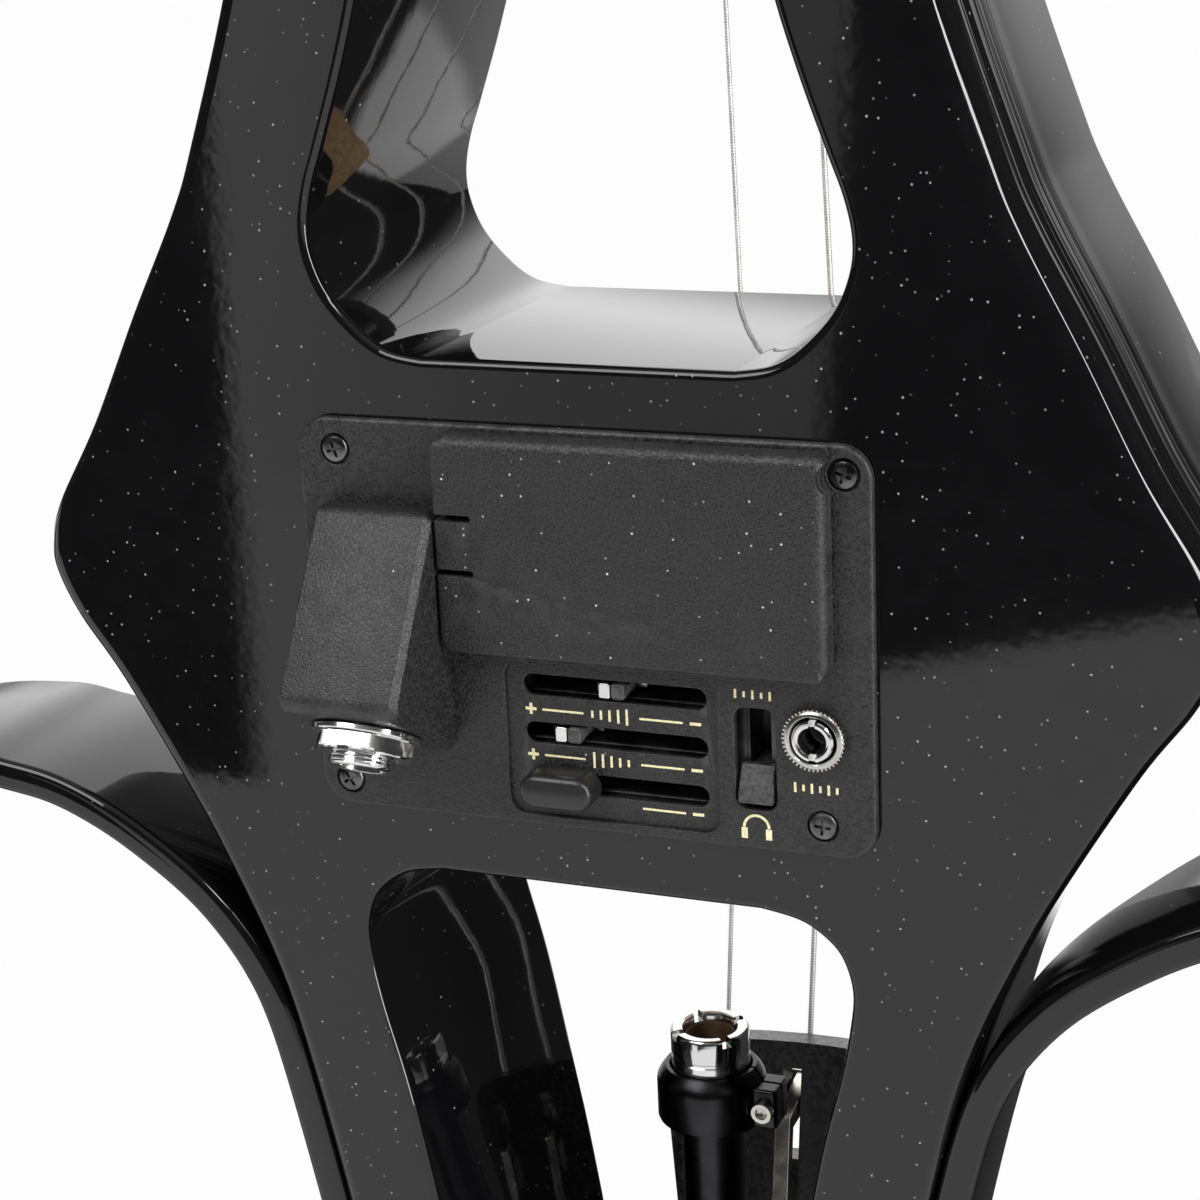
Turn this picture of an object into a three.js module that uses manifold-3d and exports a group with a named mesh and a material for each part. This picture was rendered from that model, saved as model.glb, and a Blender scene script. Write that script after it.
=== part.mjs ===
// Electric cello with an open frame body, in millimetres.
//
// The pieces are laid out as the maker sees the instrument from behind: u runs to the right,
// v runs up the instrument towards the scroll and w comes out of the back. v is zero at the
// bridge line and w is zero on the back face. The last group stands the instrument up, so that
// z is up, the strings face -y and the origin lies under the tip of the stowed endpin.

import * as THREE from 'three';
import { mergeVertices } from 'three/addons/utils/BufferGeometryUtils.js';
import Module from 'manifold-3d';

const wasm = await Module();
wasm.setup();

// General clearances and facet counts
const SEAT_GAP = 0.3;
const CUT_OVERRUN = 3;
const FINE_SIDES = 16;
const ROUND_SIDES = 12;
const SMALL_SIDES = 8;

// Body: a slab with two openings, waisted like a cello
const STRING_LENGTH = 690;
const BODY_HALF_WIDTH = 84;
const BODY_RISE = 400;
const BODY_DROP = 355;
const BODY_THICKNESS = 52;
const BODY_EDGE_ROUND = 2.5;
const OPENING_HALF_WIDTH = 39.3;
const UPPER_OPENING_START = 36.4;
const UPPER_OPENING_LENGTH = 127;
const LOWER_OPENING_HALF_WIDTH = 37;
const LOWER_OPENING_START = 37.6;
const LOWER_OPENING_LENGTH = 257;
const OUTLINE_STEPS = 2;

// Half widths of the body as shares of its greatest, at shares of its rise and of its drop
const RISE_SHARES = [
  [0.998, 0.0055], [1.0, 0.017], [0.977, 0.032], [0.891, 0.062], [0.795, 0.1015],
  [0.705, 0.1365], [0.6575, 0.16], [0.559, 0.22], [0.47, 0.295], [0.398, 0.38],
  [0.339, 0.5], [0.315, 0.675], [0.309, 0.85], [0.309, 1.0],
];
const DROP_SHARES = [
  [0.96, 0.013], [0.883, 0.039], [0.766, 0.0865], [0.703, 0.116], [0.634, 0.154],
  [0.584, 0.194], [0.517, 0.268], [0.458, 0.352], [0.428, 0.465], [0.44, 0.592],
  [0.499, 0.732], [0.559, 0.859], [0.565, 0.944], [0.535, 0.981], [0.45, 1.0],
];
// Openings: half widths as shares of their greatest, at shares of their length
const UPPER_OPENING_SHARES = [
  [0.62, 0.0], [0.74, 0.007], [0.83, 0.026], [0.925, 0.062], [0.985, 0.1],
  [1.0, 0.135], [0.965, 0.175], [0.89, 0.22], [0.73, 0.39], [0.575, 0.565],
  [0.45, 0.735], [0.36, 0.88], [0.24, 0.97], [0.1, 1.0],
];
const LOWER_OPENING_SHARES = [
  [0.66, 0.0], [0.8, 0.003], [0.9, 0.01], [0.965, 0.02], [1.0, 0.037],
  [0.99, 0.057], [0.95, 0.088], [0.865, 0.138], [0.775, 0.208], [0.69, 0.275],
  [0.61, 0.36], [0.555, 0.5], [0.555, 0.67], [0.58, 0.83], [0.54, 0.94], [0.38, 0.99], [0.16, 1.0],
];

// Wings: one bent hoop on each side, screwed to the flanks of the body
const WING_REACH = 205;
const WING_START_SHARE = 0.62;
const WING_THICKNESS = 5;
const WING_WIDTH = 34;
const WING_ROOT_WIDTH = 22.5;
const WING_BACK_INSET = 1;
const WING_TAPER_START = 60;
const WING_TAPER_END = 90;
const WING_ROOT_TOP = 74;
const WING_ROOT_LENGTH = 56;
const WING_FOOT_TOP = 292;
const WING_FOOT_LENGTH = 40;
const WING_HUG_STEPS = 4;
// The free part of the hoop, as shares of its way out from the flank and of the drop of the body
const WING_SHARES = [
  [0.008, 0.1816], [0.028, 0.1623], [0.055, 0.1454], [0.088, 0.1304], [0.132, 0.1161], [0.183, 0.1028],
  [0.238, 0.093], [0.293, 0.0887], [0.356, 0.0862], [0.477, 0.0944], [0.64, 0.1296], [0.784, 0.1915],
  [0.902, 0.2761], [0.974, 0.3803], [1, 0.493], [0.987, 0.6056], [0.928, 0.7183], [0.823, 0.8169],
  [0.673, 0.8958], [0.477, 0.9521], [0.281, 0.9803], [0.117, 0.9915], [0.035, 0.9887], [0, 0.971],
];
const WING_SCREW_LEVEL = -12;
const WING_SCREW_HEAD_RADIUS = 4;
const WING_SCREW_HEAD_HEIGHT = 2.6;
const WING_SCREW_RADIUS = 2;
const WING_SCREW_REACH = 12;
const WING_SCREW_KEY_RADIUS = 1.5;
const WING_SCREW_KEY_DEPTH = 1.4;
const WING_UPPER_SCREW_DROP = 108;
const WING_LOWER_SCREW_DROP = 312;

// Neck, pegbox and scroll, in one piece of maple
const NECK_TONGUE_LENGTH = 70;
const NECK_TONGUE_HALF_WIDTH = 17;
const HEEL_DEPTH = 65;
const NECK_DEPTH = 21;
const HEAD_TILT = 0.21;
const HEAD_FRONT = 50;
const PEGBOX_LENGTH = 158;
const PEGBOX_HALF_WIDTH = 21;
const PEGBOX_TOP_HALF_WIDTH = 14.5;
const PEGBOX_DEPTH = 34;
const PEGBOX_TOP_DEPTH = 28;
const PEGBOX_WALL = 6;
const PEGBOX_FLOOR = 7;
const PEGBOX_CAVITY_START = 4;
const PEGBOX_CAVITY_END = 134;
const PEGBOX_CAVITY_SLANT = 9;
const FLUTE_DEPTH = 1.8;
const SCROLL_CENTRE_RISE = 182;
const SCROLL_OUTER_RADIUS = 33;
const SCROLL_EYE_RADIUS = 8;
const SCROLL_EYE_HALF_WIDTH = 31;
const SCROLL_TURNS = 2.25;
const SCROLL_STEPS_PER_TURN = 12;
const SCROLL_LEAD_IN_TURNS = 0.19;
const SCROLL_CORE_SHARE = 0.35;
const NECK_STATION_SHARES = [
  [0.0, 1.0], [0.018, 0.93], [0.042, 0.76], [0.07, 0.6], [0.105, 0.47],
  [0.16, 0.39], [0.25, 0.353], [0.5, 0.335], [0.8, 0.323], [1.03, 0.31],
];
const NECK_EDGE_SHARE = 0.22;
const NECK_FULLNESS_SHARE = 0.7;
const PEGBOX_STATION_SHARES = [-0.05, 0.3, 0.65, 1.0];
// The volute is made in three overlapping stretches, given as shares of its turns
const SCROLL_STRETCH_SHARES = [[0, 0.42], [0.4, 0.78], [0.74, 1]];
const SCROLL_WIDTH_SHARES = [0.47, 0.45, 0.41, 0.42, 0.52, 0.62, 0.71, 0.79, 0.87, 0.94, 1.0];

// Fingerboard and nut
const FINGERBOARD_LENGTH_SHARE = 0.8406;
const FINGERBOARD_HALF_WIDTH = 31;
const FINGERBOARD_NUT_HALF_WIDTH = 15.5;
const FINGERBOARD_CROWN = 60;
const FINGERBOARD_EDGE = 6;
const FINGERBOARD_NUT_FRONT = 52.4;
const FINGERBOARD_STRING_GAP = 5.4;
const FINGERBOARD_STATIONS = 5;
const FINGERBOARD_SCOOP_RADIUS = 17;
const FINGERBOARD_SCOOP_LENGTH = 205;
const CROWN_STEPS = 8;
const NUT_LENGTH = 5;
const NUT_RISE = 0.9;

// Bridge and its pickup
const BRIDGE_HEIGHT = 86.6;
const BRIDGE_HALF_SPAN = 46;
const BRIDGE_CROWN = 60;
const BRIDGE_FOOT_THICKNESS = 11;
const BRIDGE_TOP_THICKNESS = 2.8;
const BRIDGE_TOP_HALF_WIDTH = 28;
const BRIDGE_HEART = 5;
const BRIDGE_HEART_RISE_SHARE = 0.76;
const HEART_LOBE_SHARE = 0.5;
const PICKUP_BAR_HEIGHT = 3.2;
const PICKUP_BAR_HALF_LENGTH = 49;
const PICKUP_BAR_HALF_WIDTH = 6.5;
// Outside of one half, as shares of the half span and of the height
const BRIDGE_LEG_SHARES = [
  [1.0, 0.0], [1.0, 0.045], [0.93, 0.075], [0.82, 0.1], [0.74, 0.18],
  [0.68, 0.33], [0.64, 0.45], [0.58, 0.5], [0.4, 0.49], [0.32, 0.53],
  [0.33, 0.585], [0.42, 0.61], [0.62, 0.6], [0.75, 0.62], [0.77, 0.68],
  [0.7, 0.78], [0.64, 0.88],
];
const BRIDGE_ARCH_SHARES = [
  [0.64, 0.0], [0.64, 0.04], [0.58, 0.085], [0.52, 0.18], [0.44, 0.3],
  [0.27, 0.4], [0.1, 0.437],
];
const LEAD_RADIUS = 1.5;
const LEAD_PLACE = -8;
const LEAD_PLAY = 0.6;
const LEAD_CLIMB = 10;
const LEAD_STEPS = 14;
// Way of the lead from the pocket floor to the board: shares of its climb, at shares of its depth
const LEAD_ROUTE_SHARES = [[0, 0.95], [0.2, 0.72], [0.6, 0.48], [0.9, 0.28], [1, 0.12], [1, 0]];

// Tailpiece with built-in fine tuners
const TAIL_TOP_DROP = 113;
const TAIL_TOP_HEIGHT = 58;
const TAIL_LENGTH = 225;
const TAIL_END_HEIGHT = 18;
const TAIL_HALF_WIDTH = 30;
const TAIL_CROWN = 50;
const TAIL_THICKNESS = 6;
const TAIL_UNDER_SHARE = 0.95;
const TAIL_WIDTH_SHARES = [
  [0.0, 0.9], [0.012, 0.98], [0.04, 1.0], [0.18, 0.88], [0.4, 0.74],
  [0.65, 0.63], [0.88, 0.57], [0.97, 0.53], [1.0, 0.46],
];
const TUNER_SLOT_START = 5;
const TUNER_SLOT_LENGTH = 17;
const TUNER_PIVOT = 14;
const TUNER_PIVOT_DEPTH = 9.6;
const TUNER_SCREW_PLACE = 34;
const TUNER_ARM_THICKNESS = 2.4;
const TUNER_ARM_WIDTH = 2.8;
const TUNER_ARM_END = 37.5;
const TUNER_BLOCK_FRONT = 7.6;
const TUNER_BLOCK_BACK = 12.6;
const TUNER_BLOCK_WIDTH = 6.4;
const TUNER_BLOCK_TOP = 6.6;
const TUNER_BLOCK_FOOT = 1.4;
const TUNER_STRING_RISE = 4.2;
const TUNER_SCREW_RADIUS = 1.8;
const TUNER_HEAD_RADIUS = 4.6;
const TUNER_HEAD_HEIGHT = 5;
const TUNER_HEAD_RISE = 3.2;
const TUNER_HEAD_FLUTES = 9;
const TUNER_HEAD_FLUTE_DEPTH = 0.55;
const BALL_RADIUS = 2;
const BALL_PLAY = 0.9;
const BALL_STATION_SHARES = [2, 1.5, 0.5, 0];
const TAILGUT_RADIUS = 1.3;
const TAILGUT_PLAY = 0.9;
const TAILGUT_STEPS = 34;
const TAILGUT_HALF_SPREAD = 6;
const TAILGUT_HOLE_PLACE = 213;
const SADDLE_HALF_LENGTH = 18;
const SADDLE_HEIGHT = 6;
const SADDLE_DEPTH = 9;

// Strings: name, radius and the side of the centre that each lies on, in steps of spacing
const STRINGS = [
  { name: 'a', radius: 0.4, lane: -1.5 },
  { name: 'd', radius: 0.5, lane: -0.5 },
  { name: 'g', radius: 0.65, lane: 0.5 },
  { name: 'c', radius: 0.85, lane: 1.5 },
];
const BRIDGE_SPACING = 15.8;
const NUT_SPACING = 7.4;
const TAIL_SPACING = 14.6;
const STRING_SIDES = 6;
const WINDING_TURNS = 3;
const WINDING_STEPS = 24;
const WINDING_GAP = 0.55;
const STRING_SEAT_GAP = 0.35;

// Pegs: distance from the nut, depth in the pegbox and the side of the head
const PEG_PLACES = {
  c: { along: 27, depth: 16, side: 1, lane: 0.28 },
  a: { along: 50, depth: 16, side: -1, lane: 0.28 },
  g: { along: 82, depth: 13, side: 1, lane: 0.12 },
  d: { along: 105, depth: 13, side: -1, lane: 0.12 },
};
const PEG_TIP_RADIUS = 4.6;
const PEG_HEAD_RADIUS = 5.6;
const PEG_COLLAR_RADIUS = 8.4;
const PEG_COLLAR_LENGTH = 5;
const PEG_NECK_RADIUS = 4.6;
const PEG_NECK_LENGTH = 9;
const PEG_THUMB_LENGTH = 15;
const PEG_THUMB_HALF_WIDTH = 13;
const PEG_THUMB_HALF_THICKNESS = 5.5;
const PEG_PIP_RADIUS = 3;
const PEG_COLLAR_EDGE_SHARE = 0.7;
const PEG_COLLAR_CROWN_SHARE = 0.8;
const PEG_NECK_DIP_SHARE = 0.3;
const PEG_THUMB_SET_SHARE = 0.8;
const PEG_THUMB_RINGS = 5;
const PEG_SIDES = 10;
const PEG_TIP_PROUD = 1.2;
const PEG_COLLAR_GAP = 1;

// Endpin, drawn stowed: its tip is all that shows under the body
const ENDPIN_SET_IN = 10;
const ENDPIN_STOWED_LENGTH = 45;
const ENDPIN_TUBE_RADIUS = 5;
const ENDPIN_BORE_RADIUS = 4;
const ENDPIN_TOP_DROP = 78;
const FERRULE_RADIUS = 6.2;
const FERRULE_BORE_RADIUS = 4.15;
const FERRULE_LENGTH = 9;
const FERRULE_NOTCH_WIDTH = 1.5;
const FERRULE_NOTCH_DEPTH = 1.3;
const FERRULE_NOTCHES = 4;
const COLLAR_RADIUS = 8.6;
const COLLAR_TOP_RADIUS = 7.2;
const COLLAR_LENGTH = 9;
const COLLAR_RISE = 3;
const COLLAR_SHOULDER = 2.2;
const COLLAR_LUG_REACH = 11.6;
const COLLAR_LUG_WIDTH = 6;
const COLLAR_LUG_LENGTH = 6.5;
const HOLDER_PLUG_RADIUS = 7.5;
const HOLDER_PLUG_LENGTH = 28;
const HOLDER_NECK_LENGTH = 4.6;
const HOLDER_FLANGE_RADIUS = 9.5;
const HOLDER_FLANGE_LENGTH = 5;
const HOLDER_BOSS_RADIUS = 8.7;
const HOLDER_BOSS_LENGTH = 16;
const THUMBSCREW_RADIUS = 2.5;
const THUMBSCREW_HEAD_RADIUS = 7;
const THUMBSCREW_HEAD_HEIGHT = 8;
const THUMBSCREW_HEAD_STANDOFF = 3;
const THUMBSCREW_FLUTES = 10;
const THUMBSCREW_FLUTE_DEPTH = 0.9;
const TIP_RADIUS = 9;
const TIP_FOOT_RADIUS = 7.4;
const TIP_LENGTH = 18;
const TIP_SOCKET_DEPTH = 12;

// Preamp panel let into the back, its centre on the bridge line
const PLATE_HALF_WIDTH = 40.6;
const PLATE_HALF_HEIGHT = 28.05;
const PLATE_OUT = 1.5;
const PLATE_CORNER = 4.5;
const PLATE_EDGE_ROUND = 0.5;
const TRAY_DEPTH = 28;
const TRAY_WALL = 1.6;
const TRAY_CLEARANCE = 0.4;
const POCKET_DEPTH = 29;
const POCKET_CORNER = 2.5;
const BATTERY_POCKET = { left: -21, right: 33.9, bottom: -2.6, top: 26.9 };
const MAIN_POCKET = { left: -33.5, right: 38.4, bottom: -21.4, top: 2 };
const JACK_POCKET = { left: -36.6, right: -16, bottom: -21.4, top: 17.5 };
const SLIDER_POCKET = { left: -15, right: 30.4, bottom: -26.6, top: -17 };
const BAY_FLOOR = 1.3;
const BATTERY_LENGTH = 46.4;
const BATTERY_STUD_LENGTH = 2.1;
const BATTERY_STUD_RADIUS = 3.2;
const BATTERY_STUD_SPACING = 12.7;
const BATTERY_HEIGHT = 26.2;
const BATTERY_DEPTH = 17.2;
const BATTERY_RIGHT = 32.2;
const BATTERY_TOP = 25.4;
const BATTERY_CORNER = 2;
const BATTERY_OUT = 1.6;
const CLIP_THICKNESS = 1.4;
const LID_LEFT = -19.1;
const LID_RIGHT = 35.3;
const LID_BOTTOM = -2.8;
const LID_TOP = 27.2;
const LID_OUT = 5;
const LID_SHELL = 1.4;
const LID_CORNER = 2;
const LID_EDGE_ROUND = 1.1;
const LID_SLIT_LENGTH = 5.4;
const LID_SLIT_WIDTH = 0.9;
const LID_SLIT_HEIGHTS = { upper: 16, lower: 8.4 };
const LID_LATCH_DEPTH = 3;
const LID_LATCH_THICKNESS = 1.1;
const LID_LATCH_INSET = 1.2;
const PANEL_LEFT = -11.6;
const PANEL_RIGHT = 18.9;
const PANEL_TOP = -4.4;
const PANEL_BOTTOM = -26.5;
const PANEL_CORNER = 2.4;
const PANEL_SINK = 0.6;
const SLOT_CENTRE = 4.1;
const SLOT_HALF_LENGTH = 13.2;
const SLOT_HALF_HEIGHT = 1.5;
const SLIDERS = [
  { name: 'treble', height: -7.8, place: 4.3 },
  { name: 'bass', height: -14.7, place: -2.3 },
  { name: 'volume', height: -21.6, place: -3.3 },
];
const POT_HALF_LENGTH = 15.4;
const POT_HALF_HEIGHT = 2.7;
const POT_DEPTH = 8.4;
const POT_BACK = 1;
const POT_TRACK_HALF_HEIGHT = 1.1;
const POT_TRACK_DEPTH = 5.5;
const LEVER_HALF_LENGTH = 3.2;
const LEVER_HALF_HEIGHT = 0.7;
const LEVER_HEAD_HALF_LENGTH = 2.3;
const LEVER_HEAD_HALF_HEIGHT = 1.15;
const LEVER_HEAD_SHIFT = 0.85;
const LEVER_SHOULDER_DEPTH = 0.7;
const LEVER_OUT = 1.1;
const KNOB_HALF_LENGTH = 5.3;
const KNOB_HALF_HEIGHT = 2.45;
const KNOB_OUT = 6;
const KNOB_LIFT = 0.4;
const KNOB_EDGE_ROUND = 0.9;
const KNOB_CORNER = 1.4;
const SWITCH_CENTRE = 24.15;
const SWITCH_TOP = -8.1;
const SWITCH_BOTTOM = -22.4;
const SWITCH_HALF_SLOT = 2.85;
const SWITCH_SLOT_CORNER = 1.6;
const SWITCH_BODY_HALF_WIDTH = 3.7;
const SWITCH_LEVER_HALF_WIDTH = 2.4;
const SWITCH_LEVER_LENGTH = 5.2;
const SWITCH_LEVER_OUT = 2;
const SWITCH_STEM_HALF_WIDTH = 1.2;
const AUX_PLACE = { right: 32.7, up: -11.2 };
const AUX_RING_RADIUS = 4.1;
const AUX_RING_HEIGHT = 1.6;
const AUX_RING_TEETH = 18;
const AUX_RING_TOOTH = 0.25;
const AUX_BUSH_RADIUS = 2.9;
const AUX_BUSH_OUT = 3.7;
const AUX_BORE_RADIUS = 1.9;
const AUX_BODY_RADIUS = 3.1;
const AUX_BODY_DEPTH = 12;
const BOARD_LEFT = -12.4;
const BOARD_RIGHT = 27.8;
const BOARD_TOP = -4;
const BOARD_BOTTOM = -24.2;
const BOARD_THICKNESS = 1.6;
const WEDGE_LEFT = -36.7;
const WEDGE_RIGHT = -19.5;
const WEDGE_TOP = 16.3;
const WEDGE_TOP_OUT = 5;
const WEDGE_NOSE = -7.5;
const WEDGE_NOSE_OUT = 20;
const WEDGE_FOOT = -18.4;
const WEDGE_WALL = 1.8;
const WEDGE_EDGE_ROUND = 1.2;
const JACK_BUSH_RADIUS = 4.7;
const JACK_BORE_RADIUS = 3.2;
const JACK_BUSH_OUT = 5.4;
const JACK_BODY_RADIUS = 5.7;
const JACK_BODY_LENGTH = 22;
const JACK_NUT_RADIUS = 7.4;
const JACK_NUT_CORNERS = 6;
const JACK_NUT_HEIGHT = 2.6;
const JACK_WASHER_RADIUS = 7.6;
const JACK_WASHER_HEIGHT = 0.8;
// Places of the panel screws, as shares of the half sizes of the plate
const PANEL_SCREW_SHARES = [
  ['upper_left', -0.862, 0.845], ['upper_right', 0.909, 0.863],
  ['lower_left', -0.894, -0.863], ['lower_right', 0.82, -0.845],
];
const PANEL_SCREWS = PANEL_SCREW_SHARES.map(([name, across, rise]) =>
  ({ name, right: across * PLATE_HALF_WIDTH, up: rise * PLATE_HALF_HEIGHT }));
const PANEL_SCREW_HEAD_RADIUS = 1.9;
const PANEL_SCREW_HEAD_HEIGHT = 0.8;
const PANEL_SCREW_RADIUS = 0.9;
const PANEL_SCREW_REACH = 9;
const PANEL_SCREW_SINK = 0.7;
const PANEL_SCREW_CROWN_SHARE = 0.75;
const PANEL_SCREW_CROSS = 1.1;
const PANEL_SCREW_CROSS_WIDTH = 0.45;
const PANEL_SCREW_CROSS_DEPTH = 0.45;

// Values worked out from the sizes above
const FRONT_FACE = -BODY_THICKNESS;
const ENDPIN_AXIS = FRONT_FACE + ENDPIN_SET_IN;
const FLOOR_LINE = -(BODY_DROP + ENDPIN_STOWED_LENGTH);
const FINGERBOARD_LENGTH = FINGERBOARD_LENGTH_SHARE * STRING_LENGTH;
const FINGERBOARD_END = STRING_LENGTH - FINGERBOARD_LENGTH;
const NUT_FRONT = FINGERBOARD_NUT_FRONT + NUT_RISE;
const BRIDGE_FRONT = BODY_THICKNESS + BRIDGE_HEIGHT;
const STRING_END_FRONT = NUT_FRONT + FINGERBOARD_LENGTH_SHARE * (BRIDGE_FRONT - NUT_FRONT);
const FINGERBOARD_END_FRONT = STRING_END_FRONT - FINGERBOARD_STRING_GAP;
const TAIL_TILT = -Math.asin((TAIL_TOP_HEIGHT - TAIL_END_HEIGHT) / TAIL_LENGTH);

// Finishes of the real pieces
const finish = (color, roughness, metalness = 0) =>
  new THREE.MeshStandardMaterial({ color, roughness, metalness });
const GLOSS_BLACK = [0x08080a, 0.08];
const EBONY = [0x17130f, 0.38];
const MOULDED_BLACK = [0x1b1b1c, 0.55];
const RUBBER_BLACK = [0x121212, 0.85];
const MAPLE = [0xc9975a, 0.5];
const CHROME = [0xd8d8da, 0.15, 1];
const NICKEL = [0xb9b6ae, 0.28, 1];
const BLACK_METAL = [0x2a2a2c, 0.35, 1];
const STEEL_WINDING = [0xb4b6b8, 0.3, 1];
const BOARD_GREEN = [0x1f5a36, 0.5];
const BATTERY_GREY = [0x33363a, 0.4];
const GUT_BLACK = [0x1a1a1a, 0.6];

// Solids and booleans

function asSolid(geometry) {
  const plain = geometry.clone();
  plain.deleteAttribute('normal');
  plain.deleteAttribute('uv');
  const merged = mergeVertices(plain);
  const vertProperties = Float32Array.from(merged.attributes.position.array);
  const triVerts = Uint32Array.from(merged.index.array);
  return new wasm.Manifold(new wasm.Mesh({ numProp: 3, vertProperties, triVerts }));
}

function asGeometry(solid) {
  const mesh = solid.getMesh();
  const geometry = new THREE.BufferGeometry();
  geometry.setAttribute('position', new THREE.BufferAttribute(mesh.vertProperties, 3));
  geometry.setIndex(new THREE.BufferAttribute(mesh.triVerts, 1));
  return geometry;
}

function join(...geometries) {
  let solid = asSolid(geometries[0]);
  for (const geometry of geometries.slice(1)) {
    solid = solid.add(asSolid(geometry));
  }
  return asGeometry(solid);
}

function cut(geometry, ...tools) {
  let solid = asSolid(geometry);
  for (const tool of tools) {
    solid = solid.subtract(asSolid(tool));
  }
  return asGeometry(solid);
}

// A closed mesh from points and triangles, its faces turned outwards

function closedGeometry(points, triangles) {
  let volume = 0;
  for (const [a, b, c] of triangles) {
    volume += points[a].dot(points[b].clone().cross(points[c]));
  }
  const ordered = volume < 0 ? triangles.map(([a, b, c]) => [a, c, b]) : triangles;
  const geometry = new THREE.BufferGeometry();
  geometry.setAttribute('position', new THREE.Float32BufferAttribute(points.flatMap((p) => p.toArray()), 3));
  geometry.setIndex(ordered.flat());
  return geometry;
}

// A solid through a row of sections, each made of a front row and a back row of points

function loftRows(sections) {
  const count = sections[0].front.length;
  const ring = 2 * count;
  const points = sections.flatMap(({ front, back }) => [...front, ...[...back].reverse()]);
  const triangles = [];
  for (let station = 0; station + 1 < sections.length; station += 1) {
    for (let i = 0; i < ring; i += 1) {
      const a = station * ring + i;
      const b = station * ring + ((i + 1) % ring);
      triangles.push([a, b, b + ring], [a, b + ring, a + ring]);
    }
  }
  for (let i = 0; i + 1 < count; i += 1) {
    const j = ring - 1 - i;
    triangles.push([i + 1, i, j], [i + 1, j, j - 1]);
    const last = (sections.length - 1) * ring;
    triangles.push([last + i, last + i + 1, last + j], [last + i + 1, last + j - 1, last + j]);
  }
  return closedGeometry(points, triangles);
}

// A round tube through points, with a radius for each, mitred where it bends

function tubeThrough(points, radii, sides) {
  const rings = [];
  let across = null;
  points.forEach((point, i) => {
    const before = points[Math.max(i - 1, 0)];
    const after = points[Math.min(i + 1, points.length - 1)];
    const along = after.clone().sub(before).normalize();
    if (across === null) {
      across = new THREE.Vector3(1, 0, 0);
    }
    across = across.clone().addScaledVector(along, -across.dot(along)).normalize();
    const up = along.clone().cross(across);
    const ring = [];
    for (let side = 0; side < sides; side += 1) {
      const turn = (2 * Math.PI * side) / sides;
      const spoke = across.clone().multiplyScalar(Math.cos(turn)).addScaledVector(up, Math.sin(turn));
      ring.push(point.clone().addScaledVector(spoke, radii[i]));
    }
    rings.push(ring);
  });
  const vertices = rings.flat();
  const triangles = [];
  for (let i = 0; i + 1 < rings.length; i += 1) {
    for (let side = 0; side < sides; side += 1) {
      const a = i * sides + side;
      const b = i * sides + ((side + 1) % sides);
      triangles.push([a, b, b + sides], [a, b + sides, a + sides]);
    }
  }
  const last = (rings.length - 1) * sides;
  for (let side = 1; side + 1 < sides; side += 1) {
    triangles.push([0, side + 1, side], [last, last + side, last + side + 1]);
  }
  return closedGeometry(vertices, triangles);
}

// Simple forms placed in the layout frame

const box = (left, right, bottom, top, near, far) => {
  const geometry = new THREE.BoxGeometry(right - left, top - bottom, far - near);
  return geometry.translate((left + right) / 2, (bottom + top) / 2, (near + far) / 2);
};

function roundedRectangle(left, right, bottom, top, corner) {
  const shape = new THREE.Shape();
  shape.moveTo(left + corner, bottom);
  shape.lineTo(right - corner, bottom);
  shape.absarc(right - corner, bottom + corner, corner, -Math.PI / 2, 0, false);
  shape.lineTo(right, top - corner);
  shape.absarc(right - corner, top - corner, corner, 0, Math.PI / 2, false);
  shape.lineTo(left + corner, top);
  shape.absarc(left + corner, top - corner, corner, Math.PI / 2, Math.PI, false);
  shape.lineTo(left, bottom + corner);
  shape.absarc(left + corner, bottom + corner, corner, Math.PI, 1.5 * Math.PI, false);
  return shape;
}

// A plan extruded between two levels, with its long edges rounded by the given amount

function slab(shape, near, far, round = 0, curveSegments = 3, roundSteps = 2) {
  const geometry = new THREE.ExtrudeGeometry(shape, {
    depth: far - near - 2 * round,
    bevelEnabled: round > 0,
    bevelThickness: round,
    bevelSize: round,
    bevelOffset: -round,
    bevelSegments: roundSteps,
    curveSegments,
  });
  return geometry.translate(0, 0, near + round);
}

const roundedBox = (left, right, bottom, top, near, far, corner, round = 0, roundSteps = 1) =>
  slab(roundedRectangle(left, right, bottom, top, corner), near, far, round, 2, roundSteps);

// Turned pieces: profiles of radius and height, closed on the axis or on themselves

const turned = (profile, sides) =>
  new THREE.LatheGeometry(profile.map(([radius, height]) => new THREE.Vector2(radius, height)), sides);

const rod = (radius, from, to, sides) =>
  turned([[0, from], [radius, from], [radius, to], [0, to]], sides);

const alongOut = (geometry) => geometry.rotateX(Math.PI / 2);
const alongRight = (geometry) => geometry.rotateZ(-Math.PI / 2);

function rodOut(radius, near, far, sides) {
  return alongOut(rod(radius, near, far, sides));
}

// A prism whose corners reach the radius, or fall short of it by the tooth at every second one

function fluted(radius, height, teeth, tooth, bore = 0) {
  const corners = tooth > 0 ? 2 * teeth : teeth;
  const points = [];
  for (let i = 0; i < corners; i += 1) {
    const turn = (2 * Math.PI * i) / corners;
    const reach = radius - (i % 2) * tooth;
    points.push(new THREE.Vector2(reach * Math.cos(turn), reach * Math.sin(turn)));
  }
  const shape = new THREE.Shape(points);
  if (bore > 0) {
    const hole = new THREE.Path();
    hole.absarc(0, 0, bore, 0, 2 * Math.PI, true);
    shape.holes.push(hole);
  }
  return new THREE.ExtrudeGeometry(shape, { depth: height, bevelEnabled: false, curveSegments: SMALL_SIDES });
}

// Groups that hold the pieces

const instrument = new THREE.Group();
const head = new THREE.Group();
const tail = new THREE.Group();
instrument.add(head, tail);

function addPiece(name, geometry, look, carrier = instrument) {
  const mesh = new THREE.Mesh(geometry, finish(...look));
  mesh.name = name;
  carrier.add(mesh);
  return mesh;
}

// Outlines

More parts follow.
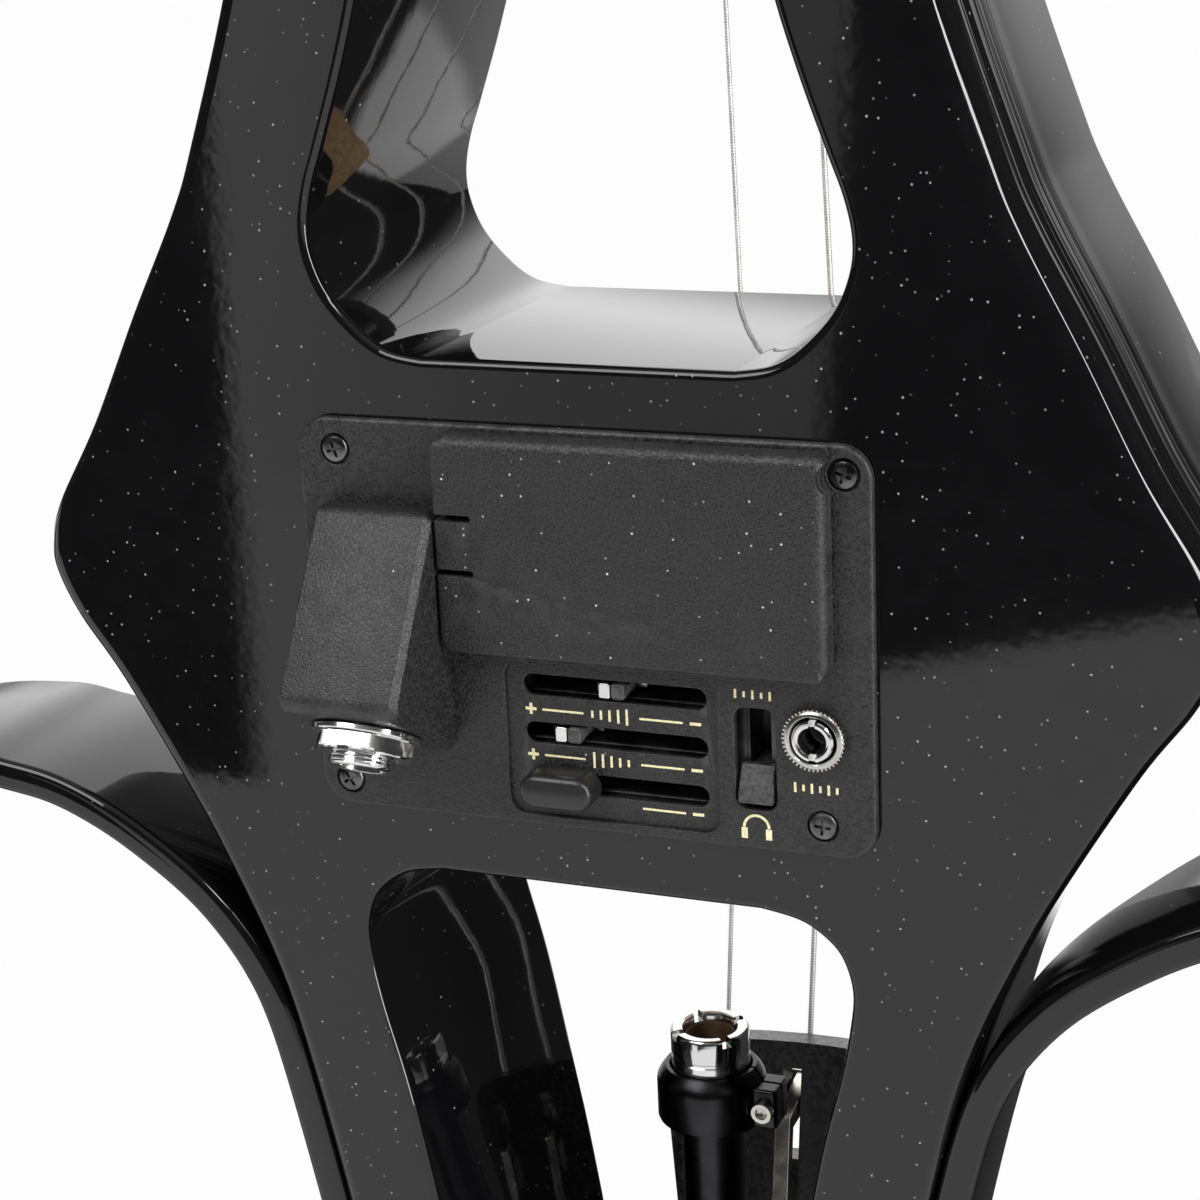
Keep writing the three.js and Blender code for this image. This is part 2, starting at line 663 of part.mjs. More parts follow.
function smoothPoints(points, steps = OUTLINE_STEPS) {
  const curve = new THREE.SplineCurve(points);
  return curve.getPoints(steps * (points.length - 1));
}

function mirrored(half) {
  const other = half.map((point) => new THREE.Vector2(-point.x, point.y)).reverse();
  return [...half, ...other];
}

const bodyFlank = smoothPoints([
  ...[...DROP_SHARES].reverse().map(([wide, down]) =>
    new THREE.Vector2(wide * BODY_HALF_WIDTH, -down * BODY_DROP)),
  ...RISE_SHARES.map(([wide, up]) => new THREE.Vector2(wide * BODY_HALF_WIDTH, up * BODY_RISE)),
]);

function flankAt(height) {
  for (let i = 0; i + 1 < bodyFlank.length; i += 1) {
    const low = bodyFlank[i];
    const high = bodyFlank[i + 1];
    if (height >= low.y && height <= high.y) {
      return low.x + ((high.x - low.x) * (height - low.y)) / (high.y - low.y);
    }
  }
  return bodyFlank[bodyFlank.length - 1].x;
}

function openingPath(shares, halfWidth, start, length) {
  const half = shares.map(([wide, along]) => new THREE.Vector2(wide * halfWidth, start + along * length));
  return new THREE.Path(mirrored(half));
}

// The slab of the body, with the pocket behind the panel and the holes for what it carries

const pocketBlocks = (inset, near, far) =>
  [BATTERY_POCKET, MAIN_POCKET, JACK_POCKET, SLIDER_POCKET].map(({ left, right, bottom, top }) => {
    const corner = POCKET_CORNER - inset / 2;
    const outline = roundedRectangle(left + inset, right - inset, bottom + inset, top - inset, corner);
    return slab(outline, near, far, 0, 1);
  });

function makeBody() {
  const shape = new THREE.Shape(mirrored(bodyFlank));
  shape.holes.push(
    openingPath(UPPER_OPENING_SHARES, OPENING_HALF_WIDTH, UPPER_OPENING_START, UPPER_OPENING_LENGTH),
    openingPath(LOWER_OPENING_SHARES, LOWER_OPENING_HALF_WIDTH, -LOWER_OPENING_START, -LOWER_OPENING_LENGTH),
  );
  const blank = slab(shape, FRONT_FACE, 0, BODY_EDGE_ROUND, 1, 1);
  const leadRoom = LEAD_RADIUS + LEAD_PLAY;
  const leadHole = rodOut(leadRoom, FRONT_FACE - CUT_OVERRUN, CUT_OVERRUN - POCKET_DEPTH, SMALL_SIDES);
  leadHole.translate(LEAD_PLACE, 0, 0);
  const screwRoom = PANEL_SCREW_RADIUS + SEAT_GAP;
  const screwHoles = PANEL_SCREWS.map(({ right, up }) =>
    rodOut(screwRoom, -PANEL_SCREW_REACH - SEAT_GAP, CUT_OVERRUN, SMALL_SIDES).translate(right, up, 0));
  const endpinHole = rod(HOLDER_PLUG_RADIUS + SEAT_GAP, -BODY_DROP - CUT_OVERRUN,
    -LOWER_OPENING_START - LOWER_OPENING_LENGTH + CUT_OVERRUN, FINE_SIDES);
  endpinHole.translate(0, 0, ENDPIN_AXIS);
  const wingHoles = wingScrewPlaces().map((screw) => wingScrewHole(screw, -WING_SCREW_REACH - SEAT_GAP));
  const pocket = pocketBlocks(0, -POCKET_DEPTH, CUT_OVERRUN);
  return cut(blank, ...pocket, leadHole, ...screwHoles, endpinHole, ...wingHoles);
}

// Wings: a bent strip whose ends lie against the flank, narrower at its roots

const flankSlope = (height) =>
  (flankAt(height + BODY_EDGE_ROUND) - flankAt(height - BODY_EDGE_ROUND)) / (2 * BODY_EDGE_ROUND);

function wingScrewPlaces() {
  const drops = { upper: WING_UPPER_SCREW_DROP, lower: WING_LOWER_SCREW_DROP };
  return [-1, 1].flatMap((side) => Object.entries(drops).map(([place, drop]) => {
    const lean = -Math.atan(flankSlope(-drop));
    return { side, place, right: side * flankAt(-drop), up: -drop, turn: side > 0 ? lean : Math.PI - lean };
  }));
}

function wingScrewHole({ right, up, turn }, from) {
  const hole = alongRight(rod(WING_SCREW_RADIUS + SEAT_GAP, from, 3 * WING_THICKNESS, SMALL_SIDES));
  return hole.rotateZ(turn).translate(right, up, WING_SCREW_LEVEL);
}

function besideFlank(height) {
  const lean = Math.atan(flankSlope(height));
  const offset = SEAT_GAP + WING_THICKNESS / 2;
  return new THREE.Vector2(flankAt(height) + offset * Math.cos(lean), height - offset * Math.sin(lean));
}

function wingPath() {
  const root = [];
  const foot = [];
  for (let i = 0; i < WING_HUG_STEPS; i += 1) {
    const share = i / (WING_HUG_STEPS - 1);
    root.push(besideFlank(-WING_ROOT_TOP - (1 - share) * WING_ROOT_LENGTH));
    foot.push(besideFlank(-WING_FOOT_TOP - (1 - share) * WING_FOOT_LENGTH));
  }
  const start = WING_START_SHARE * BODY_HALF_WIDTH;
  const free = WING_SHARES.map(([out, down]) =>
    new THREE.Vector2(start + out * (WING_REACH - start), -down * BODY_DROP));
  return smoothPoints([...root, ...free, ...foot]);
}

function makeWing(side) {
  const path = wingPath();
  const outer = [];
  const inner = [];
  path.forEach((point, i) => {
    const before = path[Math.max(i - 1, 0)];
    const after = path[Math.min(i + 1, path.length - 1)];
    const along = after.clone().sub(before).normalize();
    const offset = new THREE.Vector2(-along.y, along.x).multiplyScalar(WING_THICKNESS / 2);
    outer.push(point.clone().add(offset));
    inner.push(point.clone().sub(offset));
  });
  const strip = slab(new THREE.Shape([...outer, ...inner.reverse()]),
    -WING_BACK_INSET - WING_WIDTH, -WING_BACK_INSET);
  const places = strip.attributes.position;
  for (let i = 0; i < places.count; i += 1) {
    const rise = (places.getX(i) - WING_TAPER_START) / (WING_TAPER_END - WING_TAPER_START);
    const share = THREE.MathUtils.smoothstep(rise, 0, 1);
    const width = WING_ROOT_WIDTH + share * (WING_WIDTH - WING_ROOT_WIDTH);
    const depth = places.getZ(i) + WING_BACK_INSET;
    const scale = width / WING_WIDTH;
    places.setZ(i, -WING_BACK_INSET + depth * scale);
  }
  const screws = wingScrewPlaces().filter((screw) => screw.side > 0);
  const holes = screws.map((screw) => wingScrewHole(screw, -WING_THICKNESS));
  const right = cut(strip, ...holes);
  return side > 0 ? right : mirrorAcross(right);
}

function mirrorAcross(geometry) {
  const places = geometry.attributes.position;
  for (let i = 0; i < places.count; i += 1) {
    places.setX(i, -places.getX(i));
  }
  const order = geometry.index;
  for (let i = 0; i < order.count; i += 3) {
    const second = order.getX(i + 1);
    order.setX(i + 1, order.getX(i + 2));
    order.setX(i + 2, second);
  }
  return geometry;
}

function makeWingScrew() {
  const under = SEAT_GAP + WING_THICKNESS + SEAT_GAP;
  const crown = under + WING_SCREW_HEAD_HEIGHT;
  const body = turned([
    [0, -WING_SCREW_REACH], [WING_SCREW_RADIUS, -WING_SCREW_REACH], [WING_SCREW_RADIUS, under],
    [WING_SCREW_HEAD_RADIUS, under], [WING_SCREW_HEAD_RADIUS, (under + crown) / 2],
    [(WING_SCREW_KEY_RADIUS + WING_SCREW_HEAD_RADIUS) / 2, crown], [WING_SCREW_KEY_RADIUS, crown],
    [WING_SCREW_KEY_RADIUS, crown - WING_SCREW_KEY_DEPTH], [0, crown - WING_SCREW_KEY_DEPTH],
  ], SMALL_SIDES);
  return alongRight(body);
}

// Neck, pegbox and scroll

const underBoard = (height) => {
  const share = (STRING_LENGTH - height) / FINGERBOARD_LENGTH;
  const nutUnder = FINGERBOARD_NUT_FRONT - FINGERBOARD_EDGE - crownDrop(FINGERBOARD_NUT_HALF_WIDTH);
  const endUnder = FINGERBOARD_END_FRONT - FINGERBOARD_EDGE - crownDrop(FINGERBOARD_HALF_WIDTH);
  return -(nutUnder + share * (endUnder - nutUnder));
};

function crownDrop(right) {
  return (right * right) / (2 * FINGERBOARD_CROWN);
}

const boardHalfWidth = (height) => {
  const share = (STRING_LENGTH - height) / FINGERBOARD_LENGTH;
  return FINGERBOARD_NUT_HALF_WIDTH + share * (FINGERBOARD_HALF_WIDTH - FINGERBOARD_NUT_HALF_WIDTH);
};

const headMatrix = new THREE.Matrix4()
  .makeTranslation(0, STRING_LENGTH, -HEAD_FRONT)
  .multiply(new THREE.Matrix4().makeRotationX(HEAD_TILT));

function makeNeckShaft() {
  const rise = STRING_LENGTH - BODY_RISE;
  const sections = NECK_STATION_SHARES.map(([along, depthShare]) => {
    const height = BODY_RISE + SEAT_GAP + along * rise;
    const face = underBoard(height) + SEAT_GAP;
    const half = boardHalfWidth(Math.min(height, STRING_LENGTH));
    const depth = depthShare * HEEL_DEPTH;
    const front = [];
    const back = [];
    for (let i = 0; i <= CROWN_STEPS; i += 1) {
      const turn = Math.PI * (i / CROWN_STEPS);
      const across = -Math.cos(turn);
      front.push(new THREE.Vector3(half * across, height, face));
      const bulge = Math.sin(turn) ** NECK_FULLNESS_SHARE;
      const level = face + depth * (NECK_EDGE_SHARE + (1 - NECK_EDGE_SHARE) * bulge);
      back.push(new THREE.Vector3(half * across, height, level));
    }
    return { front, back };
  });
  return loftRows(sections);
}

function makeNeckTongue() {
  const top = BODY_RISE + NECK_DEPTH;
  const bottom = BODY_RISE - NECK_TONGUE_LENGTH;
  const row = (height, level) =>
    [-NECK_TONGUE_HALF_WIDTH, NECK_TONGUE_HALF_WIDTH].map((across) =>
      new THREE.Vector3(across, height, level));
  return loftRows([bottom, top].map((height) => ({
    front: row(height, underBoard(height) + SEAT_GAP),
    back: row(height, FRONT_FACE - SEAT_GAP),
  })));
}

function pegboxSection(along, frontLevel, backLevel, half, fluteDepth) {
  const middle = half / 2;
  const front = [-half, -middle, 0, middle, half].map((across) =>
    new THREE.Vector3(across, along, frontLevel));
  const back = [-half, -middle, 0, middle, half].map((across, i) =>
    new THREE.Vector3(across, along, backLevel - (i % 2) * fluteDepth));
  return { front, back };
}

function makePegbox() {
  const stations = PEGBOX_STATION_SHARES.map((share) => {
    const clamped = Math.max(share, 0);
    const half = PEGBOX_HALF_WIDTH + clamped * (PEGBOX_TOP_HALF_WIDTH - PEGBOX_HALF_WIDTH);
    const depth = PEGBOX_DEPTH + clamped * (PEGBOX_TOP_DEPTH - PEGBOX_DEPTH);
    return pegboxSection(share * PEGBOX_LENGTH, 0, depth, half, FLUTE_DEPTH);
  });
  const throat = PEGBOX_TOP_DEPTH - SCROLL_OUTER_RADIUS * (1 - SCROLL_CORE_SHARE);
  stations.push(
    pegboxSection(SCROLL_CENTRE_RISE, throat, PEGBOX_TOP_DEPTH, PEGBOX_TOP_HALF_WIDTH, FLUTE_DEPTH));
  return loftRows(stations).applyMatrix4(headMatrix);
}

function makePegboxCavity() {
  const ends = [
    { along: PEGBOX_CAVITY_START, slant: PEGBOX_CAVITY_SLANT },
    { along: PEGBOX_CAVITY_END, slant: -PEGBOX_CAVITY_SLANT },
  ];
  const sections = ends.map(({ along, slant }) => {
    const share = along / PEGBOX_LENGTH;
    const depth = PEGBOX_DEPTH + share * (PEGBOX_TOP_DEPTH - PEGBOX_DEPTH) - PEGBOX_FLOOR;
    const section = pegboxSection(along, -CUT_OVERRUN, depth, wallAt(along) - PEGBOX_WALL, 0);
    section.back.forEach((point) => point.setY(along + slant));
    return section;
  });
  return loftRows(sections).applyMatrix4(headMatrix);
}

function scrollWidth(share) {
  const place = share * (SCROLL_WIDTH_SHARES.length - 1);
  const low = Math.min(Math.floor(place), SCROLL_WIDTH_SHARES.length - 2);
  const mix = place - low;
  const blend = SCROLL_WIDTH_SHARES[low] * (1 - mix) + SCROLL_WIDTH_SHARES[low + 1] * mix;
  return SCROLL_EYE_HALF_WIDTH * blend;
}

// One stretch of the volute: a fluted strip swept round the eye while its radius shrinks

function makeScrollStretch(startShare, endShare) {
  const steps = Math.round(SCROLL_TURNS * SCROLL_STEPS_PER_TURN * (endShare - startShare));
  const decay = Math.log(SCROLL_OUTER_RADIUS / SCROLL_EYE_RADIUS);
  const centreDepth = PEGBOX_TOP_DEPTH - SCROLL_OUTER_RADIUS;
  const sections = [];
  for (let i = 0; i <= steps; i += 1) {
    const share = startShare + ((endShare - startShare) * i) / steps;
    const turn = (share * SCROLL_TURNS - SCROLL_LEAD_IN_TURNS) * 2 * Math.PI;
    const outer = SCROLL_OUTER_RADIUS * Math.exp(-decay * share);
    const half = scrollWidth(share);
    const at = (radius, across) => new THREE.Vector3(across,
      SCROLL_CENTRE_RISE + radius * Math.sin(turn), centreDepth + radius * Math.cos(turn));
    const flute = FLUTE_DEPTH * (outer / SCROLL_OUTER_RADIUS);
    const across = [-half, -half / 2, 0, half / 2, half];
    sections.push({
      front: across.map((x) => at(outer * SCROLL_CORE_SHARE, x)),
      back: across.map((x, k) => at(outer - (k % 2) * flute, x)),
    });
  }
  return loftRows(sections).applyMatrix4(headMatrix);
}

function makeScrollEye() {
  const eye = alongRight(rod(SCROLL_EYE_RADIUS, -SCROLL_EYE_HALF_WIDTH, SCROLL_EYE_HALF_WIDTH, ROUND_SIDES));
  eye.translate(0, SCROLL_CENTRE_RISE, PEGBOX_TOP_DEPTH - SCROLL_OUTER_RADIUS);
  return eye.applyMatrix4(headMatrix);
}

function pegHole(peg) {
  const hole = pegCone(peg, SEAT_GAP, CUT_OVERRUN + PEGBOX_HALF_WIDTH);
  return hole.translate(0, peg.along, peg.depth).applyMatrix4(headMatrix);
}

const wallAt = (along) =>
  PEGBOX_HALF_WIDTH + (along / PEGBOX_LENGTH) * (PEGBOX_TOP_HALF_WIDTH - PEGBOX_HALF_WIDTH);

const pegRadiusAt = (peg, across) => {
  const half = wallAt(peg.along);
  const share = (peg.side * across + half) / (2 * half);
  return PEG_TIP_RADIUS + share * (PEG_HEAD_RADIUS - PEG_TIP_RADIUS);
};

function pegCone(peg, clearance, reach) {
  const cone = turned([
    [0, -reach], [pegRadiusAt(peg, -peg.side * reach) + clearance, -reach],
    [pegRadiusAt(peg, peg.side * reach) + clearance, reach], [0, reach],
  ], PEG_SIDES);
  alongRight(cone);
  return peg.side > 0 ? cone : cone.rotateZ(Math.PI);
}

function makeNeck() {
  const seatTop = STRING_LENGTH + NUT_LENGTH + 2 * SEAT_GAP;
  const nutSeat = box(-2 * PEGBOX_HALF_WIDTH, 2 * PEGBOX_HALF_WIDTH, STRING_LENGTH - 3 * CUT_OVERRUN, seatTop,
    -2 * HEAD_FRONT, underBoard(STRING_LENGTH) + SEAT_GAP);
  const trimmedPegbox = cut(makePegbox(), nutSeat, shaftClearance());
  const volute = SCROLL_STRETCH_SHARES.map(([start, end]) => makeScrollStretch(start, end));
  const wood = join(makeNeckShaft(), makeNeckTongue(), trimmedPegbox, ...volute, makeScrollEye());
  return cut(wood, makePegboxCavity(), ...Object.values(PEG_PLACES).map(pegHole));
}

function shaftClearance() {
  const low = STRING_LENGTH - 4 * CUT_OVERRUN;
  const high = STRING_LENGTH - 2 * SEAT_GAP;
  return box(-2 * PEGBOX_HALF_WIDTH, 2 * PEGBOX_HALF_WIDTH, low - PEGBOX_HALF_WIDTH, high,
    -2 * HEAD_FRONT, HEAD_FRONT);
}

// Fingerboard and nut

function makeFingerboard() {
  const sections = [];
  for (let i = 0; i < FINGERBOARD_STATIONS; i += 1) {
    const height = FINGERBOARD_END + (FINGERBOARD_LENGTH * i) / (FINGERBOARD_STATIONS - 1);
    const half = boardHalfWidth(height);
    const under = underBoard(height);
    const front = [];
    const back = [];
    for (let k = 0; k <= CROWN_STEPS; k += 1) {
      const across = half * ((2 * k) / CROWN_STEPS - 1);
      const thick = FINGERBOARD_EDGE + crownDrop(half) - crownDrop(across);
      front.push(new THREE.Vector3(across, height, under - thick));
      back.push(new THREE.Vector3(across, height, under));
    }
    sections.push({ front, back });
  }
  const board = loftRows(sections);
  const scoop = rod(FINGERBOARD_SCOOP_RADIUS, -CUT_OVERRUN, FINGERBOARD_SCOOP_LENGTH, ROUND_SIDES);
  const slope = (underBoard(STRING_LENGTH) - underBoard(FINGERBOARD_END)) / FINGERBOARD_LENGTH;
  scoop.rotateX(Math.atan(slope));
  const scoopLevel = underBoard(FINGERBOARD_END) + FINGERBOARD_SCOOP_RADIUS - FINGERBOARD_EDGE;
  scoop.translate(0, FINGERBOARD_END, scoopLevel);
  return cut(board, scoop);
}

const nutCrest = (right) => -(NUT_FRONT - crownDrop(right));

function makeNut() {
  const sections = [0, NUT_LENGTH / 2, NUT_LENGTH].map((along, i) => {
    const front = [];
    const back = [];
    for (let k = 0; k <= CROWN_STEPS; k += 1) {
      const across = FINGERBOARD_NUT_HALF_WIDTH * ((2 * k) / CROWN_STEPS - 1);
      const drop = i === 2 ? NUT_RISE : 0;
      front.push(new THREE.Vector3(across, STRING_LENGTH + SEAT_GAP + along, nutCrest(across) + drop));
      back.push(new THREE.Vector3(across, STRING_LENGTH + SEAT_GAP + along, underBoard(STRING_LENGTH)));
    }
    return { front, back };
  });
  return cut(loftRows(sections), ...STRINGS.flatMap((string) => stringChannels(string, 'nut')));
}

// Strings: from the ball in the tuner over the bridge and the nut to three turns on the peg

const bridgeCrest = (right) => -BRIDGE_FRONT + (right * right) / (2 * BRIDGE_CROWN);

const tailMatrix = new THREE.Matrix4()
  .makeTranslation(0, -TAIL_TOP_DROP, FRONT_FACE - TAIL_TOP_HEIGHT)
  .multiply(new THREE.Matrix4().makeRotationX(TAIL_TILT));

const tailCrown = (right) => (right * right) / (2 * TAIL_CROWN);

function stringRoute(string) {
  const peg = PEG_PLACES[string.name];
  const tailRight = string.lane * TAIL_SPACING;
  const level = tailCrown(tailRight) - TUNER_STRING_RISE;
  const inTail = (along) => new THREE.Vector3(tailRight, -along, level).applyMatrix4(tailMatrix);
  const bridgeRight = string.lane * BRIDGE_SPACING;
  const nutRight = string.lane * NUT_SPACING;
  const bridgePoint = new THREE.Vector3(bridgeRight, 0, bridgeCrest(bridgeRight));
  const nutPoint = new THREE.Vector3(nutRight, STRING_LENGTH + NUT_LENGTH / 2, nutCrest(nutRight));
  const ballFront = TUNER_BLOCK_BACK + BALL_PLAY;
  return {
    peg,
    ball: BALL_STATION_SHARES.map((share) => inTail(ballFront + share * BALL_RADIUS)),
    entry: inTail(TUNER_BLOCK_FRONT - TUNER_BLOCK_WIDTH / 2),
    bridgePoint,
    nutPoint,
  };
}

function windingPoints(string, route) {
  const { peg } = route;
  const lane = peg.side * peg.lane * PEGBOX_HALF_WIDTH;
  const radius = pegRadiusAt(peg, lane + peg.side * WINDING_TURNS * (2 * string.radius + WINDING_GAP))
    + SEAT_GAP + string.radius;
  const from = route.nutPoint.clone().applyMatrix4(headMatrix.clone().invert());
  const reach = Math.hypot(from.y - peg.along, from.z - peg.depth);
  const start = -Math.atan2(peg.along - from.y, peg.depth - from.z) + Math.acos(radius / reach);
  const pitch = 2 * string.radius + WINDING_GAP;
  const points = [];
  for (let step = 0; step <= WINDING_TURNS * WINDING_STEPS; step += 1) {
    const turns = step / WINDING_STEPS;
    const turn = start + 2 * Math.PI * turns;
    points.push(new THREE.Vector3(lane + peg.side * pitch * turns,
      peg.along + radius * Math.sin(turn), peg.depth - radius * Math.cos(turn)));
  }
  return points;
}

function leastGap(points, radius) {
  let least = Infinity;
  for (let i = 0; i < points.length; i += 1) {
    for (let j = i + WINDING_STEPS / 2; j < points.length; j += 1) {
      least = Math.min(least, points[i].distanceTo(points[j]) - 2 * radius);
    }
  }
  return least;
}

function makeString(string) {
  const route = stringRoute(string);
  const winding = windingPoints(string, route);
  const gap = leastGap(winding, string.radius).toFixed(2);
  console.log(`string ${string.name}: least gap between turns ${gap} mm`);
  const coil = winding.map((point) => point.applyMatrix4(headMatrix));
  const points = [...route.ball, route.entry, route.bridgePoint, route.nutPoint, ...coil];
  const radii = points.map(() => string.radius);
  radii[1] = BALL_RADIUS;
  radii[2] = BALL_RADIUS;
  return tubeThrough(points, radii, STRING_SIDES);
}

// The grooves that a string lies in where it bends over the bridge or the nut

function stringChannels(string, seat) {
  const route = stringRoute(string);
  const afterNut = windingPoints(string, route)[0].applyMatrix4(headMatrix);
  const [before, crest, after] = seat === 'nut'
    ? [route.bridgePoint, route.nutPoint, afterNut]
    : [route.entry, route.bridgePoint, route.nutPoint];
  const reach = BRIDGE_FOOT_THICKNESS;
  const radius = string.radius + STRING_SEAT_GAP;
  return [before, after].map((other) => {
    const end = crest.clone().addScaledVector(other.clone().sub(crest).normalize(), reach);
    const start = crest.clone().addScaledVector(crest.clone().sub(end).normalize(), string.radius);
    return tubeThrough([start, end], [radius, radius], STRING_SIDES);
  });
}

// Bridge on its pickup bar

function makeBridge() {
  const height = BRIDGE_HEIGHT - PICKUP_BAR_HEIGHT - 2 * SEAT_GAP;
  const crest = (right) => height - (right * right) / (2 * BRIDGE_CROWN);
  const half = BRIDGE_LEG_SHARES.map(([out, up]) => new THREE.Vector2(out * BRIDGE_HALF_SPAN, up * height));
  const crown = [];
  for (let i = 0; i <= CROWN_STEPS; i += 1) {
    const right = BRIDGE_TOP_HALF_WIDTH * (1 - (2 * i) / CROWN_STEPS);
    crown.push(new THREE.Vector2(right, crest(right)));
  }
  const arch = BRIDGE_ARCH_SHARES.map(([out, up]) => new THREE.Vector2(out * BRIDGE_HALF_SPAN, up * height));
  const otherHalf = half.map((point) => new THREE.Vector2(-point.x, point.y)).reverse();
  const otherArch = arch.map((point) => new THREE.Vector2(-point.x, point.y));
  const outline = [...half, ...crown, ...otherHalf, ...otherArch, ...arch.reverse()];
  const shape = new THREE.Shape(outline);
  const blank = slab(shape, -BRIDGE_FOOT_THICKNESS / 2, BRIDGE_FOOT_THICKNESS / 2);
  const places = blank.attributes.position;
  for (let i = 0; i < places.count; i += 1) {
    const rise = places.getY(i) / height;
    const thickness = BRIDGE_FOOT_THICKNESS + rise * (BRIDGE_TOP_THICKNESS - BRIDGE_FOOT_THICKNESS);
    places.setZ(i, places.getZ(i) * (thickness / BRIDGE_FOOT_THICKNESS));
  }
  blank.rotateX(-Math.PI / 2);
  blank.translate(0, 0, FRONT_FACE - PICKUP_BAR_HEIGHT - 2 * SEAT_GAP);
  const heartShape = new THREE.Shape(heartPoints(BRIDGE_HEART));
  const heart = slab(heartShape, -BRIDGE_FOOT_THICKNESS, BRIDGE_FOOT_THICKNESS);
  heart.rotateX(-Math.PI / 2);
  heart.translate(0, 0, FRONT_FACE - BRIDGE_HEART_RISE_SHARE * BRIDGE_HEIGHT);
  return cut(blank, heart, ...STRINGS.flatMap((string) => stringChannels(string, 'bridge')));
}

function heartPoints(size) {
  const points = [];
  for (let i = 0; i < ROUND_SIDES; i += 1) {
    const turn = (2 * Math.PI * i) / ROUND_SIDES;
    const dip = 1 - Math.abs(Math.cos(turn));
    const lobe = 1 - Math.sign(Math.sin(turn)) * HEART_LOBE_SHARE * dip * dip;
    points.push(new THREE.Vector2(size * Math.cos(turn), size * lobe * Math.sin(turn)));
  }
  return points;
}

function makePickupBar() {
  const under = FRONT_FACE - SEAT_GAP;
  return roundedBox(-PICKUP_BAR_HALF_LENGTH, PICKUP_BAR_HALF_LENGTH,
    -PICKUP_BAR_HALF_WIDTH, PICKUP_BAR_HALF_WIDTH,
    under - PICKUP_BAR_HEIGHT, under, PICKUP_BAR_HALF_WIDTH / 2, 2 * SEAT_GAP);
}

// The pickup lead, held all the way from the bar to the back of the board

const boardFront = -(POT_BACK + POT_DEPTH + SEAT_GAP);
const boardBack = boardFront - BOARD_THICKNESS;

function makePickupLead() {
  const end = boardBack - SEAT_GAP;
  const depth = POCKET_DEPTH + end;
  const route = new THREE.CatmullRomCurve3([
    new THREE.Vector3(LEAD_PLACE, 0, FRONT_FACE),
    new THREE.Vector3(LEAD_PLACE, 0, (FRONT_FACE - POCKET_DEPTH) / 2),
    ...LEAD_ROUTE_SHARES.map(([climb, back]) =>
      new THREE.Vector3(LEAD_PLACE, -climb * LEAD_CLIMB, end - back * depth)),
  ]);
  const section = new THREE.Shape();
  section.absarc(0, 0, LEAD_RADIUS, 0, 2 * Math.PI, false);
  return new THREE.ExtrudeGeometry(section, { steps: LEAD_STEPS, extrudePath: route, curveSegments: 3 });
}

// Tailpiece, its tuners and the gut that ties it down

function makeTailpiece() {
  const sections = TAIL_WIDTH_SHARES.map(([along, wide]) => {
    const half = wide * TAIL_HALF_WIDTH;
    const front = [];
    const back = [];
    for (let k = 0; k <= CROWN_STEPS; k += 1) {
      const across = half * ((2 * k) / CROWN_STEPS - 1);
      front.push(new THREE.Vector3(across, -along * TAIL_LENGTH, tailCrown(across)));
      const under = tailCrown(across) + TAIL_THICKNESS;
      back.push(new THREE.Vector3(across * TAIL_UNDER_SHARE, -along * TAIL_LENGTH, under));
    }
    return { front, back };
  });
  const cuts = STRINGS.flatMap((string) => {
    const right = string.lane * TAIL_SPACING;
    const slotHalf = TUNER_ARM_WIDTH / 2 + SEAT_GAP;
    const slot = box(right - slotHalf, right + slotHalf,
      -TUNER_SLOT_START - TUNER_SLOT_LENGTH, -TUNER_SLOT_START, -TAIL_CROWN, TAIL_CROWN);
    const hole = rodOut(TUNER_SCREW_RADIUS + SEAT_GAP, -TAIL_CROWN, TAIL_CROWN, SMALL_SIDES);
    return [slot, hole.translate(right, -TUNER_SCREW_PLACE, 0)];
  });
  const gutHoles = [-1, 1].map((side) => {
    const room = TAILGUT_RADIUS + TAILGUT_PLAY;
    const hole = rodOut(room, -TAIL_THICKNESS, 3 * TAIL_THICKNESS, SMALL_SIDES);
    return hole.translate(side * TAILGUT_HALF_SPREAD, -TAILGUT_HOLE_PLACE, 0);
  });
  return cut(loftRows(sections), ...cuts, ...gutHoles);
}

// A bell crank: the screw pushes its long arm, and its short arm draws the ball of the string

function makeTunerLever() {
  const half = TUNER_ARM_THICKNESS / 2;
  const under = TUNER_PIVOT_DEPTH;
  const arm = new THREE.Shape([
    [-TUNER_ARM_END, under - half], [-TUNER_PIVOT - half, under - half],
    [-TUNER_BLOCK_BACK, -TUNER_BLOCK_FOOT - half], [-TUNER_BLOCK_FRONT, -TUNER_BLOCK_FOOT - half],
    [-TUNER_PIVOT + 2 * half, under - half], [-TUNER_PIVOT + half, under + half],
    [-TUNER_ARM_END, under + half],
  ].map(([along, level]) => new THREE.Vector2(along, level)));
  const plate = new THREE.ExtrudeGeometry(arm, { depth: TUNER_ARM_WIDTH, bevelEnabled: false });
  plate.translate(0, 0, -TUNER_ARM_WIDTH / 2);
  plate.applyMatrix4(new THREE.Matrix4().makeBasis(
    new THREE.Vector3(0, 1, 0), new THREE.Vector3(0, 0, 1), new THREE.Vector3(1, 0, 0)));
  const block = box(-TUNER_BLOCK_WIDTH / 2, TUNER_BLOCK_WIDTH / 2, -TUNER_BLOCK_BACK, -TUNER_BLOCK_FRONT,
    -TUNER_BLOCK_TOP, -TUNER_BLOCK_FOOT);
  return [plate, block];
}

function makeTunerLeverFor(string) {
  const [plate, block] = makeTunerLever();
  const groove = string.radius + STRING_SEAT_GAP;
  const slotFloor = groove - TUNER_STRING_RISE;
  const slot = box(-groove, groove, -2 * TUNER_BLOCK_BACK, 0, -2 * TUNER_BLOCK_TOP, slotFloor);
  return cut(join(plate, block), slot);
}

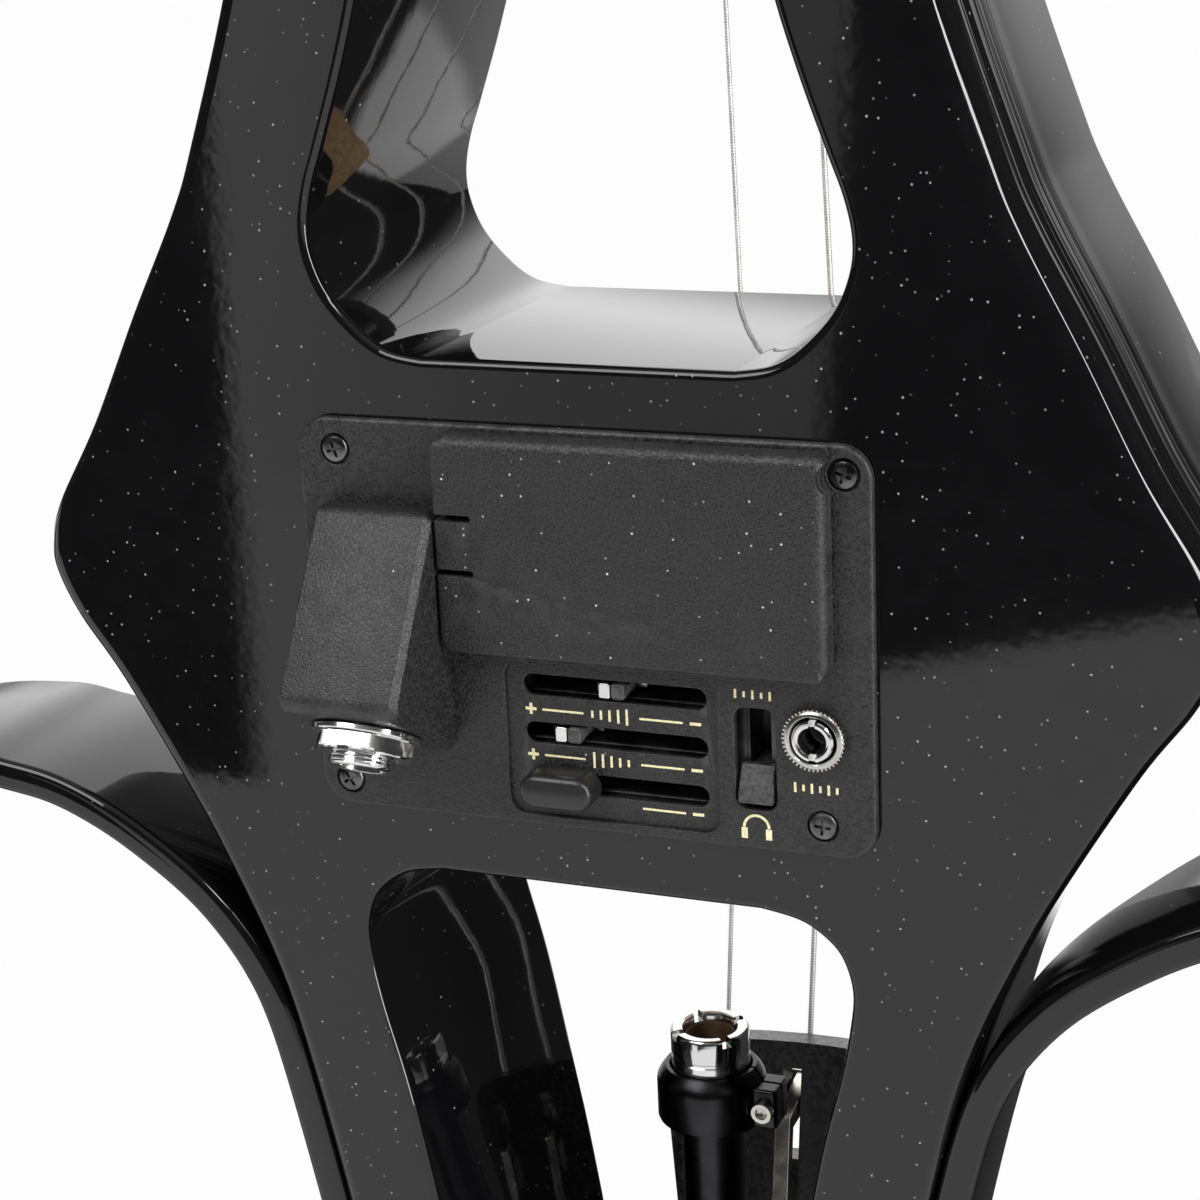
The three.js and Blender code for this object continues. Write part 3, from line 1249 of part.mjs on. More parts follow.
function makeTunerScrew() {
  const tip = TUNER_PIVOT_DEPTH - TUNER_ARM_THICKNESS / 2 - SEAT_GAP;
  const shank = rodOut(TUNER_SCREW_RADIUS, -TUNER_HEAD_RISE - TUNER_HEAD_HEIGHT / 2, tip, SMALL_SIDES);
  const crown = fluted(TUNER_HEAD_RADIUS, TUNER_HEAD_HEIGHT, TUNER_HEAD_FLUTES, TUNER_HEAD_FLUTE_DEPTH);
  crown.translate(0, 0, -TUNER_HEAD_RISE - TUNER_HEAD_HEIGHT);
  return join(shank, crown);
}

function makeTailgut() {
  const right = TAILGUT_HALF_SPREAD;
  const neck = HOLDER_PLUG_RADIUS + TAILGUT_RADIUS + SEAT_GAP;
  const loop = -BODY_DROP - SEAT_GAP - HOLDER_NECK_LENGTH / 2;
  const lift = FRONT_FACE - SEAT_GAP - SADDLE_HEIGHT - SEAT_GAP - TAILGUT_RADIUS;
  const holeLevels = [-TAILGUT_RADIUS, TAIL_THICKNESS / 2, TAIL_THICKNESS + 2 * TAILGUT_RADIUS];
  const throughHole = holeLevels.map((level) =>
    new THREE.Vector3(right, -TAILGUT_HOLE_PLACE, level).applyMatrix4(tailMatrix));
  const half = [
    ...throughHole,
    new THREE.Vector3(right, -BODY_DROP + 2 * SADDLE_DEPTH, lift),
    new THREE.Vector3(right, -BODY_DROP + SADDLE_DEPTH / 2, lift),
    new THREE.Vector3(right + SEAT_GAP, -BODY_DROP - SEAT_GAP, lift + SEAT_GAP),
    new THREE.Vector3(right + TAILGUT_RADIUS, loop, lift + 2 * TAILGUT_RADIUS),
    new THREE.Vector3(neck - TAILGUT_RADIUS, loop, ENDPIN_AXIS - neck + TAILGUT_RADIUS),
    new THREE.Vector3(neck, loop, ENDPIN_AXIS),
    new THREE.Vector3(neck * Math.SQRT1_2, loop, ENDPIN_AXIS + neck * Math.SQRT1_2),
  ];
  const other = half.map((point) => new THREE.Vector3(-point.x, point.y, point.z)).reverse();
  const behind = new THREE.Vector3(0, loop, ENDPIN_AXIS + neck);
  const route = new THREE.CatmullRomCurve3([...half, behind, ...other]);
  const section = new THREE.Shape();
  section.absarc(0, 0, TAILGUT_RADIUS, 0, 2 * Math.PI, false);
  return new THREE.ExtrudeGeometry(section, { steps: TAILGUT_STEPS, extrudePath: route, curveSegments: 3 });
}

function makeSaddle() {
  const foot = -BODY_DROP + BODY_EDGE_ROUND / 2;
  return roundedBox(-SADDLE_HALF_LENGTH, SADDLE_HALF_LENGTH, foot, foot + SADDLE_DEPTH,
    FRONT_FACE - SEAT_GAP - SADDLE_HEIGHT, FRONT_FACE - SEAT_GAP, SADDLE_DEPTH / 4, SEAT_GAP * 2);
}

// Pegs, turned and then flattened at the thumb

function makePeg(peg) {
  const half = wallAt(peg.along);
  const collar = half + PEG_COLLAR_GAP;
  const neck = collar + PEG_COLLAR_LENGTH;
  const thumb = neck + PEG_NECK_LENGTH;
  const tip = -half - PEG_TIP_PROUD;
  const stem = turned([
    [0, tip], [pegRadiusAt(peg, peg.side * tip), tip],
    [pegRadiusAt(peg, peg.side * collar), collar], [PEG_COLLAR_RADIUS, collar],
    [PEG_COLLAR_RADIUS, collar + PEG_COLLAR_LENGTH * PEG_COLLAR_EDGE_SHARE],
    [PEG_COLLAR_RADIUS * PEG_COLLAR_CROWN_SHARE, neck],
    [PEG_NECK_RADIUS, neck + PEG_NECK_LENGTH * PEG_NECK_DIP_SHARE],
    [PEG_NECK_RADIUS, thumb + PEG_THUMB_LENGTH], [0, thumb + PEG_THUMB_LENGTH],
  ], PEG_SIDES);
  const blade = new THREE.SphereGeometry(1, PEG_SIDES, PEG_THUMB_RINGS);
  blade.scale(PEG_THUMB_HALF_WIDTH, PEG_THUMB_LENGTH, PEG_THUMB_HALF_THICKNESS);
  blade.translate(0, thumb + PEG_THUMB_LENGTH * PEG_THUMB_SET_SHARE, 0);
  const pip = new THREE.SphereGeometry(PEG_PIP_RADIUS, SMALL_SIDES, SMALL_SIDES / 2);
  pip.translate(0, thumb + PEG_THUMB_LENGTH * (PEG_THUMB_SET_SHARE + 1) + PEG_PIP_RADIUS / 2, 0);
  const whole = alongRight(join(stem, blade, pip));
  return peg.side > 0 ? whole : whole.rotateZ(Math.PI);
}

// Endpin and its holder

function makeHolder() {
  const top = -BODY_DROP + HOLDER_PLUG_LENGTH;
  const neck = -BODY_DROP - SEAT_GAP - HOLDER_NECK_LENGTH;
  const flange = neck - HOLDER_FLANGE_LENGTH;
  const bottom = flange - HOLDER_BOSS_LENGTH;
  const bore = ENDPIN_TUBE_RADIUS + SEAT_GAP;
  const shell = turned([
    [bore, bottom], [HOLDER_BOSS_RADIUS, bottom], [HOLDER_BOSS_RADIUS, flange],
    [HOLDER_FLANGE_RADIUS, flange], [HOLDER_FLANGE_RADIUS, neck], [HOLDER_PLUG_RADIUS, neck],
    [HOLDER_PLUG_RADIUS, top], [bore, top], [bore, bottom],
  ], FINE_SIDES);
  const hole = rodOut(THUMBSCREW_RADIUS + SEAT_GAP, -2 * HOLDER_BOSS_RADIUS, 0, SMALL_SIDES);
  hole.translate(0, flange - HOLDER_BOSS_LENGTH / 2, 0);
  return cut(shell, hole);
}

const bossTop = -BODY_DROP - SEAT_GAP - HOLDER_NECK_LENGTH - HOLDER_FLANGE_LENGTH;
const thumbscrewHeight = bossTop - HOLDER_BOSS_LENGTH / 2;

function makeThumbscrew() {
  const inner = -ENDPIN_TUBE_RADIUS - SEAT_GAP;
  const under = -HOLDER_BOSS_RADIUS - THUMBSCREW_HEAD_STANDOFF;
  const shank = rodOut(THUMBSCREW_RADIUS, under - THUMBSCREW_HEAD_HEIGHT / 2, inner, SMALL_SIDES);
  const grip = fluted(
    THUMBSCREW_HEAD_RADIUS, THUMBSCREW_HEAD_HEIGHT, THUMBSCREW_FLUTES, THUMBSCREW_FLUTE_DEPTH);
  grip.translate(0, 0, under - THUMBSCREW_HEAD_HEIGHT);
  return join(shank, grip);
}

const tipTop = FLOOR_LINE + TIP_LENGTH;

function makeEndpinTube() {
  const bottom = tipTop - TIP_SOCKET_DEPTH + SEAT_GAP;
  const top = -ENDPIN_TOP_DROP - FERRULE_LENGTH / 2;
  return turned([
    [ENDPIN_BORE_RADIUS, bottom], [ENDPIN_TUBE_RADIUS, bottom], [ENDPIN_TUBE_RADIUS, top],
    [ENDPIN_BORE_RADIUS, top], [ENDPIN_BORE_RADIUS, bottom],
  ], FINE_SIDES);
}

function makeFerrule() {
  const top = -ENDPIN_TOP_DROP;
  const step = top - FERRULE_LENGTH / 2 + SEAT_GAP;
  const bottom = top - FERRULE_LENGTH;
  const seat = ENDPIN_TUBE_RADIUS + SEAT_GAP;
  const shell = turned([
    [seat, bottom], [FERRULE_RADIUS, bottom], [FERRULE_RADIUS, top - SEAT_GAP],
    [FERRULE_RADIUS - SEAT_GAP, top],
    [FERRULE_BORE_RADIUS + SEAT_GAP, top], [FERRULE_BORE_RADIUS, top - SEAT_GAP], [FERRULE_BORE_RADIUS, step],
    [seat, step], [seat, bottom],
  ], FINE_SIDES);
  const notches = [];
  for (let i = 0; i < FERRULE_NOTCHES; i += 1) {
    const notch = box(0, 2 * FERRULE_RADIUS, top - FERRULE_NOTCH_DEPTH, top + CUT_OVERRUN,
      -FERRULE_NOTCH_WIDTH / 2, FERRULE_NOTCH_WIDTH / 2);
    notches.push(notch.rotateY((2 * Math.PI * i) / FERRULE_NOTCHES + Math.PI / FERRULE_NOTCHES));
  }
  return cut(shell, ...notches);
}

function makeStopCollar() {
  const top = -ENDPIN_TOP_DROP - FERRULE_LENGTH - SEAT_GAP + COLLAR_RISE;
  const bottom = top - COLLAR_LENGTH;
  const bore = FERRULE_RADIUS + SEAT_GAP;
  const inner = ENDPIN_TUBE_RADIUS + SEAT_GAP;
  const seat = -ENDPIN_TOP_DROP - FERRULE_LENGTH - SEAT_GAP;
  const shell = turned([
    [inner, bottom], [COLLAR_RADIUS, bottom], [COLLAR_RADIUS, top - COLLAR_SHOULDER],
    [COLLAR_TOP_RADIUS, top],
    [bore, top], [bore, seat], [inner, seat], [inner, bottom],
  ], FINE_SIDES);
  const lugTop = top - COLLAR_SHOULDER;
  const lug = box(COLLAR_TOP_RADIUS, COLLAR_LUG_REACH, lugTop - COLLAR_LUG_LENGTH, lugTop,
    -COLLAR_LUG_WIDTH / 2, COLLAR_LUG_WIDTH / 2);
  const slit = box(inner - SEAT_GAP, COLLAR_LUG_REACH + CUT_OVERRUN, bottom - CUT_OVERRUN, top + CUT_OVERRUN,
    -SEAT_GAP, SEAT_GAP);
  return cut(join(shell, lug), slit);
}

function makeRubberTip() {
  const seat = ENDPIN_TUBE_RADIUS + SEAT_GAP;
  const socket = tipTop - TIP_SOCKET_DEPTH;
  return turned([
    [0, FLOOR_LINE], [TIP_FOOT_RADIUS, FLOOR_LINE], [TIP_RADIUS, FLOOR_LINE + TIP_LENGTH / 6],
    [TIP_RADIUS, FLOOR_LINE + TIP_LENGTH / 2], [TIP_FOOT_RADIUS, tipTop], [seat, tipTop],
    [seat, socket], [0, socket],
  ], FINE_SIDES);
}

// Preamp: a moulded housing with the battery bay, the slider slots and the hood of the output jack

const batteryLeft = BATTERY_RIGHT - BATTERY_LENGTH;
const bay = {
  left: batteryLeft - BATTERY_STUD_LENGTH - CLIP_THICKNESS - 3 * SEAT_GAP,
  right: BATTERY_RIGHT + SEAT_GAP,
  bottom: BATTERY_TOP - BATTERY_HEIGHT - SEAT_GAP,
  top: BATTERY_TOP + SEAT_GAP,
  floor: BATTERY_OUT - BATTERY_DEPTH - SEAT_GAP,
};

function wedgeOutline(inset, rootLevel) {
  const back = new THREE.Vector2(WEDGE_NOSE - WEDGE_TOP, WEDGE_NOSE_OUT - WEDGE_TOP_OUT).normalize();
  const base = new THREE.Vector2(WEDGE_FOOT - WEDGE_NOSE, PLATE_OUT - WEDGE_NOSE_OUT).normalize();
  const line = (x, y, dx, dy) => ({ x, y, dx, dy });
  const top = line(WEDGE_TOP - inset, 0, 0, 1);
  const slope = line(WEDGE_TOP - back.y * inset, WEDGE_TOP_OUT + back.x * inset, back.x, back.y);
  const under = line(WEDGE_NOSE - base.y * inset, WEDGE_NOSE_OUT + base.x * inset, base.x, base.y);
  const meet = (p, q) => {
    const cross = p.dx * q.dy - p.dy * q.dx;
    const run = ((q.x - p.x) * q.dy - (q.y - p.y) * q.dx) / cross;
    return new THREE.Vector2(p.x + run * p.dx, p.y + run * p.dy);
  };
  const root = line(0, rootLevel, 1, 0);
  return [meet(root, top), meet(top, slope), meet(slope, under), meet(under, root)];
}

// A shape drawn in heights and levels, extruded across from left to right

function acrossFrom(shape, left, right, round = 0) {
  const geometry = slab(shape, left, right, round, 2, 2);
  return geometry.applyMatrix4(new THREE.Matrix4().makeBasis(
    new THREE.Vector3(0, 1, 0), new THREE.Vector3(0, 0, 1), new THREE.Vector3(1, 0, 0)));
}

function makeWedge() {
  const outline = wedgeOutline(0, SEAT_GAP);
  return acrossFrom(new THREE.Shape(outline), WEDGE_LEFT, WEDGE_RIGHT, WEDGE_EDGE_ROUND);
}

function makeWedgeHollow() {
  const outline = wedgeOutline(WEDGE_WALL, -CUT_OVERRUN);
  return acrossFrom(new THREE.Shape(outline), WEDGE_LEFT + WEDGE_WALL, WEDGE_RIGHT - WEDGE_WALL);
}

const jackMatrix = (() => {
  const down = new THREE.Vector2(WEDGE_FOOT - WEDGE_NOSE, PLATE_OUT - WEDGE_NOSE_OUT);
  const along = down.clone().normalize();
  const out = new THREE.Vector3(0, along.y, -along.x);
  const up = new THREE.Vector3(0, -along.x, -along.y);
  const matrix = new THREE.Matrix4().makeBasis(new THREE.Vector3(1, 0, 0), up, out);
  const middle = (WEDGE_LEFT + WEDGE_RIGHT) / 2;
  return matrix.setPosition(middle, WEDGE_NOSE + down.x / 2, WEDGE_NOSE_OUT + down.y / 2);
})();

function makeTray() {
  const [first, ...rest] = pocketBlocks(TRAY_CLEARANCE, -TRAY_DEPTH, (SEAT_GAP + PLATE_OUT) / 2);
  const block = join(first, ...rest);
  const [firstVoid, ...otherVoids] = pocketBlocks(
    TRAY_CLEARANCE + TRAY_WALL, -TRAY_DEPTH - CUT_OVERRUN, SEAT_GAP);
  const bayBlock = box(bay.left - BAY_FLOOR, bay.right + BAY_FLOOR,
    bay.bottom - BAY_FLOOR, bay.top + BAY_FLOOR, bay.floor - BAY_FLOOR, PLATE_OUT);
  return cut(block, cut(join(firstVoid, ...otherVoids), bayBlock));
}

const stadium = (left, right, middle, half, near, far) =>
  slab(roundedRectangle(left, right, middle - half, middle + half, half), near, far, 0, 3);

function makeHousing() {
  const outline = roundedRectangle(
    -PLATE_HALF_WIDTH, PLATE_HALF_WIDTH, -PLATE_HALF_HEIGHT, PLATE_HALF_HEIGHT, PLATE_CORNER);
  const plate = slab(outline, SEAT_GAP, PLATE_OUT, PLATE_EDGE_ROUND, 4, 1);
  const above = PLATE_OUT + CUT_OVERRUN;
  const cuts = [
    makeWedgeHollow(),
    box(bay.left, bay.right, bay.bottom, bay.top, bay.floor, above),
    roundedBox(PANEL_LEFT, PANEL_RIGHT, PANEL_BOTTOM, PANEL_TOP, PLATE_OUT - PANEL_SINK, above, PANEL_CORNER),
    ...SLIDERS.map(({ height }) => stadium(SLOT_CENTRE - SLOT_HALF_LENGTH, SLOT_CENTRE + SLOT_HALF_LENGTH,
      height, SLOT_HALF_HEIGHT, -SEAT_GAP, above)),
    roundedBox(SWITCH_CENTRE - SWITCH_HALF_SLOT, SWITCH_CENTRE + SWITCH_HALF_SLOT, SWITCH_BOTTOM, SWITCH_TOP,
      -SEAT_GAP, above, SWITCH_SLOT_CORNER),
    rodOut(AUX_BUSH_RADIUS + SEAT_GAP, -SEAT_GAP, above, ROUND_SIDES)
      .translate(AUX_PLACE.right, AUX_PLACE.up, 0),
    rodOut(JACK_BUSH_RADIUS + SEAT_GAP, -2 * WEDGE_WALL, CUT_OVERRUN, ROUND_SIDES).applyMatrix4(jackMatrix),
    ...PANEL_SCREWS.flatMap(({ right, up }) => [
      rodOut(PANEL_SCREW_RADIUS + SEAT_GAP, -SEAT_GAP, above, SMALL_SIDES),
      rodOut(PANEL_SCREW_HEAD_RADIUS + SEAT_GAP, PLATE_OUT - PANEL_SCREW_SINK, above, SMALL_SIDES),
    ].map((hole) => hole.translate(right, up, 0))),
  ];
  return cut(join(plate, makeTray(), makeWedge()), ...cuts);
}

function makeLid() {
  const seat = PLATE_OUT + SEAT_GAP;
  const blank = roundedBox(LID_LEFT, LID_RIGHT, LID_BOTTOM, LID_TOP, seat - LID_EDGE_ROUND, LID_OUT,
    LID_CORNER, LID_EDGE_ROUND, 2);
  const below = box(2 * LID_LEFT, 2 * LID_RIGHT, 2 * LID_LEFT, 2 * LID_TOP, -LID_OUT, seat);
  const hollow = roundedBox(LID_LEFT + LID_SHELL, LID_RIGHT - LID_SHELL,
    LID_BOTTOM + LID_SHELL, LID_TOP - LID_SHELL, -LID_OUT, LID_OUT - LID_SHELL, LID_CORNER / 2);
  const slits = Object.values(LID_SLIT_HEIGHTS).map((height) => box(2 * LID_LEFT, LID_LEFT + LID_SLIT_LENGTH,
    height - LID_SLIT_WIDTH / 2, height + LID_SLIT_WIDTH / 2, -LID_OUT, 2 * LID_OUT));
  const corner = PANEL_SCREWS.find(({ name }) => name === 'upper_right');
  const notch = rodOut(PANEL_SCREW_HEAD_RADIUS + 2 * SEAT_GAP, 0, 2 * LID_OUT, ROUND_SIDES);
  notch.translate(corner.right, corner.up, 0);
  const shell = cut(blank, below, hollow, ...slits, notch);
  const latch = box(LID_LEFT + LID_LATCH_INSET, LID_LEFT + LID_LATCH_INSET + LID_LATCH_THICKNESS,
    LID_SLIT_HEIGHTS.lower + LID_LATCH_THICKNESS, LID_SLIT_HEIGHTS.upper - LID_LATCH_THICKNESS,
    LID_OUT - LID_SHELL - LID_LATCH_DEPTH, LID_OUT - LID_SHELL / 2);
  return join(shell, latch);
}

function makeBattery() {
  const bottom = BATTERY_TOP - BATTERY_HEIGHT;
  const body = roundedBox(batteryLeft, BATTERY_RIGHT, bottom, BATTERY_TOP,
    BATTERY_OUT - BATTERY_DEPTH, BATTERY_OUT, BATTERY_CORNER);
  const studs = [-1, 1].map((side) => {
    const stud = alongRight(rod(BATTERY_STUD_RADIUS, -BATTERY_STUD_LENGTH, BATTERY_CORNER, SMALL_SIDES));
    return stud.translate(batteryLeft, BATTERY_TOP - BATTERY_HEIGHT / 2 + (side * BATTERY_STUD_SPACING) / 2,
      BATTERY_OUT - BATTERY_DEPTH / 2);
  });
  return join(body, ...studs);
}

function makeBatteryClip() {
  const left = bay.left + SEAT_GAP;
  return roundedBox(left, left + CLIP_THICKNESS, bay.bottom + SEAT_GAP, bay.top - SEAT_GAP,
    bay.floor + SEAT_GAP, BATTERY_OUT - CLIP_THICKNESS, CLIP_THICKNESS / 3);
}

function makePot({ height }) {
  const body = box(SLOT_CENTRE - POT_HALF_LENGTH, SLOT_CENTRE + POT_HALF_LENGTH,
    height - POT_HALF_HEIGHT, height + POT_HALF_HEIGHT, -POT_BACK - POT_DEPTH, -POT_BACK);
  const reach = SLOT_HALF_LENGTH + SEAT_GAP;
  const track = box(SLOT_CENTRE - reach, SLOT_CENTRE + reach, height - POT_TRACK_HALF_HEIGHT,
    height + POT_TRACK_HALF_HEIGHT, -POT_BACK - POT_TRACK_DEPTH, CUT_OVERRUN);
  return cut(body, track);
}

function makeLever({ height, place }, out) {
  const foot = -POT_BACK - POT_TRACK_DEPTH + SEAT_GAP;
  const stem = box(place - LEVER_HALF_LENGTH, place + LEVER_HALF_LENGTH, height - LEVER_HALF_HEIGHT,
    height + LEVER_HALF_HEIGHT, foot, -LEVER_SHOULDER_DEPTH + SEAT_GAP);
  const middle = place - LEVER_HEAD_SHIFT;
  const grip = box(middle - LEVER_HEAD_HALF_LENGTH, middle + LEVER_HEAD_HALF_LENGTH,
    height - LEVER_HEAD_HALF_HEIGHT, height + LEVER_HEAD_HALF_HEIGHT, -LEVER_SHOULDER_DEPTH, out);
  return join(stem, grip);
}

function makeKnob({ height, place }) {
  const near = PLATE_OUT - PANEL_SINK + KNOB_LIFT;
  const cap = roundedBox(place - KNOB_HALF_LENGTH, place + KNOB_HALF_LENGTH, height - KNOB_HALF_HEIGHT,
    height + KNOB_HALF_HEIGHT, near, KNOB_OUT, KNOB_CORNER, KNOB_EDGE_ROUND, 2);
  const middle = place - LEVER_HEAD_SHIFT;
  const socket = box(middle - LEVER_HEAD_HALF_LENGTH - SEAT_GAP, middle + LEVER_HEAD_HALF_LENGTH + SEAT_GAP,
    height - LEVER_HEAD_HALF_HEIGHT - SEAT_GAP, height + LEVER_HEAD_HALF_HEIGHT + SEAT_GAP,
    0, KNOB_OUT / 2 + SEAT_GAP);
  return cut(cap, socket);
}

function makeSwitchBody() {
  const body = box(SWITCH_CENTRE - SWITCH_BODY_HALF_WIDTH, SWITCH_CENTRE + SWITCH_BODY_HALF_WIDTH,
    SWITCH_BOTTOM - SEAT_GAP, SWITCH_TOP + SEAT_GAP, -POT_BACK - POT_DEPTH, -POT_BACK);
  const reach = SWITCH_STEM_HALF_WIDTH + SEAT_GAP;
  const track = box(SWITCH_CENTRE - reach, SWITCH_CENTRE + reach, SWITCH_BOTTOM + 2 * SEAT_GAP,
    SWITCH_TOP - 2 * SEAT_GAP, -POT_BACK - POT_TRACK_DEPTH, CUT_OVERRUN);
  return cut(body, track);
}

function makeSwitchLever() {
  const bottom = SWITCH_BOTTOM + 3 * SEAT_GAP;
  const top = bottom + SWITCH_LEVER_LENGTH;
  const foot = -POT_BACK - POT_TRACK_DEPTH + SEAT_GAP;
  const paddle = acrossFrom(new THREE.Shape([
    new THREE.Vector2(bottom, -POT_BACK + SEAT_GAP), new THREE.Vector2(top, -POT_BACK + SEAT_GAP),
    new THREE.Vector2(top, SEAT_GAP), new THREE.Vector2(bottom + SWITCH_LEVER_LENGTH / 4, SWITCH_LEVER_OUT),
    new THREE.Vector2(bottom, SWITCH_LEVER_OUT),
  ]), SWITCH_CENTRE - SWITCH_LEVER_HALF_WIDTH, SWITCH_CENTRE + SWITCH_LEVER_HALF_WIDTH);
  const stem = box(SWITCH_CENTRE - SWITCH_STEM_HALF_WIDTH, SWITCH_CENTRE + SWITCH_STEM_HALF_WIDTH,
    bottom + SEAT_GAP, top - SEAT_GAP, foot, SEAT_GAP / 2);
  return join(paddle, stem);
}

function makeAuxJack() {
  const body = rodOut(AUX_BODY_RADIUS, -POT_BACK - AUX_BODY_DEPTH, -POT_BACK, ROUND_SIDES);
  const bush = rodOut(AUX_BUSH_RADIUS, -POT_BACK - SEAT_GAP, AUX_BUSH_OUT, ROUND_SIDES);
  const bore = rodOut(AUX_BORE_RADIUS, -AUX_BODY_DEPTH, AUX_BUSH_OUT + CUT_OVERRUN, ROUND_SIDES);
  return cut(join(body, bush), bore).translate(AUX_PLACE.right, AUX_PLACE.up, 0);
}

function makeAuxRing() {
  const bore = AUX_BUSH_RADIUS + SEAT_GAP;
  const ring = fluted(AUX_RING_RADIUS, AUX_RING_HEIGHT, AUX_RING_TEETH, AUX_RING_TOOTH, bore);
  return ring.translate(AUX_PLACE.right, AUX_PLACE.up, PLATE_OUT + SEAT_GAP);
}

function makeBoard() {
  return roundedBox(BOARD_LEFT, BOARD_RIGHT, BOARD_BOTTOM, BOARD_TOP, boardBack, boardFront, BOARD_THICKNESS);
}

function makeOutputJack() {
  const seat = -WEDGE_WALL - SEAT_GAP;
  const body = rodOut(JACK_BODY_RADIUS, seat - JACK_BODY_LENGTH, seat, ROUND_SIDES);
  const bush = rodOut(JACK_BUSH_RADIUS, seat - SEAT_GAP, JACK_BUSH_OUT, ROUND_SIDES);
  const floor = seat - JACK_BODY_LENGTH + WEDGE_WALL;
  const bore = rodOut(JACK_BORE_RADIUS, floor, JACK_BUSH_OUT + CUT_OVERRUN, ROUND_SIDES);
  return cut(join(body, bush), bore).applyMatrix4(jackMatrix);
}

function makeOutputJackNut() {
  const bore = JACK_BUSH_RADIUS + SEAT_GAP;
  const washerTop = SEAT_GAP + JACK_WASHER_HEIGHT;
  const washer = alongOut(turned([
    [bore, SEAT_GAP], [JACK_WASHER_RADIUS, SEAT_GAP], [JACK_WASHER_RADIUS, washerTop], [bore, washerTop],
    [bore, SEAT_GAP],
  ], FINE_SIDES));
  const nut = fluted(JACK_NUT_RADIUS, JACK_NUT_HEIGHT, JACK_NUT_CORNERS, 0, bore);
  nut.translate(0, 0, washerTop - SEAT_GAP / 2);
  return join(washer, nut).applyMatrix4(jackMatrix);
}

function makePanelScrew({ right, up }) {
  const seat = PLATE_OUT - PANEL_SCREW_SINK + SEAT_GAP / 2;
  const top = seat + PANEL_SCREW_HEAD_HEIGHT;
  const body = alongOut(turned([
    [0, -PANEL_SCREW_REACH], [PANEL_SCREW_RADIUS, PANEL_SCREW_RADIUS - PANEL_SCREW_REACH],
    [PANEL_SCREW_RADIUS, seat], [PANEL_SCREW_HEAD_RADIUS, seat],
    [PANEL_SCREW_HEAD_RADIUS, seat + PANEL_SCREW_HEAD_HEIGHT / 2],
    [PANEL_SCREW_HEAD_RADIUS * PANEL_SCREW_CROWN_SHARE, top], [0, top],
  ], SMALL_SIDES));
  const reach = PANEL_SCREW_CROSS;
  const width = PANEL_SCREW_CROSS_WIDTH / 2;
  const floor = top - PANEL_SCREW_CROSS_DEPTH;
  const cross = [
    box(-reach, reach, -width, width, floor, top + CUT_OVERRUN),
    box(-width, width, -reach, reach, floor, top + CUT_OVERRUN),
  ];
  return cut(body, ...cross).translate(right, up, 0);
}

// Everything in its place

addPiece('body', makeBody(), GLOSS_BLACK);
addPiece('wing_right', makeWing(1), GLOSS_BLACK);
addPiece('wing_left', makeWing(-1), GLOSS_BLACK);
for (const { side, place, right, up, turn } of wingScrewPlaces()) {
  const screw = addPiece(`wing_screw_${side > 0 ? 'right' : 'left'}_${place}`, makeWingScrew(), BLACK_METAL);
  screw.position.set(right, up, WING_SCREW_LEVEL);
  screw.rotation.z = turn;
}
addPiece('neck', makeNeck(), GLOSS_BLACK);
addPiece('fingerboard', makeFingerboard(), EBONY);
addPiece('nut', makeNut(), EBONY);
addPiece('bridge', makeBridge(), MAPLE);
addPiece('bridge_pickup', makePickupBar(), MOULDED_BLACK);
addPiece('pickup_lead', makePickupLead(), RUBBER_BLACK);
addPiece('saddle', makeSaddle(), EBONY);
addPiece('tailgut', makeTailgut(), GUT_BLACK);

tail.applyMatrix4(tailMatrix);
addPiece('tailpiece', makeTailpiece(), MOULDED_BLACK, tail);
for (const string of STRINGS) {
  const right = string.lane * TAIL_SPACING;
  const lever = addPiece(`tuner_lever_${string.name}`, makeTunerLeverFor(string), NICKEL, tail);
  lever.position.set(right, 0, tailCrown(right));
  const screw = addPiece(`tuner_screw_${string.name}`, makeTunerScrew(), NICKEL, tail);
  screw.position.set(right, -TUNER_SCREW_PLACE, tailCrown(right));
  addPiece(`string_${string.name}`, makeString(string), STEEL_WINDING);
}

head.applyMatrix4(headMatrix);
for (const [name, peg] of Object.entries(PEG_PLACES)) {
  addPiece(`peg_${name}`, makePeg(peg), EBONY, head).position.set(0, peg.along, peg.depth);
}

const endpin = new THREE.Group();
endpin.position.z = ENDPIN_AXIS;
instrument.add(endpin);
addPiece('endpin_holder', makeHolder(), BLACK_METAL, endpin);
addPiece('endpin_thumbscrew', makeThumbscrew(), BLACK_METAL, endpin).position.y = thumbscrewHeight;
addPiece('endpin_tube', makeEndpinTube(), BLACK_METAL, endpin);
addPiece('endpin_ferrule', makeFerrule(), CHROME, endpin);
addPiece('endpin_stop_collar', makeStopCollar(), BLACK_METAL, endpin);
addPiece('endpin_rubber_tip', makeRubberTip(), RUBBER_BLACK, endpin);

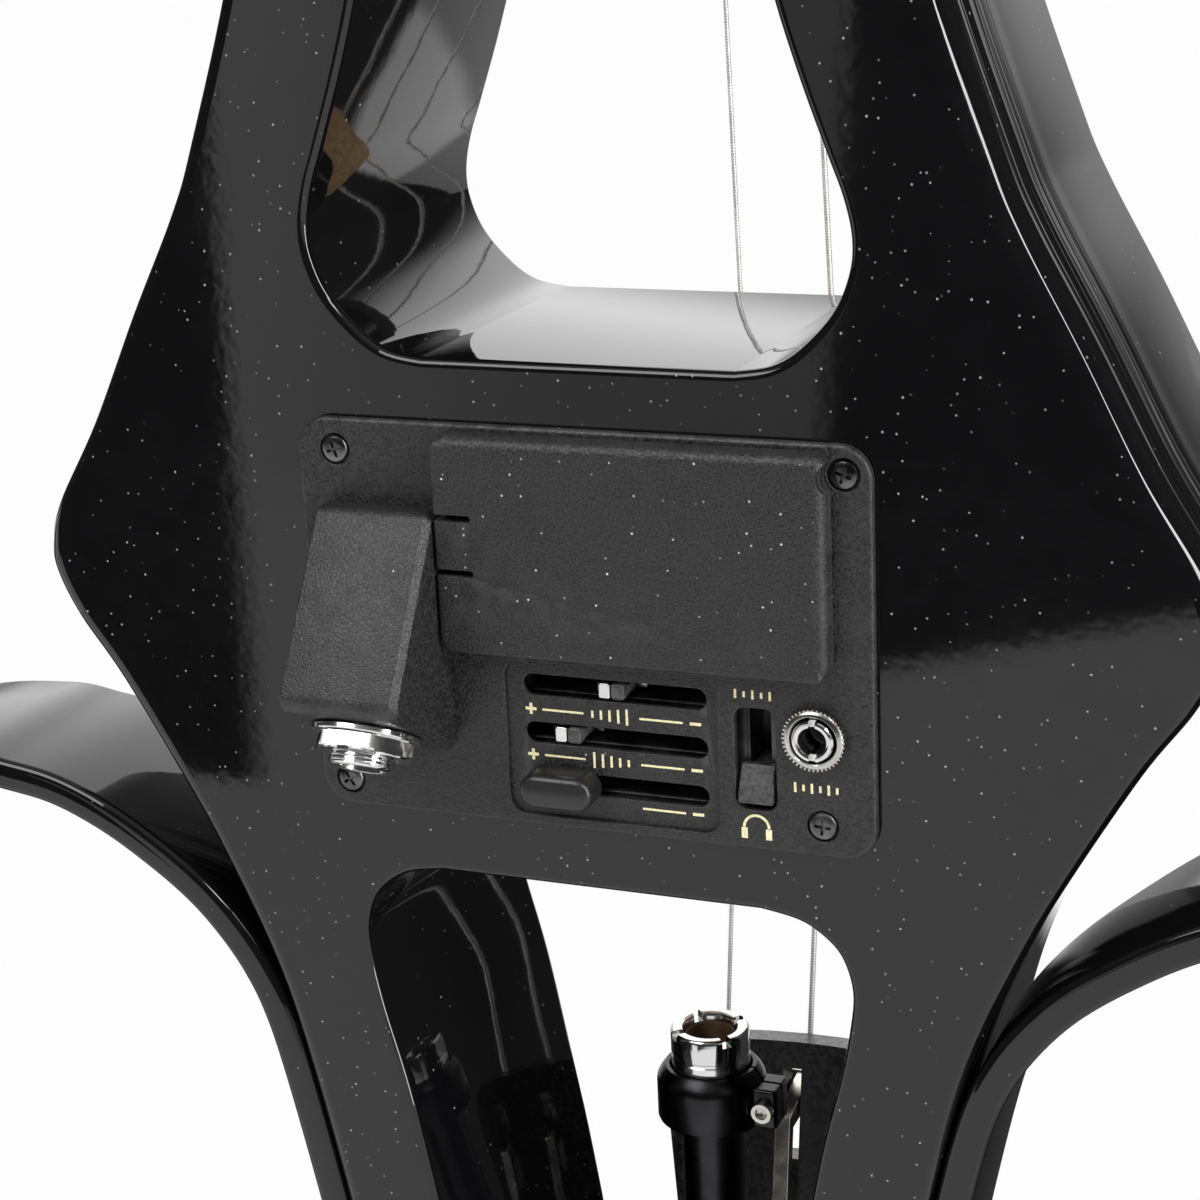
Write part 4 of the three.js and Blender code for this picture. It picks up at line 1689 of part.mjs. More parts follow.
addPiece('preamp_housing', makeHousing(), MOULDED_BLACK);
addPiece('battery_lid', makeLid(), MOULDED_BLACK);
addPiece('battery', makeBattery(), BATTERY_GREY);
addPiece('battery_clip', makeBatteryClip(), MOULDED_BLACK);
addPiece('circuit_board', makeBoard(), BOARD_GREEN);
for (const slider of SLIDERS) {
  const capped = slider.name === 'volume';
  addPiece(`${slider.name}_pot`, makePot(slider), BLACK_METAL);
  addPiece(`${slider.name}_lever`, makeLever(slider, capped ? KNOB_OUT / 2 : LEVER_OUT), MOULDED_BLACK);
  if (capped) {
    addPiece('volume_knob', makeKnob(slider), MOULDED_BLACK);
  }
}
addPiece('selector_switch', makeSwitchBody(), BLACK_METAL);
addPiece('selector_lever', makeSwitchLever(), MOULDED_BLACK);
addPiece('aux_jack', makeAuxJack(), CHROME);
addPiece('aux_jack_ring', makeAuxRing(), NICKEL);
addPiece('output_jack', makeOutputJack(), CHROME);
addPiece('output_jack_nut', makeOutputJackNut(), CHROME);
for (const screw of PANEL_SCREWS) {
  addPiece(`panel_screw_${screw.name}`, makePanelScrew(screw), BLACK_METAL);
}

// Stand it up: right becomes -x, up becomes z and out of the back becomes y

instrument.rotation.set(Math.PI / 2, 0, Math.PI, 'ZYX');
instrument.position.set(0, -ENDPIN_AXIS, -FLOOR_LINE);

export default instrument;
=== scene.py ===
# Electric cello seen from behind, close to the control panel let into its back.
# Sizes are laid out in millimetres: right and up as seen from behind, out of the back face,
# and turned into metres in the row frame by place().

import math

import bmesh
import bpy
from mathutils import Matrix, Vector
from mathutils.geometry import tessellate_polygon


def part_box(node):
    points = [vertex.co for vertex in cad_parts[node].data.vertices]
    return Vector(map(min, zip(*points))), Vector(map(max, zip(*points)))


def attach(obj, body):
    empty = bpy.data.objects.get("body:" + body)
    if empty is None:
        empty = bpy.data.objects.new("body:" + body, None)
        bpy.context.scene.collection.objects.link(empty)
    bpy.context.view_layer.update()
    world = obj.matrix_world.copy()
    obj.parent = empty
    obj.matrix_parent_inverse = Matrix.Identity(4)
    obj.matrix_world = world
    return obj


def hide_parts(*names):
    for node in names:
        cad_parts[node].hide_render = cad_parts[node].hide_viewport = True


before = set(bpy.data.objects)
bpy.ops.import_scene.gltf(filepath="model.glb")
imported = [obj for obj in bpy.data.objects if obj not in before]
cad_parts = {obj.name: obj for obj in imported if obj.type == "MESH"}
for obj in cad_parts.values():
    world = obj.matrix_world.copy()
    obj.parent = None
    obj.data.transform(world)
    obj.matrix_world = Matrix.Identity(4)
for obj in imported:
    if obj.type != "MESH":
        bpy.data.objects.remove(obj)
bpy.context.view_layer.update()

BACK_FACE = 42.0
BRIDGE_LINE = 400.0
MM = 0.001
GAP = 0.3
# Edges between faces that meet at more than this, in degrees, stay crisp
SHARP = 32.0


def place(right, up, out):
    """A point given from the bridge line and the back face, in the row frame."""
    return Vector((-right, BACK_FACE + out, BRIDGE_LINE + up)) * MM


def turn_of(right, up, out):
    """A direction in the row frame."""
    return Vector((-right, out, up)).normalized()


def add_object(name, data):
    made = bpy.data.objects.new(name, data)
    bpy.context.scene.collection.objects.link(made)
    return made


# Camera at the photographer's place: above and to the right of the panel, long lens

def set_camera():
    data = bpy.data.cameras.new("studio_camera")
    data.lens = 79.76
    data.sensor_width = 36.0
    data.clip_start = 0.01
    across = Vector((-0.925335, -0.376659, -0.043402))
    upward = Vector((0.073959, -0.291587, 0.953681))
    backward = Vector((-0.371868, 0.879264, 0.297673))
    turned = Matrix((across, upward, backward)).transposed().to_4x4()
    camera = add_object("studio_camera", data)
    camera.matrix_world = Matrix.Translation((-0.1338, 0.3527, 0.50985)) @ turned
    bpy.context.scene.camera = camera


# Node trees

class Tree:
    """Shorthand for a material, world, shader group or geometry tree."""

    def __init__(self, tree):
        self.tree = tree

    def link(self, source, target):
        self.tree.links.new(source, target)

    def feed(self, socket, value):
        """Links an output to the socket, or sets the socket to a plain value."""
        if hasattr(value, "is_output"):
            self.link(value, socket)
        else:
            socket.default_value = value

    def node(self, kind, **values):
        """A new node; small first letters name its properties, capital ones its inputs."""
        made = self.tree.nodes.new(kind)
        for name, value in values.items():
            if name[0].islower():
                setattr(made, name, value)
            else:
                self.feed(made.inputs[name.replace("_", " ")], value)
        return made

    def math(self, operation, first, *others, clamp=False):
        """The operation on the first value and the others, one after another."""
        for value in others:
            made = self.node("ShaderNodeMath", operation=operation, use_clamp=clamp)
            self.feed(made.inputs[0], first)
            self.feed(made.inputs[1], value)
            first = made.outputs[0]
        return first

    def noise(self, vector, scale, detail=2.0, rough=0.5):
        return self.node("ShaderNodeTexNoise", Vector=vector, Scale=scale, Detail=detail,
                         Roughness=rough).outputs["Fac"]

    def ramp(self, value, low, high, start=0.0, end=1.0, smooth=True):
        return self.node("ShaderNodeMapRange", interpolation_type="SMOOTHSTEP" if smooth else "LINEAR", Value=value,
                         From_Min=low, From_Max=high, To_Min=start, To_Max=end).outputs["Result"]

    def mix(self, factor, first, second):
        made = self.node("ShaderNodeMix", data_type="RGBA")
        for number, value in ((0, factor), (6, first), (7, second)):
            self.feed(made.inputs[number], (*value, 1.0) if isinstance(value, tuple) else value)
        return made.outputs[2]

    def stretched(self, vector, scale):
        return self.node("ShaderNodeMapping", Vector=vector, Scale=scale).outputs["Vector"]

    def split(self, vector):
        return self.node("ShaderNodeSeparateXYZ", Vector=vector).outputs


def new_group(name, kind, inputs, outputs):
    """A node group with named inputs, each given by its default or its kind of socket, and named outputs."""
    group = bpy.data.node_groups.new(name, kind)
    for label, given in inputs.items():
        if isinstance(given, str):
            group.interface.new_socket(name=label, in_out="INPUT", socket_type=given)
            continue
        number = "NodeSocketInt" if isinstance(given, int) else "NodeSocketFloat"
        group.interface.new_socket(name=label, in_out="INPUT", socket_type=number).default_value = given
    for label, given in outputs.items():
        group.interface.new_socket(name=label, in_out="OUTPUT", socket_type=given)
    tree = Tree(group)
    return group, tree, tree.node("NodeGroupInput").outputs, tree.node("NodeGroupOutput").inputs


def effect_group(name, outputs, **inputs):
    """A shader group that makes named values from a vector and named numbers."""
    return new_group(name, "ShaderNodeTree", {"Vector": "NodeSocketVector", **inputs},
                     dict.fromkeys(outputs, "NodeSocketFloat"))


SPECK_EDGE = 40.0


def build_dust():
    """Fine specks of dust: a mask of small dots of uneven size and strength."""
    group, tree, inputs, outputs = effect_group("dust_specks", ("Mask",), Spacing=220.0, Size=0.12, Share=0.25)
    cells = tree.node("ShaderNodeTexVoronoi", feature="F1", Vector=inputs["Vector"], Scale=inputs["Spacing"])
    chance = tree.node("ShaderNodeSeparateColor", Color=cells.outputs["Color"]).outputs
    kept = tree.math("LESS_THAN", chance[0], inputs["Share"])
    wide = tree.math("MULTIPLY", inputs["Size"], tree.math("POWER", chance[1], 2.0))
    reach = tree.math("SUBTRACT", wide, cells.outputs["Distance"])
    dot = tree.math("MULTIPLY", reach, SPECK_EDGE, clamp=True)
    tree.link(tree.math("MULTIPLY", dot, kept, chance[2]), outputs["Mask"])
    return group


def build_grain():
    """Spark-eroded grain of a moulded part: a height for the bump and a mottle for the colour."""
    group, tree, inputs, outputs = effect_group("moulded_grain", ("Height", "Mottle"), Fineness=2600.0,
                                                Unevenness=0.5)
    noise = tree.noise(inputs["Vector"], inputs["Fineness"], 3.0)
    cells = tree.node("ShaderNodeTexVoronoi", feature="SMOOTH_F1", Vector=inputs["Vector"],
                      Scale=inputs["Fineness"])
    uneven = tree.math("MULTIPLY", cells.outputs["Distance"], inputs["Unevenness"])
    tree.link(tree.math("ADD", noise, uneven), outputs["Height"])
    broad = tree.noise(inputs["Vector"], 60.0, 3.0)
    fine = tree.ramp(noise, 0.35, 0.65)
    tree.link(tree.math("ADD", tree.math("MULTIPLY", fine, 0.7), tree.math("MULTIPLY", broad, 0.3)),
              outputs["Mottle"])
    return group


def build_wear_and_highlight():
    """Rubbed edges and a painted edge highlight: a mask that is strong on convex edges and broken up by noise."""
    group, tree, inputs, outputs = effect_group("rubbed_edges", ("Mask",), Reach=0.08, Breaks=300.0)
    edge = tree.math("SUBTRACT", tree.node("ShaderNodeNewGeometry").outputs["Pointiness"], 0.5)
    strong = tree.math("DIVIDE", edge, inputs["Reach"], clamp=True)
    broken = tree.ramp(tree.noise(inputs["Vector"], inputs["Breaks"]), 0.35, 0.6)
    tree.link(tree.math("MULTIPLY", strong, broken), outputs["Mask"])
    return group


def build_ripple():
    """The slight waviness of thick polished lacquer, as a height, and its haze."""
    group, tree, inputs, outputs = effect_group("lacquer_ripple", ("Height", "Haze"), Waves=14.0, Peel=0.2)
    wide = tree.noise(inputs["Vector"], inputs["Waves"], 1.0)
    small = tree.math("MULTIPLY", tree.noise(inputs["Vector"], 500.0, 1.0), inputs["Peel"])
    tree.link(tree.math("ADD", wide, small), outputs["Height"])
    tree.link(tree.noise(inputs["Vector"], 25.0, 4.0, 0.6), outputs["Haze"])
    return group


def build_rim():
    """Height, in metres, of sides rubbed down towards the back face, in streaks along the rim."""
    group, tree, inputs, outputs = effect_group("rubbed_rim", ("Height",), Start=0.018, Fall=3.6, Streak=0.0011)
    at = tree.split(inputs["Vector"])
    depth = tree.math("MAXIMUM", tree.math("SUBTRACT", at["Y"], inputs["Start"]), 0.0)
    fall = tree.math("MULTIPLY", depth, depth, inputs["Fall"])
    # The streaks run up the side: fine in depth, long in height
    squeezed = tree.node("ShaderNodeCombineXYZ", Y=tree.math("MULTIPLY", at["Y"], 9.0),
                         Z=tree.math("MULTIPLY", at["Z"], 0.35))
    streaks = tree.noise(squeezed.outputs[0], 26.0)
    share = tree.ramp(at["Y"], 0.016, 0.034)
    uneven = tree.math("MULTIPLY", streaks, share, inputs["Streak"])
    # Only the outer sides: their faces look away from the middle
    facing = tree.split(tree.node("ShaderNodeNewGeometry").outputs["True Normal"])
    outer = tree.math("GREATER_THAN", tree.math("MULTIPLY", facing["X"], at["X"]), 0.022)
    tree.link(tree.math("MULTIPLY", tree.math("SUBTRACT", uneven, fall), outer), outputs["Height"])
    return group


def build_wood():
    """Straight wood figure along the length: streaks and short pores."""
    group, tree, inputs, outputs = effect_group("wood_figure", ("Figure", "Pore Mask"), Streaks=260.0, Pores=900.0)
    streaks = tree.noise(tree.stretched(inputs["Vector"], (1.0, 1.0, 0.06)), inputs["Streaks"], 4.0)
    tree.link(streaks, outputs["Figure"])
    pores = tree.noise(tree.stretched(inputs["Vector"], (1.0, 1.0, 0.12)), inputs["Pores"])
    tree.link(tree.ramp(pores, 0.62, 0.72), outputs["Pore Mask"])
    return group


def build_turned():
    """Fine tool marks of turned or drawn metal, as a height, and the smears on it."""
    group, tree, inputs, outputs = effect_group("tool_marks", ("Height", "Smear"), Fineness=3000.0)
    lines = tree.noise(tree.stretched(inputs["Vector"], (0.15, 0.15, 1.0)), inputs["Fineness"])
    tree.link(lines, outputs["Height"])
    tree.link(tree.noise(inputs["Vector"], 180.0, 3.0), outputs["Smear"])
    return group


GROUPS = {
    "rim": build_rim(),
    "dust": build_dust(),
    "grain": build_grain(),
    "wear_and_highlight": build_wear_and_highlight(),
    "ripple": build_ripple(),
    "wood": build_wood(),
    "marks": build_turned(),
}


class Finish(Tree):
    """A material on a Principled shader, with its pattern on Object coordinates."""

    def __init__(self, name, **sockets):
        self.material = bpy.data.materials.new(name)
        self.material.use_nodes = True
        super().__init__(self.material.node_tree)
        self.shader = self.tree.nodes["Principled BSDF"]
        for label, value in sockets.items():
            self.shader.inputs[label].default_value = value
        self.where = self.node("ShaderNodeTexCoord").outputs["Object"]

    def effect(self, key, **values):
        return self.node("ShaderNodeGroup", node_tree=GROUPS[key], Vector=self.where, **values).outputs

    def colour(self, source):
        self.link(source, self.shader.inputs["Base Color"])

    def rough(self, source):
        self.link(source, self.shader.inputs["Roughness"])

    def bump(self, height, strength, distance):
        made = self.node("ShaderNodeBump", Strength=strength, Distance=distance, Height=height)
        self.link(made.outputs["Normal"], self.shader.inputs["Normal"])


def grey(value):
    return value, value, value


def lacquer(name, dust_share, dust_spacing, waves, rubbed=False):
    """Deep black polished lacquer with dust on it, its convex edges lightened by rubbing and by a painted highlight.
    """
    finish = Finish(name, Roughness=0.03, IOR=1.5)
    ripple = finish.effect("ripple", Waves=waves, Peel=0.1)
    dust = finish.effect("dust", Spacing=dust_spacing, Size=0.145, Share=dust_share)["Mask"]
    wear_and_highlight = finish.effect("wear_and_highlight", Reach=0.2)["Mask"]
    base = finish.mix(ripple["Haze"], (0.002, 0.002, 0.0024), (0.004, 0.004, 0.0045))
    # Convex edges lightened: partly rubbed lacquer, partly a painted edge highlight
    worn_and_highlit = finish.mix(finish.math("MULTIPLY", wear_and_highlight, 0.25), base, (0.03, 0.03, 0.032))
    finish.colour(finish.mix(dust, worn_and_highlit, grey(0.3)))
    haze = finish.ramp(ripple["Haze"], 0.3, 0.75, 0.025, 0.05)
    finish.rough(finish.math("ADD", haze, finish.math("MULTIPLY", dust, 0.5)))
    if not rubbed:
        finish.bump(ripple["Height"], 0.08, 0.0004)
        return finish.material
    rim = finish.effect("rim")["Height"]
    waves_height = finish.math("MULTIPLY", ripple["Height"], 0.00004)
    finish.bump(finish.math("ADD", waves_height, rim), 1.0, 1.0)
    return finish.material


def plastic(name, dark, light, low, high, fineness, depth, dust_share=0.5, rub=0.5):
    """Moulded plastic with a fine grain, dusty, and rubbed and lit by a painted highlight at its edges."""
    finish = Finish(name, IOR=1.5)
    grain = finish.effect("grain", Fineness=fineness)
    dust = finish.effect("dust", Spacing=700.0, Size=0.15, Share=dust_share)["Mask"]
    wear_and_highlight = finish.effect("wear_and_highlight", Reach=0.12)["Mask"]
    base = finish.mix(grain["Mottle"], dark, light)
    # Colour of convex edges, lighter than the plastic: partly rubbed bare plastic, partly a painted edge highlight
    edge_rub_and_highlight = tuple(2.2 * value + 0.01 for value in light)
    worn_and_highlit = finish.mix(finish.math("MULTIPLY", wear_and_highlight, rub), base, edge_rub_and_highlight)
    finish.colour(finish.mix(dust, worn_and_highlit, grey(0.5)))
    finish.rough(finish.ramp(grain["Mottle"], 0.2, 0.8, low, high))
    finish.bump(grain["Height"], 0.55, depth)
    return finish.material


def metal(name, dark, light, low, high, fineness=3000.0, marks=0.15):
    """Plated or bare metal with faint tool marks and smears."""
    finish = Finish(name, Metallic=1.0)
    lines = finish.effect("marks", Fineness=fineness)
    finish.colour(finish.mix(finish.ramp(lines["Smear"], 0.35, 0.65), dark, light))
    finish.rough(finish.ramp(lines["Smear"], 0.3, 0.7, low, high))
    finish.bump(lines["Height"], marks, 0.00004)
    return finish.material


def wood(name, dark, light, pore, low, high, streaks):
    """Close-grained wood, its figure along the length of the instrument."""
    finish = Finish(name, IOR=1.5)
    figure = finish.effect("wood", Streaks=streaks)
    wear_and_highlight = finish.effect("wear_and_highlight", Reach=0.15)["Mask"]
    base = finish.mix(finish.ramp(figure["Figure"], 0.35, 0.65), dark, light)
    # Convex edges lightened: partly rubbed wood, partly a painted edge highlight
    worn_and_highlit = finish.mix(finish.math("MULTIPLY", wear_and_highlight, 0.4), base, tuple(1.6 * value for value in light))
    finish.colour(finish.mix(figure["Pore Mask"], worn_and_highlit, pore))
    finish.rough(finish.ramp(figure["Figure"], 0.3, 0.7, low, high))
    finish.bump(figure["Figure"], 0.12, 0.0001)
    return finish.material


def rubber(name, dark, light, rough):
    """Dull rubber or nylon, dusty, with a soft grain."""
    finish = Finish(name, IOR=1.45)
    grain = finish.effect("grain", Fineness=900.0, Unevenness=0.2)
    dust = finish.effect("dust", Spacing=300.0, Size=0.12, Share=0.2)["Mask"]
    finish.colour(finish.mix(dust, finish.mix(grain["Mottle"], dark, light), grey(0.25)))
    finish.rough(finish.ramp(grain["Mottle"], 0.2, 0.8, rough - 0.08, rough + 0.08))
    finish.bump(grain["Height"], 0.3, 0.00006)
    return finish.material


WINDING_PITCH = 0.0005


def wound_metal(name, dark, light, rough):
    """Flat wire wound on a string: fine rings across its run, read from the run attribute."""
    finish = Finish(name, Metallic=0.7)
    run = finish.node("ShaderNodeAttribute", attribute_name="run").outputs["Fac"]
    phase = finish.math("MULTIPLY", run, 2 * math.pi / WINDING_PITCH)
    rings = finish.node("ShaderNodeMath", operation="SINE", Value=phase).outputs[0]
    lines = finish.effect("marks", Fineness=1500.0)
    shade = finish.math("ADD", finish.math("MULTIPLY", rings, 0.25), lines["Smear"])
    finish.colour(finish.mix(finish.ramp(shade, 0.2, 0.8), dark, light))
    finish.rough(finish.ramp(lines["Smear"], 0.3, 0.7, rough - 0.06, rough + 0.06))
    finish.bump(rings, 0.5, 0.00003)
    return finish.material


def screen_print(name, dark, light):
    """Screen print, slightly broken at the grain of what it lies on."""
    finish = Finish(name, IOR=1.5)
    grain = finish.effect("grain", Fineness=2400.0)
    finish.colour(finish.mix(grain["Mottle"], dark, light))
    finish.rough(finish.ramp(grain["Mottle"], 0.2, 0.8, 0.4, 0.6))
    finish.bump(grain["Height"], 0.3, 0.00005)
    return finish.material


# Each with its maker, its darkest and lightest colour and its lowest and highest roughness
MATERIALS = {name: maker(name, *values) for maker, name, *values in (
    (wood, "ebony", (0.006, 0.0045, 0.004), (0.022, 0.016, 0.012), grey(0.002), 0.28, 0.42, 320.0),
    (wood, "bridge_maple", (0.42, 0.24, 0.1), (0.6, 0.39, 0.19), (0.22, 0.1, 0.035), 0.4, 0.55, 420.0),
    (wood, "cork", (0.09, 0.05, 0.028), (0.17, 0.1, 0.055), (0.04, 0.02, 0.01), 0.6, 0.8, 900.0),
    (plastic, "pickup_plastic", (0.008, 0.008, 0.009), (0.018, 0.018, 0.02), 0.35, 0.5, 1800.0, 0.00004),
    (plastic, "tailpiece_plastic", (0.006, 0.006, 0.007), (0.014, 0.014, 0.016), 0.22, 0.36, 900.0, 0.00003),
    (plastic, "preamp_plastic", (0.004, 0.004, 0.0045), (0.026, 0.026, 0.027), 0.34, 0.58, 3000.0, 0.00018),
    (plastic, "knob_plastic", (0.012, 0.012, 0.0125), (0.014, 0.014, 0.0145), 0.3, 0.36, 1300.0, 0.00002, 0.0, 0.0),
    (plastic, "lever_plastic", grey(0.012), grey(0.06), 0.35, 0.5, 1700.0, 0.0001),
    (plastic, "battery_jacket", (0.026, 0.028, 0.032), (0.034, 0.037, 0.043), 0.26, 0.32, 1900.0, 0.00001),
    (plastic, "board", (0.01, 0.06, 0.025), (0.02, 0.09, 0.04), 0.3, 0.45, 500.0, 0.00002),
    (rubber, "lead_rubber", grey(0.006), grey(0.016), 0.5),
    (rubber, "gut_nylon", (0.006, 0.006, 0.007), (0.02, 0.02, 0.022), 0.36),
    (rubber, "tip_rubber", grey(0.008), grey(0.022), 0.75),
    (metal, "nickel", (0.5, 0.48, 0.45), (0.66, 0.64, 0.6), 0.18, 0.32),
    (metal, "chrome", grey(0.66), (0.78, 0.77, 0.76), 0.08, 0.2, 2400.0, 0.1),
    (metal, "black_metal", (0.028, 0.028, 0.03), (0.042, 0.042, 0.045), 0.26, 0.34),
    (metal, "black_screw", (0.07, 0.07, 0.072), (0.2, 0.2, 0.205), 0.2, 0.4),
    (metal, "pot_metal", grey(0.05), grey(0.14), 0.35, 0.5),
    (wound_metal, "string_steel", grey(0.62), grey(0.9), 0.5),
    (screen_print, "cream_print", (0.6, 0.54, 0.3), (0.86, 0.8, 0.5)),
    (lacquer, "wing_lacquer", 0.35, 480.0, 11.0),
    (lacquer, "neck_lacquer", 0.25, 480.0, 14.0),
    (lacquer, "body_lacquer", 0.9, 640.0, 9.0, True),
)}


# Meshes

class Shell:
    """Builds a closed mesh from rings of points; flat faces stay flat and walls are smooth."""

    def __init__(self):
        self.bm = bmesh.new()

    def ring(self, points):
        return [self.bm.verts.new(point) for point in points]

    def face(self, corners, smooth):
        self.bm.faces.new(corners).smooth = smooth

    def bridge(self, first, second, smooth=True):
        for i in range(len(first)):
            j = (i + 1) % len(first)
            self.face((first[i], first[j], second[j], second[i]), smooth)

    def rings(self, rows, smooth=True):
        made = [self.ring(row) for row in rows]
        for first, second in zip(made, made[1:]):
            self.bridge(first, second, smooth)
        return made

    def fill(self, outer, *holes):
        """Flat faces inside outer and outside the holes."""
        loops = [outer, *holes]
        flat = [vert for loop in loops for vert in loop]
        for corners in tessellate_polygon([[vert.co for vert in loop] for loop in loops]):
            self.face([flat[i] for i in corners], False)

    def cap(self, ring):
        """One flat face over a ring."""
        self.face(ring, False)

    def solid(self, rows, capped=False, smooth=True):
        """Rings with both ends closed, by one face each or filled with small ones."""
        made = self.rings(rows, smooth)
        close = self.cap if capped else self.fill
        close(made[0])
        close(made[-1])
        return self

    def finish(self, name, material, sharp=SHARP, merge=0.0):
        if merge:
            bmesh.ops.remove_doubles(self.bm, verts=self.bm.verts, dist=merge)
        bmesh.ops.recalc_face_normals(self.bm, faces=self.bm.faces)
        limit = math.radians(sharp)
        for edge in self.bm.edges:
            if len(edge.link_faces) == 2 and edge.calc_face_angle(0.0) > limit:
                edge.smooth = False
        return as_piece(to_mesh(self.bm, name), name, material)


def to_mesh(bm, name):
    """A new mesh from a bmesh, which ends there."""
    mesh = bpy.data.meshes.new(name)
    bm.to_mesh(mesh)
    bm.free()
    return mesh


def mark_sharp(bm, limit):
    """Only the edges between two faces that meet at less than the limit shade smooth."""
    for edge in bm.edges:
        edge.smooth = len(edge.link_faces) == 2 and edge.calc_face_angle(0.0) <= math.radians(limit)


def discard(piece):
    """Takes a helper piece and its mesh out of the scene."""
    mesh = piece.data
    bpy.data.objects.remove(piece)
    bpy.data.meshes.remove(mesh)


def as_piece(mesh, name, material):
    if not mesh.materials:
        mesh.materials.append(MATERIALS[material])
    return add_object(name, mesh)


def settle(piece):
    """Turns a piece's modifiers into its plain mesh."""
    bpy.context.view_layer.update()
    shape = piece.evaluated_get(bpy.context.evaluated_depsgraph_get())
    mesh = bpy.data.meshes.new_from_object(shape)
    old = piece.data
    piece.modifiers.clear()
    piece.data = mesh
    bpy.data.meshes.remove(old)
    mesh.name = piece.name
    return piece


def crisp(piece):
    """Sharpens the edges that a cut leaves, so that only rounded walls shade smooth."""
    bm = bmesh.new()
    bm.from_mesh(piece.data)
    bmesh.ops.dissolve_degenerate(bm, dist=0.002 * MM, edges=bm.edges)
    mark_sharp(bm, SHARP)
    bm.to_mesh(piece.data)
    bm.free()


def carve(piece, *cutters, operation="DIFFERENCE"):
    """Cuts other closed pieces out of a piece, or fuses them with it."""
    for cutter in cutters:
        made = piece.modifiers.new("cut", "BOOLEAN")
        made.operation = operation
        made.solver = "EXACT"
        made.object = cutter
    crisp(settle(piece))
    for cutter in cutters:
        discard(cutter)
    return piece


def joined(name, *parts):
    """One piece from several meshes that are already in place."""
    bm = bmesh.new()
    materials = []
    for part in parts:
        before = len(bm.faces)
        bm.from_mesh(part.data)
        bm.faces.ensure_lookup_table()
        slots = []
        for material in part.data.materials:
            if material not in materials:
                materials.append(material)
            slots.append(materials.index(material))
        for face in bm.faces[before:]:
            face.material_index = slots[face.material_index] if slots else 0
    mesh = to_mesh(bm, name)
    for material in materials:
        mesh.materials.append(material)
    for part in parts:
        discard(part)
    return add_object(name, mesh)


def outfit(piece, slot, *nodes, body="instrument"):
    """The piece stands for its nodes and rides on their body; the slot is not used."""
    if nodes:
        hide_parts(*nodes)
    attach(piece, body)


def hermite(p1, p2, v1, v2, steps):
    """Points on a cubic that leaves p1 with speed v1 and reaches p2 with speed v2, without p2 itself."""
    made = []
    for step in range(steps):
        t = step / steps
        made.append((2 * p1 - 2 * p2 + v1 + v2) * t ** 3 + (-3 * p1 + 3 * p2 - 2 * v1 - v2) * t ** 2 + v1 * t + p1)
    return made


def spline(points, steps):
    """Points on a uniform Catmull-Rom curve through the given ones."""
    rows = [Vector(point) for point in points]
    last = len(rows) - 1
    made = []
    for i in range(last):
        p0, p1 = rows[max(i - 1, 0)], rows[i]
        p2, p3 = rows[i + 1], rows[min(i + 2, last)]
        made += hermite(p1, p2, (p2 - p0) / 2, (p3 - p1) / 2, steps)
    return made + [rows[last]]


def read_off(curve, at, key=0):
    """The other coordinate of a flat curve, where its key coordinate is at."""
    for low, high in zip(curve, curve[1:]):
        if low[key] <= at <= high[key]:
            return low[1 - key] + (high[1 - key] - low[1 - key]) * (at - low[key]) / (high[key] - low[key])
    return curve[-1][1 - key]


def pushed(loop, amount):
    """A flat loop moved to its right by the amount, with mitred corners."""
    count = len(loop)
    made = []
    for i, point in enumerate(loop):
        first = (point - loop[i - 1]).normalized()
        second = (loop[(i + 1) % count] - point).normalized()
        n1 = Vector((first.y, -first.x))
        n2 = Vector((second.y, -second.x))
        made.append(point + (n1 + n2) * (amount / max(1.0 + n1.dot(n2), 0.35)))
    return made


def rounded(left, right, bottom, top, corner, steps=8):
    """A rectangle with round corners, anticlockwise."""
    made = []
    corner = max(corner, 0.01)
    for x, y, start in ((right - corner, bottom + corner, -90), (right - corner, top - corner, 0),
                        (left + corner, top - corner, 90), (left + corner, bottom + corner, 180)):
        for i in range(steps + 1):
            turn = math.radians(start + 90 * i / steps)
            made.append(Vector((x + corner * math.cos(turn), y + corner * math.sin(turn))))
    return made


def circle(right, up, radius, steps=32):
    return [Vector((right + radius * math.cos(2 * math.pi * i / steps),
                    up + radius * math.sin(2 * math.pi * i / steps))) for i in range(steps)]


def quarter(radius, steps):
    """Inset and depth over a rounded edge, from the flat face to the wall."""
    made = []
    for i in range(steps + 1):
        turn = math.radians(90 * i / steps)
        made.append((radius * (1 - math.sin(turn)), radius * (1 - math.cos(turn))))
    return made


def two_rims(edge, steps, near, far):
    """Inset and level from a rounded edge at near to one at far."""
    rim = quarter(edge, steps)
    return [(inset, near + depth) for inset, depth in rim] + [(inset, far - depth) for inset, depth in reversed(rim)]


def lofted(name, material, loop, profile, sharp=SHARP):
    """A closed plan piece: loop(inset) drawn at each level of the profile."""
    rows = [[place(p.x, p.y, out) for p in loop(inset)] for inset, out in profile]
    return Shell().solid(rows).finish(name, material, sharp)


def way_at(points, i):
    """The direction of a row of points at one of them."""
    return (points[min(i + 1, len(points) - 1)] - points[max(i - 1, 0)]).normalized()


def wheel(reach, level, matrix, steps):
    """Points round an axis, each as far out as reach(turn) says."""
    made = []
    for i in range(steps):
        turn = 2 * math.pi * i / steps
        away = reach(turn)
        made.append(matrix @ Vector((away * math.cos(turn), away * math.sin(turn), level)))
    return made


